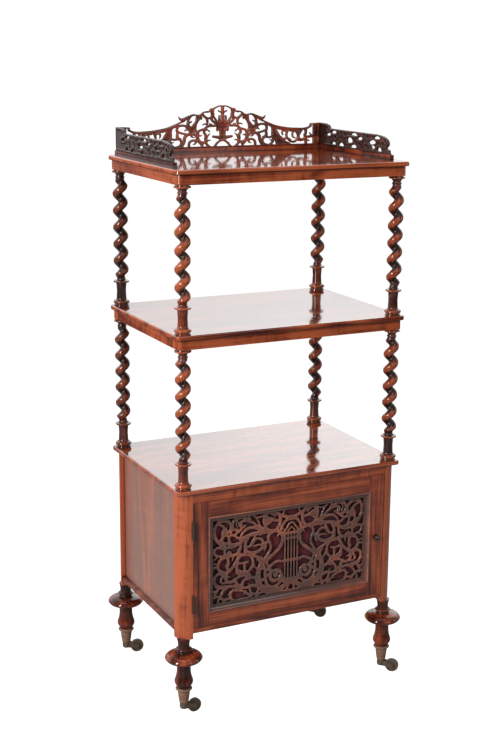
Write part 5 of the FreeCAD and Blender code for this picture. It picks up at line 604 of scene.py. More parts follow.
def fit(piece, body, slot_name, material, *nodes):
    """Gives a piece its body, its finish and the solids that it stands for; slot_name is not used."""
    piece.data.materials.append(material)
    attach(piece, body)
    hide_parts(*nodes)


def paint(material, *nodes):
    """Puts a finish on solids that stay."""
    for name in nodes:
        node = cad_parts[name]
        if not node.material_slots:
            node.data.materials.append(material)
        for place in node.material_slots:
            place.material = material


# ---------------------------------------------------------------- turned work
# Step of an outline's arcs, and the least bend of a corner that is rubbed, in degrees.
ARC_STEP = 8
SHARP_BEND = 20
# Rows of the rope twist's grid in one turn, and the share of its length over which it dies into
# each neck.
ROWS_PER_TURN = 34
NECK_SHARE = 0.07
# Height of a foot, and its bun's widest level, half height and greatest radius, in millimetres.
FOOT_HEIGHT = 153
BUN_LEVEL, BUN_RISE, BUN_REACH = 107.3, 13.5, 42.3
# The feet are thicker than the columns, so they have this many more facets.
FOOT_FACETS = 24
# Radius at which the crown of a turned piece starts to rise, and over what run, in millimetres.
COLUMN_CROWN = (5.5, 10.0)
FOOT_CROWN = (9.0, 16.0)
# How far the reeds of a castor cup are rubbed back, in millimetres.
CUP_ARRIS = 0.25


def turned_outline(entries):
    """Radius and height along a turned outline, in millimetres.

    An entry is (radius, height) for a straight run, or (mid radius, mid height, radius, height) for
    the circle's arc through three points.
    """
    line = [np.array([entries[0]], float)]
    for entry in entries[1:]:
        start, end = line[-1][-1], np.array(entry[-2:], float)
        if len(entry) == 2:
            line.append(end[None])
            continue
        middle = np.array(entry[:2], float)
        across = 2.0 * np.array([middle - start, end - start])
        square = np.array([middle @ middle - start @ start, end @ end - start @ start])
        centre = np.linalg.solve(across, square)
        radius = np.linalg.norm(start - centre)
        angles = [math.atan2(*(point - centre)[::-1]) for point in (start, middle, end)]
        first = (angles[1] - angles[0] + math.pi) % math.tau - math.pi
        second = (angles[2] - angles[1] + math.pi) % math.tau - math.pi
        sweep = first + second
        count = max(2, math.ceil(abs(math.degrees(sweep)) / ARC_STEP))
        turn = angles[0] + sweep * np.arange(1, count + 1) / count
        line.append(centre + radius * np.stack([np.cos(turn), np.sin(turn)], axis=1))
    return np.concatenate(line)


def rubbed(line, arris):
    """Outline with its sharp corners rubbed to small curves.

    Each becomes the start, middle and end of a quadratic curve that reaches arris into both of its
    runs, but never past 0.45 of their length.
    """
    before, corner, after = line[:-2], line[1:-1], line[2:]
    run_in, run_out = corner - before, after - corner
    length_in = np.linalg.norm(run_in, axis=1)
    length_out = np.linalg.norm(run_out, axis=1)
    cosine = (run_in * run_out).sum(axis=1) / np.maximum(length_in * length_out, 1e-12)
    sharp = cosine < math.cos(math.radians(SHARP_BEND))
    reach_in = np.where(sharp, np.minimum(arris, 0.45 * length_in), 0)[:, None]
    reach_out = np.where(sharp, np.minimum(arris, 0.45 * length_out), 0)[:, None]
    start = corner - run_in / np.maximum(length_in, 1e-12)[:, None] * reach_in
    end = corner + run_out / np.maximum(length_out, 1e-12)[:, None] * reach_out
    middle = 0.25 * start + 0.5 * corner + 0.25 * end
    soft = np.stack([start, middle, end], axis=1).reshape(-1, 2)
    whole = np.concatenate([line[:1], soft, line[-1:]])
    step = np.linalg.norm(np.diff(whole, axis=0), axis=1)
    return whole[np.concatenate([[True], step > 1e-6])]


def turned_surface(line, facets):
    """Circle of each radius round the axis: x = r cos a, y = r sin a, z from the outline."""
    angle = np.arange(facets) / facets * math.tau
    radius, height = line[:, :1], line[:, 1:]
    x, y = radius * np.cos(angle), radius * np.sin(angle)
    return np.stack([x, y, np.broadcast_to(height, x.shape)], axis=-1)


def column_outlines(length):
    """Outlines of a column's base and capital, in millimetres."""
    base = turned_outline([
        (0, 0), (17.5, 0), (17.5, 2.0), (15.5, 2.7, 14.9, 4.2), (18.7, 8.4, 14.9, 12.6),
        (12.6, 14.2, 11.2, 18.6), (10.4, 32.7, 11.6, 51.8), (12.6, 52.3), (12.6, 53.6),
        (17.2, 54.3), (18.3, 56.3, 17.2, 58.3), (11.8, 59.4, 9.6, 62.5),
    ])
    low, ring = length - 19.5, length - 4.6
    capital = turned_outline([
        (9.6, low), (9.6, low + 1.0), (11.2, low + 2.4, 9.6, low + 3.8), (9.0, low + 6.0),
        (10.2, low + 9.0, 12.6, ring - 3.4), (13.2, ring - 2.1), (17.5, ring - 1.8),
        (18.4, ring, 17.5, ring + 1.6), (14.8, ring + 2.0), (14.8, length), (0, length),
    ])
    return base, capital


def column_surface(length, start_degrees, values):
    """Turned base, rope twist and capital as one grid.

    In the twist the radius at an angle a from the ridge is the ridge's, less the depth of the
    groove times ((1 - cos a) / 2) to the power of the fullness, and the ridge winds round the axis.
    At each end the radius goes over to the neck's with a smooth step.
    """
    base, capital = column_outlines(length)
    base, capital = rubbed(base, values.arris / MM), rubbed(capital, values.arris / MM)
    low, high = base[-1, 1], capital[0, 1]
    share = np.linspace(0, 1, values.turns * ROWS_PER_TURN + 1)[1:-1, None]
    ramp = np.clip(np.minimum(share, 1 - share) / NECK_SHARE, 0, 1)
    ramp = ramp * ramp * (3 - 2 * ramp)
    angle = np.arange(values.facets) / values.facets * math.tau
    from_ridge = angle - math.tau * values.turns * share - math.radians(start_degrees)
    depth = ((1 - np.cos(from_ridge)) / 2) ** values.fullness
    neck, ridge, groove = base[-1, 0], values.ridge / MM, values.groove / MM
    radius = neck + (ridge + (groove - ridge) * depth - neck) * ramp
    height = np.broadcast_to(low + (high - low) * share, radius.shape)
    twist = np.stack([radius * np.cos(angle), radius * np.sin(angle), height], axis=-1)
    ends = [turned_surface(line, values.facets) for line in (base, capital)]
    return np.concatenate([ends[0], twist, ends[1]])


def bun_point(degrees):
    """Point of the bun's oval outline, at an angle above its widest level."""
    turn = math.radians(degrees)
    return BUN_REACH * math.cos(turn), BUN_LEVEL + BUN_RISE * math.sin(turn)


def foot_outline():
    """Outline of a foot from its spigot to the post, in millimetres above the cup's bottom."""
    under, over = bun_point(-66), bun_point(66)
    return turned_outline([
        (0, 3.3), (8.65, 3.3), (12.45, 35), (16.0, 35), (16.0, 40.2), (20.7, 47.9, 20.3, 54.5),
        (16.7, 66.8, 15.6, 81.3), (15.6, under[1]), under,
        bun_point(-55) + bun_point(-44), bun_point(-22) + bun_point(0),
        bun_point(22) + bun_point(44), bun_point(55) + over,
        (15.2, over[1]), (14.2, 123.3, 15.9, 125.7), (18.4, 126.5, 17.6, 128.3), (12.8, 130.5),
        (12.8, 133.5), (13.4, 144.0, 15.6, FOOT_HEIGHT), (0, FOOT_HEIGHT),
    ])


def cup_outline():
    """Outline of a castor cup, outside and then inside, in millimetres above its bottom."""
    return turned_outline([
        (3.05, 0), (10.6, 0), (10.75, 1.4), (10.1, 2.0), (10.3, 3.2), (11.2, 3.8), (11.4, 5.4),
        (10.8, 6.0), (11.0, 7.2), (11.8, 7.8), (13.5, 23.2), (13.1, 23.8), (13.2, 25.0),
        (14.1, 25.6), (14.4, 29), (16.2, 29.3), (18.8, 32, 16.0, 35), (12.6, 35), (8.8, 3),
        (3.05, 3), (3.05, 0),
    ])


def cup_crown(line):
    """Crown along a cup's outline, from how far it stands out from a plain sleeve.

    The sleeve widens from 10.6 to 14.4 mm over its 29 mm; the crown is 0 at 0.64 mm inside it and 1
    at 0.16 mm outside it.
    """
    narrow, wide, height, run = 10.6, 14.4, 29, 0.8
    sleeve = narrow + (wide - narrow) * np.clip(line[:, 1] / height, 0, 1)
    return np.clip((line[:, 0] - sleeve) / run + run, 0, 1)


def turned_crown(grid, low, run):
    """Crown of a turned grid: 0 up to the radius low, and 1 from low + run."""
    return np.clip((np.linalg.norm(grid[..., :2], axis=-1) - low) / run, 0, 1)


def stand(node, ending, grid, crown, slot_name, material, height=None):
    """Puts a turned grid, in millimetres, on the axis of its solid and gives it to the carcass.

    It stands on the solid's lowest level, or where a height is given that far below its highest.
    """
    low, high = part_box(node)
    bottom = low.z if height is None else high.z - height * MM
    place = np.array([(low.x + high.x) / 2, (low.y + high.y) / 2, bottom])
    faces = grid_faces(grid.shape[0], grid.shape[1], True).tolist()
    piece = new_piece(node + ending, grid.reshape(-1, 3) * MM + place, faces, crown.ravel())
    fit(piece, "carcass", slot_name, material, node)


# ---------------------------------------------------------------- sawn and carved work
# All in millimetres: how far from its sawn edge a wide leaf starts to be gouged, and over what run.
HOLLOW_START, HOLLOW_RUN = 3.4, 2.6
# Shares of the edge round at which a sawn edge has its rings of points, from the crest outward, and
# how much less the crown is at the foot of the edge than at the highest level.
EDGE_STEPS = (1.0, 0.5, 0.16, 0.0)
CROWN_FALL = 0.9
# Pitch of the net of points inside a carved face, how far it keeps from the sawn edges, and how far
# from an edge its depth is still measured.
NET_PITCH, NET_CLEAR, NET_REACH = 1.7, 0.6, 6.0
# Points of the net closer than the first are one point, and so are points of an outline closer than
# the second.
SAME_POINT, SAME_SPOT = 1e-7, 0.05


def spline(points, closed, spacing):
    """Cubic spline through points with chord lengths as its parameter, sampled at even steps.

    The second derivatives m solve h0 m0 + 2 (h0 + h1) m1 + h1 m2 = 6 (slope after - slope before),
    round the loop where it is closed and with none at the ends where it is open.
    """
    knots = np.array(points, float)
    if len(knots) == 2:
        count = max(1, round(np.linalg.norm(knots[1] - knots[0]) / spacing))
        share = np.arange(count)[:, None] / count
        return knots[0] + (knots[1] - knots[0]) * share
    ring = np.vstack([knots, knots[:1]]) if closed else knots
    gap = np.linalg.norm(np.diff(ring, axis=0), axis=1)
    slope = np.diff(ring, axis=0) / gap[:, None]
    size = len(knots)
    matrix, right = np.zeros((size, size)), np.zeros((size, 2))
    row = np.arange(size) if closed else np.arange(1, size - 1)
    before, after = gap[row - 1], gap[row % len(gap)]
    matrix[row, row] = 2 * (before + after)
    np.add.at(matrix, (row, (row - 1) % size), before)
    np.add.at(matrix, (row, (row + 1) % size), after)
    right[row] = 6 * (slope[row % len(gap)] - slope[row - 1])
    if not closed:
        matrix[0, 0] = matrix[-1, -1] = 1
    second = np.linalg.solve(matrix, right)
    distance = np.concatenate([[0], np.cumsum(gap)])
    count = max(10 if closed else 1, round(distance[-1] / spacing))
    along = distance[-1] * np.arange(count) / count
    left = np.clip(np.searchsorted(distance, along, side="right") - 1, 0, len(gap) - 1)
    after_left = (left + 1) % size
    width, passed = gap[left][:, None], (along - distance[left])[:, None]
    ahead = width - passed
    bend = (second[left] * ahead ** 3 + second[after_left] * passed ** 3) / (6 * width)
    return (bend + (knots[left] / width - second[left] * width / 6) * ahead
            + (knots[after_left] / width - second[after_left] * width / 6) * passed)


def signed_area(loop):
    """Shoelace area, positive where the loop runs anticlockwise."""
    after = np.roll(loop, -1, axis=0)
    return 0.5 * float((loop[:, 0] * after[:, 1] - loop[:, 1] * after[:, 0]).sum())


def inside(points, loop):
    """Which points lie in a closed loop, by the number of edges that a ray to the right crosses."""
    a, b = loop, np.roll(loop, -1, axis=0)
    found = np.zeros(len(points), bool)
    near = np.flatnonzero(((points > loop.min(axis=0)) & (points < loop.max(axis=0))).all(axis=1))
    x, y = points[near, :1], points[near, 1:]
    crosses = (a[:, 1] > y) != (b[:, 1] > y)
    rise = np.where(b[:, 1] == a[:, 1], 1e-12, b[:, 1] - a[:, 1])
    meets = (b[:, 0] - a[:, 0]) * (y - a[:, 1]) / rise + a[:, 0]
    found[near] = (crosses & (x < meets)).sum(axis=1) % 2 == 1
    return found


def nearest(points, loops, reach):
    """Distance from each point to the nearest loop, or reach where none is nearer."""
    far = np.full(len(points), reach)
    for loop in loops:
        low, high = loop.min(axis=0) - reach, loop.max(axis=0) + reach
        close = np.flatnonzero(((points > low) & (points < high)).all(axis=1))
        if len(close):
            gaps = np.linalg.norm(points[close][:, None] - loop[None], axis=2).min(axis=1)
            far[close] = np.minimum(far[close], gaps)
    return far


def pillow_drop(distance, values):
    """How far a carved face lies below its highest level, at a distance from the nearest sawn edge:
    a quarter ellipse over the pillow's width, then a gouged hollow where the wood is wide."""
    share = np.clip(distance / (values.pillow / MM), 0, 1)
    rounded = values.edge_drop / MM * (1 - np.sqrt(1 - (1 - share) ** 2))
    wide = np.clip((distance - HOLLOW_START) / HOLLOW_RUN, 0, 1)
    return rounded + values.hollow / MM * wide * wide * (3 - 2 * wide)


def sawn_edge(loop, into, down):
    """Rings of points (across, up, depth) along a loop, one for each distance into the wood and
    depth down of the edge's profile."""
    along = np.roll(loop, -1, axis=0) - np.roll(loop, 1, axis=0)
    along /= np.linalg.norm(along, axis=1)[:, None]
    wood = np.stack([along[:, 1], -along[:, 0]], axis=1)
    rings = loop[None] + into[:, None, None] * wood[None]
    depth = np.broadcast_to(down[:, None, None], rings.shape[:2] + (1,))
    return np.concatenate([rings, depth], axis=2)


def inner_net(outline, crests):
    """Triangular net of points in the wood, and the distance of each to the nearest crest."""
    low, high = outline.min(axis=0), outline.max(axis=0)
    across = np.arange(low[0], high[0], NET_PITCH)
    up = np.arange(low[1], high[1], NET_PITCH * math.sqrt(0.75))
    net = np.stack(np.meshgrid(across, up), axis=-1)
    net[1::2, :, 0] += NET_PITCH / 2
    net = net.reshape(-1, 2)
    keep = inside(net, crests[0])
    for ring in crests[1:]:
        keep &= ~inside(net, ring)
    net = net[keep]
    gap = nearest(net, crests, NET_REACH)
    return net[gap > NET_CLEAR], gap[gap > NET_CLEAR]


def wood_triangles(crests, net):
    """Delaunay triangles of the wood, from the points of the crests and the net.

    Gives their points, the number of each among the given points, which is -1 where the
    triangulation added it, and the triangles. A triangle with all three corners on one opening's
    crest is left out where it lies in that opening.
    """
    joins, owner = [], []
    first = 0
    for number, ring in enumerate(crests):
        index = first + np.arange(len(ring))
        joins.append(np.stack([index, np.roll(index, -1)], axis=1))
        owner.append(np.full(len(ring), number))
        first += len(ring)
    owner = np.concatenate(owner + [np.full(len(net), -1)])
    given = [Vector(point) for point in np.concatenate(crests + [net]).tolist()]
    made = delaunay_2d_cdt(given, np.concatenate(joins).tolist(), [], 0, SAME_POINT)
    spots, triangles = np.array([point[:] for point in made[0]]), np.array(made[2])
    home = np.array([names[0] if names else -1 for names in made[3]])
    ring_of = np.where(home >= 0, owner[home], -2)[triangles]
    middle = spots[triangles].mean(axis=1)
    outside = ~inside(middle, crests[0])
    for number in range(1, len(crests)):
        rows = np.flatnonzero((ring_of == number).all(axis=1))
        outside[rows] |= inside(middle[rows], crests[number])
    return spots, home, triangles[~outside]


def carved_plate(outline, openings, thickness, values, both=True):
    """Pierced plate, carved on its front or on both faces: its points (across, up, depth), its
    faces and its crown.

    Each sawn edge is a profile carried along its loop, which runs down the carved face into the
    straight wall. The faces between the loops are a Delaunay net with inner points, whose depth
    comes from their distance to the nearest edge. All lengths are in millimetres.
    """
    inset = values.edge_round / MM
    loops = [outline if signed_area(outline) < 0 else outline[::-1]]
    loops += [loop if signed_area(loop) > 0 else loop[::-1] for loop in openings]
    into = inset * np.array(EDGE_STEPS)
    down = pillow_drop(into, values)
    crest_drop, edge_drop = down[0], down[-1]
    if both:
        into = np.concatenate([into, into[::-1]])
        down = np.concatenate([down, thickness - down[::-1]])
        sunk = np.minimum(down, thickness - down)
    else:
        into, down = np.append(into, 0.0), np.append(down, thickness)
        sunk = down
    points, faces, crown, crests, front_of, back_of = [], [], [], [], [], []
    start = 0
    for loop in loops:
        edge = sawn_edge(loop, into, down)
        points.append(edge.reshape(-1, 3))
        faces.append(grid_faces(len(into), len(loop), True, start))
        crown.append(np.repeat(1 - CROWN_FALL * np.clip(sunk / edge_drop, 0, 1), len(loop)))
        crests.append(edge[0, :, :2])
        front_of.append(start + np.arange(len(loop)))
        start += len(into) * len(loop)
        back_of.append(start - len(loop) + np.arange(len(loop)))
    net, gap = inner_net(loops[0], crests)
    spots, home, triangles = wood_triangles(crests, net)
    added = np.flatnonzero(home < 0)
    carved = pillow_drop(gap + inset, values)
    tone = 1 - CROWN_FALL * np.clip(carved / edge_drop, 0, 1)
    points += [
        np.column_stack([net, carved]),
        np.column_stack([net, thickness - carved if both else np.full(len(net), thickness)]),
        np.column_stack([spots[added], np.full(len(added), crest_drop)]),
        np.column_stack([spots[added], np.full(len(added), thickness)]),
    ]
    crown += [tone, tone, np.ones(len(added) * 2)]
    front_of = np.concatenate(front_of + [start + np.arange(len(net))])
    back_of = np.concatenate(back_of + [start + len(net) + np.arange(len(net))])
    to_front, to_back = front_of[home], back_of[home]
    to_front[added] = start + 2 * len(net) + np.arange(len(added))
    to_back[added] = to_front[added] + len(added)
    whole = [quad for part in faces for quad in part.tolist()]
    whole += to_front[triangles].tolist() + to_back[triangles][:, ::-1].tolist()
    return np.concatenate(points), whole, np.concatenate(crown)


def circle(centre, radius, spacing):
    """Points evenly round a circle."""
    count = max(16, round(math.tau * radius / spacing))
    angle = np.arange(count) / count * math.tau
    return np.array(centre, float) + radius * np.stack([np.cos(angle), np.sin(angle)], axis=1)


def flipped(points):
    """The same points on the other side of the middle."""
    return [(-across, up) for across, up in points]


def opening_pairs(loops, shape, spacing):
    """Smooth outlines of openings and of their mirror images; shape brings points to scale."""
    return [spline(shape(half), True, spacing) for loop in loops for half in (loop, flipped(loop))]


def straight_sides(corners, shape, spacing):
    """Points along the straight sides of a closed outline; shape brings points to scale."""
    sides = zip(corners, corners[1:] + corners[:1])
    return np.concatenate([spline(shape([start, end]), False, spacing) for start, end in sides])


def volute_opening():
    """C-shaped opening round the eye of a volute: out along one circle and back along another."""
    start, end = (math.radians(angle) for angle in VOLUTE_TURN)
    turn = np.linspace(start, end, VOLUTE_POINTS)
    arc = np.stack([np.cos(turn), np.sin(turn)], axis=1)
    inner, outer = VOLUTE_RADII
    return np.array(VOLUTE_EYE) + np.concatenate([arc * outer, arc[::-1] * inner])


def moulding_profile():
    """Section of the door's moulding, in millimetres: across from its outer edge, and out from the
    front of the door's frame.

    The bead is an oval over 150 degrees of its turn. The slope then falls to 0.7 of the depth of
    the back as 1 - (1 - share) to the power of 1.9, and a square back closes the section.
    """
    turn = np.linspace(0, math.radians(150), 9)
    bead = np.stack([MOULDING_LAP * (0.5 - 0.5 * np.cos(turn)),
                     MOULDING_BEAD * np.sin(turn)], axis=1)
    share = np.linspace(0.06, 1, 10)
    slope = np.stack([MOULDING_LAP + MOULDING_SLOPE * share,
                      0.7 * MOULDING_BACK * (1 - (1 - share) ** 1.9)], axis=1)
    back = np.array([(MOULDING_WIDTH, MOULDING_BACK), (MOULDING_LAP, MOULDING_BACK),
                     (MOULDING_LAP, 0)])
    return np.concatenate([bead, slope, back])


def moulding_run(low, high):
    """Moulding round the fret with mitred corners, in millimetres: its grid and its crown."""
    profile = moulding_profile()
    corners = np.array([(low.x, low.z, 1, 1), (high.x, low.z, -1, 1), (high.x, high.z, -1, -1),
                        (low.x, high.z, 1, -1), (low.x, low.z, 1, 1)])
    x = corners[:, :1] / MM + corners[:, 2:3] * profile[:, 0]
    z = corners[:, 1:2] / MM + corners[:, 3:] * profile[:, 0]
    y = np.broadcast_to(low.y / MM + MOULDING_BEAD - profile[:, 1], x.shape)
    crown = np.clip(0.55 + profile[:, 1] / MOULDING_BEAD * 0.45, 0, 1)
    return np.stack([x, y, z], axis=-1), np.tile(crown, len(corners))


def cloth_surface(low, high):
    """Middle of the cloth, stretched flat but for ripples of up to CLOTH_RIPPLE: half a fine sine
    of the distance across, which the height bends, and half a broad slanting sine."""
    across, up = np.meshgrid(np.linspace(low.x, high.x, CLOTH_COLUMNS),
                             np.linspace(low.z, high.z, CLOTH_ROWS))
    fine = np.sin(across * 170 + 2.0 * np.sin(up * 21)) * 0.5
    broad = np.sin(across * 61 + up * 33) * 0.5
    y = (low.y + high.y) / 2 + CLOTH_RIPPLE * (fine + broad)
    return np.stack([across, y, up], axis=-1)


# ---------------------------------------------------------------- shader groups
def add(tree, kind, inputs=None, **settings):
    """New node with its settings; an input that is a socket is linked, any other is set."""
    node = tree.nodes.new(kind)
    for key, value in settings.items():
        setattr(node, key, value)
    for key, value in (inputs or {}).items():
        if isinstance(value, bpy.types.NodeSocket):
            tree.links.new(value, node.inputs[key])
        else:
            node.inputs[key].default_value = value
    return node


def new_group(name, inputs, outputs):
    """Empty shader group with named sockets: its tree, its input node and its output node."""
    tree = bpy.data.node_groups.new(name, "ShaderNodeTree")
    for label, kind, value in inputs:
        socket = tree.interface.new_socket(
            name=label, in_out="INPUT", socket_type="NodeSocket" + kind)
        if value is not None:
            socket.default_value = value
    for label, kind in outputs:
        tree.interface.new_socket(name=label, in_out="OUTPUT", socket_type="NodeSocket" + kind)
    return tree, tree.nodes.new("NodeGroupInput").outputs, tree.nodes.new("NodeGroupOutput").inputs


def maths(tree, operation, first, second=0.0, clamp=False, third=0.0):
    """Result of a Math node."""
    node = add(tree, "ShaderNodeMath", {0: first, 1: second, 2: third}, operation=operation,
               use_clamp=clamp)
    return node.outputs[0]


def spread(tree, value, low, high, new_low=0.0, new_high=1.0):
    """Value taken from one range to another with a smooth step."""
    node = add(tree, "ShaderNodeMapRange", {"Value": value, "From Min": low, "From Max": high,
                                            "To Min": new_low, "To Max": new_high},
               interpolation_type="SMOOTHSTEP")
    return node.outputs["Result"]


def blend_colour(tree, factor, first, second):
    """Result of a colour Mix node, whose colour sockets are its inputs 6 and 7 and its output 2."""
    return add(tree, "ShaderNodeMix", {0: factor, 6: first, 7: second}, data_type="RGBA").outputs[2]


def stretched_noise(tree, vector, stretch, detail, roughness=0.55, distortion=0.0):
    """Noise whose features are 1/stretch metres long on each axis."""
    scaled = add(tree, "ShaderNodeVectorMath", {0: vector, 1: stretch}, operation="MULTIPLY")
    node = add(tree, "ShaderNodeTexNoise", {
        "Vector": scaled.outputs[0], "Scale": 1.0, "Detail": detail, "Roughness": roughness,
        "Distortion": distortion})
    return node.outputs["Fac"]


def rosewood_group():
    """Rosewood with its grain along X: growth figure, streaks, dark veins, flame and pores."""
    tree, given, out = new_group("Rosewood Figure", [
        ("Vector", "Vector", None), ("Seed", "Float", 0.0),
        ("Light", "Color", (0.5, 0.15, 0.05, 1)), ("Warm", "Color", (0.25, 0.06, 0.02, 1)),
        ("Dark", "Color", (0.04, 0.01, 0.01, 1)),
        ("Growth", "Float", 8.0), ("Flame", "Float", 0.5), ("Veins", "Float", 0.5),
        ("Tone", "Float", 0.0), ("Fade", "Float", 0.0), ("Smoothest", "Float", 0.12),
        ("Roughest", "Float", 0.3),
    ], [("Color", "Color"), ("Roughness", "Float"), ("Height", "Float")])
    shift = add(tree, "ShaderNodeCombineXYZ", {axis: given["Seed"] for axis in range(3)}).outputs[0]
    place = add(tree, "ShaderNodeVectorMath", {0: given["Vector"], 1: shift}, operation="ADD")
    place = place.outputs[0]

    # The features, of which rings and swell are the broadest and pores the finest.
    swell = stretched_noise(tree, place, (1.3, 7.5, 7.5), 2.0, 0.45, 0.5)
    winding = maths(tree, "MULTIPLY", given["Growth"], math.tau)
    rings = maths(tree, "SINE", maths(tree, "MULTIPLY", swell, winding))
    rings = maths(tree, "MULTIPLY_ADD", rings, 0.5, third=0.5)
    streak = stretched_noise(tree, place, (1.8, 46, 46), 4.0, 0.62)
    fine = stretched_noise(tree, place, (7, 330, 330), 2.0, 0.6)
    hair = stretched_noise(tree, place, (3.5, 150, 150), 3.0, 0.6, 0.2)
    flame = stretched_noise(tree, place, (34, 9, 9), 2.5, 0.5, 1.2)
    pores = spread(tree, stretched_noise(tree, place, (60, 1300, 1300), 1.0), 0.60, 0.74)

    # Their weighted sum is the tone, from the dark colour over the warm to the light one.
    tone = maths(tree, "MULTIPLY", rings, 0.20)
    flame = maths(tree, "SUBTRACT", flame, 0.5)
    for part, weight in ((streak, 0.42), (hair, 0.42), (fine, 0.48), (flame, given["Flame"])):
        tone = maths(tree, "ADD", tone, maths(tree, "MULTIPLY", part, weight))
    tone = maths(tree, "ADD", tone, maths(tree, "SUBTRACT", given["Tone"], 0.18))
    colour = blend_colour(tree, spread(tree, tone, 0.36, 0.62), given["Dark"], given["Warm"])
    colour = blend_colour(tree, spread(tree, tone, 0.54, 0.88), colour, given["Light"])
    veins = spread(tree, stretched_noise(tree, place, (2.6, 95, 95), 3.0, 0.6, 0.3), 0.58, 0.70)
    for marks, weight in ((veins, given["Veins"]), (pores, 0.55)):
        colour = blend_colour(tree, maths(tree, "MULTIPLY", marks, weight), colour, given["Dark"])
    faded = maths(tree, "MULTIPLY", spread(tree, swell, 0.2, 0.6, 0.7, 1.0), given["Fade"])
    colour = blend_colour(tree, faded, colour, (0.40, 0.215, 0.165, 1))
    tree.links.new(colour, out["Color"])

    # Streaks and pores are rougher, and pores are sunk.
    uneven = maths(tree, "ADD", maths(tree, "MULTIPLY", streak, 0.5),
                   maths(tree, "MULTIPLY", pores, 0.5), True)
    rough = add(tree, "ShaderNodeMapRange", {
        "Value": uneven, "From Min": 0.15, "From Max": 0.75, "To Min": given["Smoothest"],
        "To Max": given["Roughest"]})
    tree.links.new(rough.outputs["Result"], out["Roughness"])
    height = maths(tree, "SUBTRACT", maths(tree, "MULTIPLY", fine, 0.35), pores)
    tree.links.new(height, out["Height"])
    return tree


def crown_shade_and_wear_group():
    """Shade and wear of a carved or turned surface, by its crown: its hollows are darkened, a painted
    shade along with old polish, and its crests are lightened, a painted highlight along with rub."""
    tree, given, out = new_group("Crown Shade and Wear", [
        ("Color", "Color", (0.3, 0.1, 0.05, 1)), ("Crown", "Float", 1.0),
        ("Hollow Shade", "Color", (0.02, 0.008, 0.006, 1)), ("Crest Highlight", "Color", (0.46, 0.098, 0.028, 1)),
        ("Shade and Dirt", "Float", 0.7), ("Highlight and Rub", "Float", 0.3), ("Roughness", "Float", 0.2),
    ], [("Color", "Color"), ("Roughness", "Float")])
    hollow = spread(tree, given["Crown"], 0.05, 0.88, 1.0, 0.0)
    hollow = maths(tree, "MULTIPLY", hollow, given["Shade and Dirt"], True)
    crest_highlight = maths(tree, "MULTIPLY", spread(tree, given["Crown"], 0.74, 1.0), given["Highlight and Rub"], True)
    colour = blend_colour(tree, hollow, given["Color"], given["Hollow Shade"])
    colour = blend_colour(tree, crest_highlight, colour, given["Crest Highlight"])
    tree.links.new(colour, out["Color"])
    rough = maths(tree, "ADD", given["Roughness"], maths(tree, "MULTIPLY", hollow, 0.25), True)
    tree.links.new(rough, out["Roughness"])
    return tree


def occlusion_shade_group():
    """Painted shade: an ambient occlusion mask darkens the joints, quirks and hollows of the wood."""
    tree, given, out = new_group("Occlusion Shade", [
        ("Color", "Color", (0.3, 0.1, 0.05, 1)), ("Dark", "Color", (0.012, 0.005, 0.004, 1)),
        ("Reach", "Float", 0.008), ("Strength", "Float", 0.8),
    ], [("Color", "Color")])
    room = add(tree, "ShaderNodeAmbientOcclusion", {"Distance": given["Reach"]}, samples=6)
    # closed is how shut in a point is by its neighbours; the dark colour fills it in as painted
    # shade.
    closed = spread(tree, room.outputs["AO"], 0.42, 0.92, 1.0, 0.0)
    closed = maths(tree, "MULTIPLY", closed, given["Strength"], True)
    tree.links.new(blend_colour(tree, closed, given["Color"], given["Dark"]), out["Color"])
    return tree


def patina_group():
    """Old brass: clean metal under brown tarnish that gathers in patches and specks."""
    tree, given, out = new_group("Brass Patina", [
        ("Vector", "Vector", None), ("Clean", "Color", (0.6, 0.4, 0.2, 1)),
        ("Tarnish", "Color", (0.07, 0.04, 0.02, 1)), ("Amount", "Float", 0.6),
        ("Crown", "Float", 0.5),
    ], [("Color", "Color"), ("Roughness", "Float"), ("Metallic", "Float"), ("Height", "Float")])
    patches = stretched_noise(tree, given["Vector"], (210, 210, 210), 4.0, 0.65)
    specks = stretched_noise(tree, given["Vector"], (900, 900, 900), 2.0)
    amount = maths(tree, "MULTIPLY", maths(tree, "SUBTRACT", given["Amount"], 0.5), 0.8)
    cover = maths(tree, "ADD", patches, amount)
    cover = maths(tree, "SUBTRACT", cover, maths(tree, "MULTIPLY", given["Crown"], 0.08))
    cover = maths(tree, "ADD", cover, maths(tree, "MULTIPLY", specks, 0.12))
    cover = spread(tree, cover, 0.30, 0.55)
    tree.links.new(blend_colour(tree, cover, given["Clean"], given["Tarnish"]), out["Color"])
    tree.links.new(maths(tree, "MULTIPLY_ADD", cover, 0.35, third=0.24), out["Roughness"])
    metal = maths(tree, "SUBTRACT", 1.0, maths(tree, "MULTIPLY", cover, 0.8))
    tree.links.new(metal, out["Metallic"])
    tree.links.new(maths(tree, "ADD", patches, maths(tree, "MULTIPLY", specks, 0.3)), out["Height"])
    return tree


# ---------------------------------------------------------------- finishes
# Turn of the object's coordinates that lays grain along the named axis on the group's X.
GRAIN_TURNS = {"X": (0, 0, 0), "Y": (0, 0, -math.pi / 2), "Z": (0, math.pi / 2, 0)}


def group_of(builder, name):
    """The named shader group, built the first time it is asked for."""
    return bpy.data.node_groups.get(name) or builder()


def use_group(tree, group, inputs):
    """Group node in a material."""
    return add(tree, "ShaderNodeGroup", inputs, node_tree=group)


def rgba(colour):
    """Colour with full alpha."""
    return tuple(colour)[:3] + (1.0,)


def new_material(name):
    """New material: itself, its tree and its Principled shader."""
    material = bpy.data.materials.new(name)
    material.use_nodes = True
    tree = material.node_tree
    tree.nodes.clear()
    shader = tree.nodes.new("ShaderNodeBsdfPrincipled")
    output = tree.nodes.new("ShaderNodeOutputMaterial")
    tree.links.new(shader.outputs[0], output.inputs["Surface"])
    return material, tree, shader


def object_place(tree):
    """Object coordinates of a piece, in metres."""
    return add(tree, "ShaderNodeTexCoord").outputs["Object"]


def crown_of(tree):
    """The crown that the mesh carries."""
    crown = add(tree, "ShaderNodeAttribute", attribute_name="crown", attribute_type="GEOMETRY")
    return crown.outputs["Fac"]


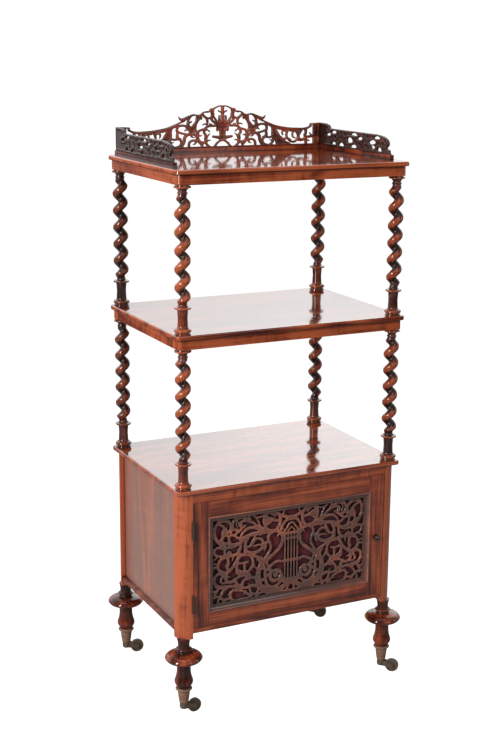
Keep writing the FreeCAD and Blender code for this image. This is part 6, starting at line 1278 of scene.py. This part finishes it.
def emboss(tree, shader, height, strength, distance):
    """Gives a shader fine relief from a height, at a strength and up to a distance in metres."""
    relief = add(tree, "ShaderNodeBump", {
        "Height": height, "Strength": strength, "Distance": distance})
    tree.links.new(relief.outputs[0], shader.inputs["Normal"])


def rosewood(name, grain, seed=0.0, growth=8.0, flame=0.5, veins=0.5, tone=0.0, gloss=(0.14, 0.32),
             polish=1.0, bump=0.25, worn=None, reach=0.007, joint_shade=0.85, fade=0.0, top=None,
             haze=0.06, index=1.5):
    """Polished rosewood with its grain along an axis of the piece.

    The figure: seed picks it, growth is the number of its rings, flame and veins are the strength
    of the cross figure and of the dark veins, tone makes it all lighter or darker, and fade is how
    far light has bleached it.
    The polish: gloss is its least and greatest roughness, polish the weight of its coat, haze the
    The shade: reach, and the strength that follows it, are how far and how strongly an occlusion
    mask darkens the joints and hollows, a painted shade; worn is the painted shade and dirt of the
    hollows and the painted highlight and rub of the crests of a piece that has a crown.
    top is given for a board, whose face has the tone; its edge below that height is paler, a painted
    highlight, with a dark line at its foot, a painted shadow.
    dark line at its foot.
    """
    made = bpy.data.materials.get(name)
    if made:
        return made
    look = bpy.context.scene.etagere_finish
    material, tree, shader = new_material(name)
    where = object_place(tree)
    turned = add(tree, "ShaderNodeMapping", {"Vector": where, "Rotation": GRAIN_TURNS[grain]})
    # On a board, a paler edge is a painted highlight and the dark line at its foot a painted shadow.
    if top is not None:
        height = add(tree, "ShaderNodeSeparateXYZ", {0: where}).outputs["Z"]
        edge = spread(tree, height, top - EDGE_FULL * MM, top - EDGE_START * MM,
                      tone + EDGE_HIGHLIGHT, tone)
        line = spread(tree, height, top - SHADOW_LINE_FULL * MM, top - SHADOW_LINE_START * MM, SHADOW_LINE_DARKER, 0.0)
        tone = maths(tree, "SUBTRACT", edge, line)
    figure = use_group(tree, group_of(rosewood_group, "Rosewood Figure"), {
        "Vector": turned.outputs[0], "Seed": seed, "Light": rgba(look.light),
        "Warm": rgba(look.warm), "Dark": rgba(look.dark), "Growth": growth, "Flame": flame,
        "Veins": veins, "Tone": tone, "Fade": fade, "Smoothest": gloss[0], "Roughest": gloss[1]})
    colour, rough = figure.outputs["Color"], figure.outputs["Roughness"]
    # Crown: painted shade in the hollows and a painted highlight on the crests, along with wear.
    if worn:
        shade_and_wear = use_group(tree, group_of(crown_shade_and_wear_group, "Crown Shade and Wear"), {
            "Color": colour, "Crown": crown_of(tree), "Shade and Dirt": worn[0], "Highlight and Rub": worn[1],
            "Roughness": rough})
        colour, rough = shade_and_wear.outputs["Color"], shade_and_wear.outputs["Roughness"]
    # Occlusion: painted shade in the joints and hollows.
    occlusion_shaded = use_group(tree, group_of(occlusion_shade_group, "Occlusion Shade"), {
        "Color": colour, "Reach": reach, "Strength": joint_shade})
    tree.links.new(occlusion_shaded.outputs["Color"], shader.inputs["Base Color"])
    tree.links.new(rough, shader.inputs["Roughness"])
    emboss(tree, shader, figure.outputs["Height"], bump, 0.08 * MM)
    shader.inputs["Coat Weight"].default_value = polish * look.polish
    shader.inputs["Coat Roughness"].default_value = haze
    shader.inputs["Coat IOR"].default_value = index
    shader.inputs["IOR"].default_value = index
    return material


def brass(name, tarnish, amount, worn=False):
    """Aged brass under an amount of tarnish, which is thinner on the crests of a worn piece."""
    made = bpy.data.materials.get(name)
    if made:
        return made
    look = bpy.context.scene.etagere_finish
    material, tree, shader = new_material(name)
    inputs = {"Vector": object_place(tree), "Clean": rgba(look.brass), "Tarnish": tarnish,
              "Amount": amount}
    if worn:
        inputs["Crown"] = crown_of(tree)
    patina = use_group(tree, group_of(patina_group, "Brass Patina"), inputs)
    tree.links.new(patina.outputs["Color"], shader.inputs["Base Color"])
    tree.links.new(patina.outputs["Roughness"], shader.inputs["Roughness"])
    tree.links.new(patina.outputs["Metallic"], shader.inputs["Metallic"])
    emboss(tree, shader, patina.outputs["Height"], 0.3, 0.2 * MM)
    return material


def velvet():
    """Burgundy cloth: fine weave, uneven nap and a soft sheen, with painted shadow under the fret's
    edges.
    """
    look = bpy.context.scene.etagere_finish
    material, tree, shader = new_material("burgundy_cloth")
    where = object_place(tree)
    nap = stretched_noise(tree, where, (60, 60, 60), 4.0, 0.6)
    threads = []
    for axis, pitch in (("X", 1800.0), ("Z", 1600.0)):
        wave = add(tree, "ShaderNodeTexWave", {
            "Vector": where, "Scale": pitch / 6.28, "Distortion": 0.6, "Detail": 1.0},
            wave_type="BANDS", bands_direction=axis)
        threads.append(wave.outputs["Fac"])
    weave = maths(tree, "MULTIPLY", threads[0], threads[1])
    deep = rgba([value * 0.45 for value in look.cloth])
    colour = blend_colour(tree, spread(tree, nap, 0.3, 0.7), deep, rgba(look.cloth))
    raised = maths(tree, "MULTIPLY", weave, 0.35)
    colour = blend_colour(tree, raised, colour, (0.30, 0.02, 0.04, 1))
    # Painted shadow under the fret's edges, from the occlusion mask.
    shadow = use_group(tree, group_of(occlusion_shade_group, "Occlusion Shade"), {
        "Color": colour, "Dark": (0.006, 0.0015, 0.002, 1), "Reach": 0.013, "Strength": 0.95})
    tree.links.new(shadow.outputs["Color"], shader.inputs["Base Color"])
    tree.links.new(spread(tree, nap, 0.2, 0.8, 0.75, 0.95), shader.inputs["Roughness"])
    shader.inputs["Sheen Weight"].default_value = 0.35
    shader.inputs["Sheen Roughness"].default_value = 0.4
    emboss(tree, shader, weave, 0.4, 0.2 * MM)
    return material


def studio_world(values):
    """White where the camera looks. For light and reflections it is a room that is bright behind
    the etagere and dim in front, fainter on the left than on the right, brightest somewhat above
    the horizon and darker overhead, with soft unevenness."""
    world = bpy.data.worlds.new("studio_world")
    world.use_nodes = True
    tree = world.node_tree
    shader = tree.nodes["Background"]
    way = add(tree, "ShaderNodeTexCoord").outputs["Generated"]
    parts = add(tree, "ShaderNodeSeparateXYZ", {0: way}).outputs
    room = spread(tree, parts["Y"], -0.35, 0.75, values.in_front, values.behind)
    right = spread(tree, parts["X"], 0.22, 0.52, 0.70, 1.06)
    rise = spread(tree, parts["Z"], 0.12, 0.34, 0.75, 1.45)
    high = maths(tree, "MULTIPLY", rise, spread(tree, parts["Z"], 0.45, 0.95, 1.0, 0.3))
    cloud = stretched_noise(tree, way, (1.6, 1.6, 2.6), 1.5, 0.5)
    uneven = spread(tree, cloud, 0.25, 0.75, 0.80, 1.12)
    strength = maths(tree, "MULTIPLY", maths(tree, "MULTIPLY", room, right),
                     maths(tree, "MULTIPLY", high, uneven))
    seen = add(tree, "ShaderNodeLightPath").outputs["Is Camera Ray"]
    strength = add(tree, "ShaderNodeMix", {0: seen, 2: strength, 3: 1.05}).outputs[0]
    shader.inputs["Color"].default_value = (1, 1, 1, 1)
    tree.links.new(strength, shader.inputs["Strength"])
    return world


def pale_paper():
    """Floor that the camera sees as white paper. For light and reflections it is grey near the
    etagere, with a slight grain, and dark further off."""
    material, tree, shader = new_material("pale_paper")
    where = object_place(tree)
    grain = stretched_noise(tree, where, (3, 3, 3), 3.0)
    far = add(tree, "ShaderNodeVectorMath", {0: where}, operation="LENGTH").outputs["Value"]
    colour = blend_colour(tree, grain, (0.30, 0.30, 0.30, 1), (0.34, 0.34, 0.34, 1))
    colour = blend_colour(tree, spread(tree, far, 1.5, 3.2), colour, (0.06, 0.06, 0.06, 1))
    tree.links.new(colour, shader.inputs["Base Color"])
    tree.links.new(spread(tree, grain, 0.2, 0.8, 0.85, 0.95), shader.inputs["Roughness"])
    seen = add(tree, "ShaderNodeLightPath").outputs["Is Camera Ray"]
    shader.inputs["Emission Color"].default_value = (1, 1, 1, 1)
    tree.links.new(maths(tree, "MULTIPLY", seen, 0.95), shader.inputs["Emission Strength"])
    return material


# ---------------------------------------------------------------- operators
class ETAGERE_OT_boards(bpy.types.Operator):
    """Polish the three shelves, the friezes and the cupboard's outside."""
    bl_idname = "etagere.boards"
    bl_label = "Shelves, friezes and cupboard"

    def execute(self, context):
        for node, seed, tone, polish in (("cabinet_top_board", 0.3, 0.02, 1.0),
                                         ("middle_board", 0.9, 0.02, 1.0),
                                         ("top_board", 2.6, 0.14, 0.75)):
            face = rosewood(node + "_rosewood", "X", seed=seed, growth=7.0, flame=0.10, veins=0.25,
                            tone=tone, gloss=(0.06, 0.13), polish=polish, top=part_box(node)[1].z)
            paint(face, node)
        front = rosewood("frieze_rosewood", "X", seed=2.9, growth=6.0, flame=0.40, veins=0.25,
                         tone=0.20, gloss=(0.16, 0.34), polish=0.4, reach=0.014, joint_shade=1.0)
        side = rosewood("side_frieze_rosewood", "Y", seed=2.3, growth=6.0, flame=0.45, veins=0.15,
                        tone=0.14, gloss=(0.16, 0.34), polish=0.5)
        for level in ("middle", "top"):
            paint(front, level + "_frieze_front", level + "_frieze_back")
            paint(side, level + "_frieze_sides")
        paint(front, "cabinet_front_rail")
        # The posts' high tone is a painted highlight, for the light on the front-left post.
        post = rosewood("post_rosewood", "Z", seed=3.7, growth=7.0, flame=0.45, veins=0.60,
                        tone=0.30, gloss=(0.16, 0.34), polish=0.3)
        paint(post, *["post_" + corner for corner in CORNERS])
        panel = rosewood("panel_rosewood", "Z", seed=4.2, growth=3.0, flame=0.25, veins=0.05,
                         tone=0.06, gloss=(0.34, 0.48), polish=1.3, fade=0.5, haze=0.3)
        paint(panel, "side_panel_left", "side_panel_right")
        back = rosewood("back_rosewood", "X", seed=5.9, growth=9.0, flame=0.1, veins=0.2,
                        gloss=(0.45, 0.6), polish=0.1)
        paint(back, "back_panel")
        floor = rosewood("floor_rosewood", "X", seed=6.4, growth=9.0, flame=0.2, veins=0.2,
                         tone=0.02, gloss=(0.3, 0.5), polish=0.4)
        paint(floor, "cabinet_floor_board")
        strip = rosewood("strip_rosewood", "X", seed=7.7, growth=7.0, flame=0.5, veins=0.3,
                         tone=0.10, gloss=(0.16, 0.3))
        paint(strip, "gallery_strip_back")
        strip = rosewood("side_strip_rosewood", "Y", seed=7.9, growth=7.0, flame=0.4, veins=0.4,
                         tone=-0.06, gloss=(0.16, 0.3))
        paint(strip, "gallery_strip_left", "gallery_strip_right")
        return {"FINISHED"}


class ETAGERE_OT_columns(bpy.types.Operator):
    """Turn the eight rope-twist columns."""
    bl_idname = "etagere.columns"
    bl_label = "Rope-twist columns"

    def execute(self, context):
        values = context.scene.etagere_turning
        for level, starts in (("upper", UPPER_TWIST_STARTS), ("lower", LOWER_TWIST_STARTS)):
            for corner, start in starts.items():
                node = f"{level}_column_{corner}"
                low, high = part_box(node)
                grid = column_surface((high.z - low.z) / MM, start, values)
                # Its crown gives painted shade in the twist's groove and a painted highlight on the
                # strand.
                finish = rosewood("turned_rosewood_" + corner, "Z", seed=8.1, growth=7.0,
                                  flame=0.3, veins=0.3, tone=COLUMN_TONES[corner],
                                  gloss=(0.14, 0.26), polish=0.9, bump=0.2,
                                  worn=(0.95, COLUMN_HIGHLIGHT_RUBS[corner]), haze=0.15, index=1.42)
                stand(node, "_turned", grid, turned_crown(grid, *COLUMN_CROWN), "column_wood", finish)
        return {"FINISHED"}


class ETAGERE_OT_feet(bpy.types.Operator):
    """Turn the four feet with their buns."""
    bl_idname = "etagere.feet"
    bl_label = "Turned feet"

    def execute(self, context):
        values = context.scene.etagere_turning
        finish = rosewood("foot_rosewood", "Z", seed=9.4, growth=6.0, flame=0.3, veins=0.3,
                          tone=-0.02, gloss=(0.10, 0.22), polish=0.5, bump=0.15, worn=(0.95, 0.0),
                          index=1.36)
        line = rubbed(foot_outline(), values.arris / MM)
        grid = turned_surface(line, values.facets + FOOT_FACETS)
        crown = turned_crown(grid, *FOOT_CROWN)
        for corner in CORNERS:
            stand("foot_" + corner, "_turned", grid, crown, "foot_wood", finish, FOOT_HEIGHT)
        return {"FINISHED"}


class ETAGERE_OT_castors(bpy.types.Operator):
    """Cast the reeded cups and tarnish the horns and wheels."""
    bl_idname = "etagere.castors"
    bl_label = "Brass castors"

    def execute(self, context):
        values = context.scene.etagere_turning
        finish = brass("cup_brass", (0.25, 0.130, 0.082, 1), 0.80, worn=True)
        line = rubbed(cup_outline(), CUP_ARRIS)
        grid = turned_surface(line, values.facets)
        crown = np.repeat(cup_crown(line), values.facets)
        horn = brass("horn_brass", (0.12, 0.078, 0.050, 1), 0.72)
        tread = brass("wheel_brass", (0.115, 0.080, 0.055, 1), 0.80)
        for corner in CORNERS:
            stand("castor_cup_" + corner, "_reeded", grid, crown, "castor_brass", finish)
            paint(horn, "castor_horn_" + corner)
            paint(tread, "castor_wheel_" + corner)
        return {"FINISHED"}


class ETAGERE_OT_door(bpy.types.Operator):
    """Finish the door's frame, its moulding, its hinges and its knob."""
    bl_idname = "etagere.door"
    bl_label = "Door, hinges and knob"

    def execute(self, context):
        stile = rosewood("stile_rosewood", "Z", seed=11.2, growth=6.0, flame=0.2, veins=0.2,
                         tone=0.03, gloss=(0.18, 0.34), polish=0.45)
        paint(stile, "door_hinge_stile", "door_lock_stile")
        rail = rosewood("rail_rosewood", "X", seed=12.6, growth=6.0, flame=0.2, veins=0.2,
                        tone=0.06, gloss=(0.18, 0.34), polish=0.45)
        paint(rail, "door_top_rail", "door_bottom_rail")
        old_brass = brass("browned_brass", (0.055, 0.028, 0.018, 1), 0.95)
        paint(old_brass, "hinge_post_leaves", "hinge_door_leaves", "hinge_pins", "door_catch")
        knob = rosewood("knob_rosewood", "Z", seed=13.0, growth=5.0, flame=0.1, veins=0.5,
                        tone=-0.35, gloss=(0.1, 0.2))
        paint(knob, "door_knob")
        grid, crown = moulding_run(*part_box("door_moulding"))
        faces = grid_faces(grid.shape[0], grid.shape[1], True).tolist()
        piece = new_piece("door_moulding_run", grid.reshape(-1, 3) * MM, faces, crown.ravel(), 30)
        finish = rosewood("moulding_rosewood", "X", seed=14.5, growth=5.0, flame=0.3, veins=0.3,
                          tone=0.02, gloss=(0.14, 0.28), polish=1.2, bump=0.2, worn=(0.7, 0.0),
                          fade=0.35)
        fit(piece, "door", "door_wood", finish, "door_moulding")
        return {"FINISHED"}


class ETAGERE_OT_fret(bpy.types.Operator):
    """Saw and carve the lyre fret of the door."""
    bl_idname = "etagere.fret"
    bl_label = "Carved lyre fret"

    def execute(self, context):
        values = context.scene.etagere_carving
        low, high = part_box("door_fret")
        frame_low, frame_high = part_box("door_moulding")
        middle = (low.x + high.x) / 2 / MM + DOOR_SHIFT
        half_clear = (frame_high.x - frame_low.x) / MM / 2 - MOULDING_WIDTH
        base = frame_low.z / MM + MOULDING_WIDTH
        rise = ((frame_high.z - frame_low.z) / MM - 2 * MOULDING_WIDTH) / DOOR_HEIGHT
        step = values.spacing / MM

        def scaled(loop):
            """Points of the drawing, stretched to the opening inside the moulding."""
            spots = np.array(loop, float)
            narrower = np.where(spots[:, 0] > 0, half_clear - DOOR_SHIFT, half_clear + DOOR_SHIFT)
            return spots * np.column_stack([narrower / DOOR_HALF_WIDTH, np.full(len(spots), rise)])

        openings = [spline(scaled(loop), True, step) for loop in DOOR_MIDDLE]
        openings += opening_pairs(DOOR_MIRRORED, scaled, step)
        half_slot = (STRING_PITCH - STRING_WIDTH) / 2
        for number in STRING_GAPS:
            left, right = number * STRING_PITCH - half_slot, number * STRING_PITCH + half_slot
            for bottom, top in STRING_SLOTS:
                slot = [(left, bottom), (right, bottom), (right, top), (left, top)]
                openings.append(straight_sides(slot, scaled, step))
        volute = volute_opening()
        openings += [scaled(volute), scaled(flipped(volute))]
        x0, x1 = low.x / MM - middle, high.x / MM - middle
        z0, z1 = low.z / MM - base, high.z / MM - base
        outline = straight_sides([(x0, z0), (x1, z0), (x1, z1), (x0, z1)], np.array, step * 3)
        points, faces, crown = carved_plate(outline, openings, (high.y - low.y) / MM, values, False)
        placed = np.column_stack([
            points[:, 0] + middle, points[:, 2] + low.y / MM, points[:, 1] + base])
        piece = new_piece("door_fret_carved", placed * MM, faces, crown, CARVED_CREASE)
        # worn darkens the sawn walls and hollows of the fret, a painted shade.
        finish = rosewood("fret_rosewood", "X", seed=15.3, growth=5.0, flame=0.5, veins=0.3,
                          tone=-0.03, gloss=(0.18, 0.30), polish=1.25, bump=0.3, worn=(0.95, 0.0),
                          fade=0.26, haze=0.12)
        fit(piece, "door", "fret_wood", finish, "door_fret")
        return {"FINISHED"}


class ETAGERE_OT_cloth(bpy.types.Operator):
    """Stretch the burgundy cloth behind the fret."""
    bl_idname = "etagere.cloth"
    bl_label = "Cloth behind the fret"

    def execute(self, context):
        low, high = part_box("door_cloth")
        grid = cloth_surface(low, high)
        faces = grid_faces(grid.shape[0], grid.shape[1], False).tolist()
        piece = new_piece("door_cloth_stretched", grid.reshape(-1, 3), faces)
        thick = piece.modifiers.new("thickness", "SOLIDIFY")
        thick.thickness = 0.3 * MM
        thick.offset = 0
        fit(piece, "door", "cloth", velvet(), "door_cloth")
        return {"FINISHED"}


class ETAGERE_OT_gallery(bpy.types.Operator):
    """Saw and carve the back gallery and the two side galleries."""
    bl_idname = "etagere.gallery"
    bl_label = "Pierced galleries"

    def execute(self, context):
        values = context.scene.etagere_carving
        step = values.spacing / MM
        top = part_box("top_board")[1].z / MM
        low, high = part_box("gallery_back")
        scale = np.array([(high.x - low.x) / 2 / MM / BACK_HALF_WIDTH, 1.0])

        def scaled(loop):
            """Points of the drawing, stretched to the width of the back gallery."""
            return np.array(loop) * scale

        right = np.concatenate([spline(scaled(run), False, step) for run in BACK_CREST])
        end = BACK_HALF_WIDTH * scale[0]
        edge = spline([(end, BACK_CREST[-1][-1][1]), (end, STRIP_HEIGHT)], False, step)
        bottom = spline([(end, STRIP_HEIGHT), (-end, STRIP_HEIGHT)], False, step)
        left = np.concatenate([right[1:], edge])[::-1] * np.array([-1, 1])
        outline = np.concatenate([right, edge, bottom, [(-end, STRIP_HEIGHT)], left])
        apart = np.linalg.norm(outline - np.roll(outline, 1, axis=0), axis=1)
        outline = outline[apart > SAME_SPOT]
        openings = [spline(scaled(loop), True, step) for loop in BACK_MIDDLE]
        openings += opening_pairs(BACK_MIRRORED, scaled, step)
        points, faces, crown = carved_plate(outline, openings, (high.y - low.y) / MM, values)
        placed = np.column_stack([points[:, 0], points[:, 2] + low.y / MM, points[:, 1] + top])
        piece = new_piece("gallery_back_carved", placed * MM, faces, crown, CARVED_CREASE)
        finish = rosewood("gallery_rosewood", "X", seed=16.8, growth=6.0, flame=0.4, veins=0.4,
                          tone=-0.02, gloss=(0.2, 0.36), polish=0.6, bump=0.25, worn=(0.95, 0.1))
        fit(piece, "carcass", "gallery_wood", finish, "gallery_back")

        finish = rosewood("side_gallery_rosewood", "Y", seed=17.4, growth=6.0, flame=0.3,
                          veins=0.6, tone=-0.30, gloss=(0.24, 0.40), polish=0.5, bump=0.25,
                          worn=(0.95, 0.05))
        outline = np.concatenate([spline(run, False, step) for run in SIDE_OUTLINE])
        openings = [spline(loop, True, step) for loop in SIDE_OPENINGS]
        openings += [circle(spot, SIDE_DOT_RADIUS, step) for spot in SIDE_DOTS]
        for side, name in ((-1, "left"), (1, "right")):
            low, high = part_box("gallery_" + name)
            points, faces, crown = carved_plate(outline, openings, (high.x - low.x) / MM, values)
            inner = (low.x if side > 0 else high.x) / MM
            front = high.y / MM - SIDE_LENGTH
            up = np.maximum(points[:, 1], STRIP_HEIGHT) + top
            placed = np.column_stack([inner + side * points[:, 2], points[:, 0] + front, up])
            piece = new_piece(f"gallery_{name}_carved", placed * MM, faces, crown, CARVED_CREASE)
            fit(piece, "carcass", "gallery_wood", finish, "gallery_" + name)
        return {"FINISHED"}


# The floor's half width, the point that the lamps are turned to, and the camera: its azimuth,
# elevation and roll in degrees, and the middle of its view.
FLOOR_REACH = 14
LAMP_AIM = (0, 0, 0.65)
VIEW_ANGLES = (-26.474, 13.881, 0.502)
VIEW_MIDDLE = (-0.01207, 0, 0.71855)


class ETAGERE_OT_stage(bpy.types.Operator):
    """Set the pale floor, the soft lamps, the white surround and the camera."""
    bl_idname = "etagere.stage"
    bl_label = "Floor, lamps and camera"

    def execute(self, context):
        scene, values = context.scene, context.scene.etagere_stage
        scene.view_settings.view_transform = "Standard"
        scene.world = studio_world(values)
        side = np.linspace(-FLOOR_REACH, FLOOR_REACH, 3)
        x, y = np.meshgrid(side, side)
        grid = np.stack([x, y, np.zeros_like(x)], axis=-1)
        mesh = bpy.data.meshes.new("studio_floor")
        mesh.from_pydata(grid.reshape(-1, 3).tolist(), [], grid_faces(3, 3, False).tolist())
        floor = bpy.data.objects.new("studio_floor", mesh)
        scene.collection.objects.link(floor)
        mesh.materials.append(pale_paper())

        # Each lamp: where it is, how wide and high, and its power.
        for name, place, width, height, power in (
                ("key", (-3.0, -1.3, 1.7), 0.45, 1.7, values.key_power),
                ("fill", (0.6, -3.6, 2.3), 2.6, 1.6, values.fill_power),
                ("side", (3.0, -1.6, 1.5), 0.9, 1.8, values.fill_power * 0.4),
                ("overhead", (-0.3, -0.3, 3.6), 2.4, 2.0, values.fill_power)):
            data = bpy.data.lights.new(name, "AREA")
            data.shape = "RECTANGLE"
            data.size, data.size_y, data.energy = width, height, power
            lamp = bpy.data.objects.new(name, data)
            lamp.location = place
            lamp.rotation_mode = "QUATERNION"
            aim = Vector(LAMP_AIM) - lamp.location
            lamp.rotation_quaternion = aim.to_track_quat("-Z", "Y")
            scene.collection.objects.link(lamp)

        azimuth, elevation, roll = (math.radians(value) for value in VIEW_ANGLES)
        level = math.cos(elevation)
        back = Vector((math.sin(azimuth) * level, -math.cos(azimuth) * level, math.sin(elevation)))
        right = Vector((math.cos(azimuth), math.sin(azimuth), 0))
        up = back.cross(right)
        across = math.cos(roll) * right + math.sin(roll) * up
        upright = -math.sin(roll) * right + math.cos(roll) * up
        data = bpy.data.cameras.new("camera")
        data.lens = values.lens
        data.sensor_width = 36.0
        camera = bpy.data.objects.new("camera", data)
        camera.rotation_mode = "QUATERNION"
        camera.rotation_quaternion = Matrix((across, upright, back)).transposed().to_quaternion()
        camera.location = Vector(VIEW_MIDDLE) + back * values.camera_distance
        scene.collection.objects.link(camera)
        scene.camera = camera
        return {"FINISHED"}


OPERATORS = (
    ETAGERE_OT_stage, ETAGERE_OT_boards, ETAGERE_OT_columns, ETAGERE_OT_feet, ETAGERE_OT_castors,
    ETAGERE_OT_door, ETAGERE_OT_fret, ETAGERE_OT_cloth, ETAGERE_OT_gallery,
)
GROUPS = (
    ("etagere_turning", EtagereTurning), ("etagere_carving", EtagereCarving),
    ("etagere_finish", EtagereFinish), ("etagere_stage", EtagereStage),
)


class ETAGERE_PT_panel(bpy.types.Panel):
    """Sizes, colours and pieces of the etagere."""
    bl_idname = "ETAGERE_PT_panel"
    bl_label = "Etagere"
    bl_space_type = "VIEW_3D"
    bl_region_type = "UI"
    bl_category = "Etagere"

    def draw(self, context):
        for attribute, kind in GROUPS:
            box = self.layout.box()
            box.label(text=kind.__name__.replace("Etagere", ""))
            for key in kind.__annotations__:
                box.prop(getattr(context.scene, attribute), key)
        for operator in OPERATORS:
            self.layout.operator(operator.bl_idname)


def register():
    """Register the classes and hang the values on the scene."""
    for _, kind in GROUPS:
        bpy.utils.register_class(kind)
    for kind in OPERATORS + (ETAGERE_PT_panel,):
        bpy.utils.register_class(kind)
    for attribute, kind in GROUPS:
        setattr(bpy.types.Scene, attribute, bpy.props.PointerProperty(type=kind))


def unregister():
    """Undo register."""
    for attribute, _ in GROUPS:
        delattr(bpy.types.Scene, attribute)
    for kind in (ETAGERE_PT_panel,) + OPERATORS[::-1]:
        bpy.utils.unregister_class(kind)
    for _, kind in GROUPS[::-1]:
        bpy.utils.unregister_class(kind)


def main():
    """Make every piece in order."""
    register()
    for operator in OPERATORS:
        family, name = operator.bl_idname.split(".")
        getattr(getattr(bpy.ops, family), name)()


if __name__ == "__main__":
    main()
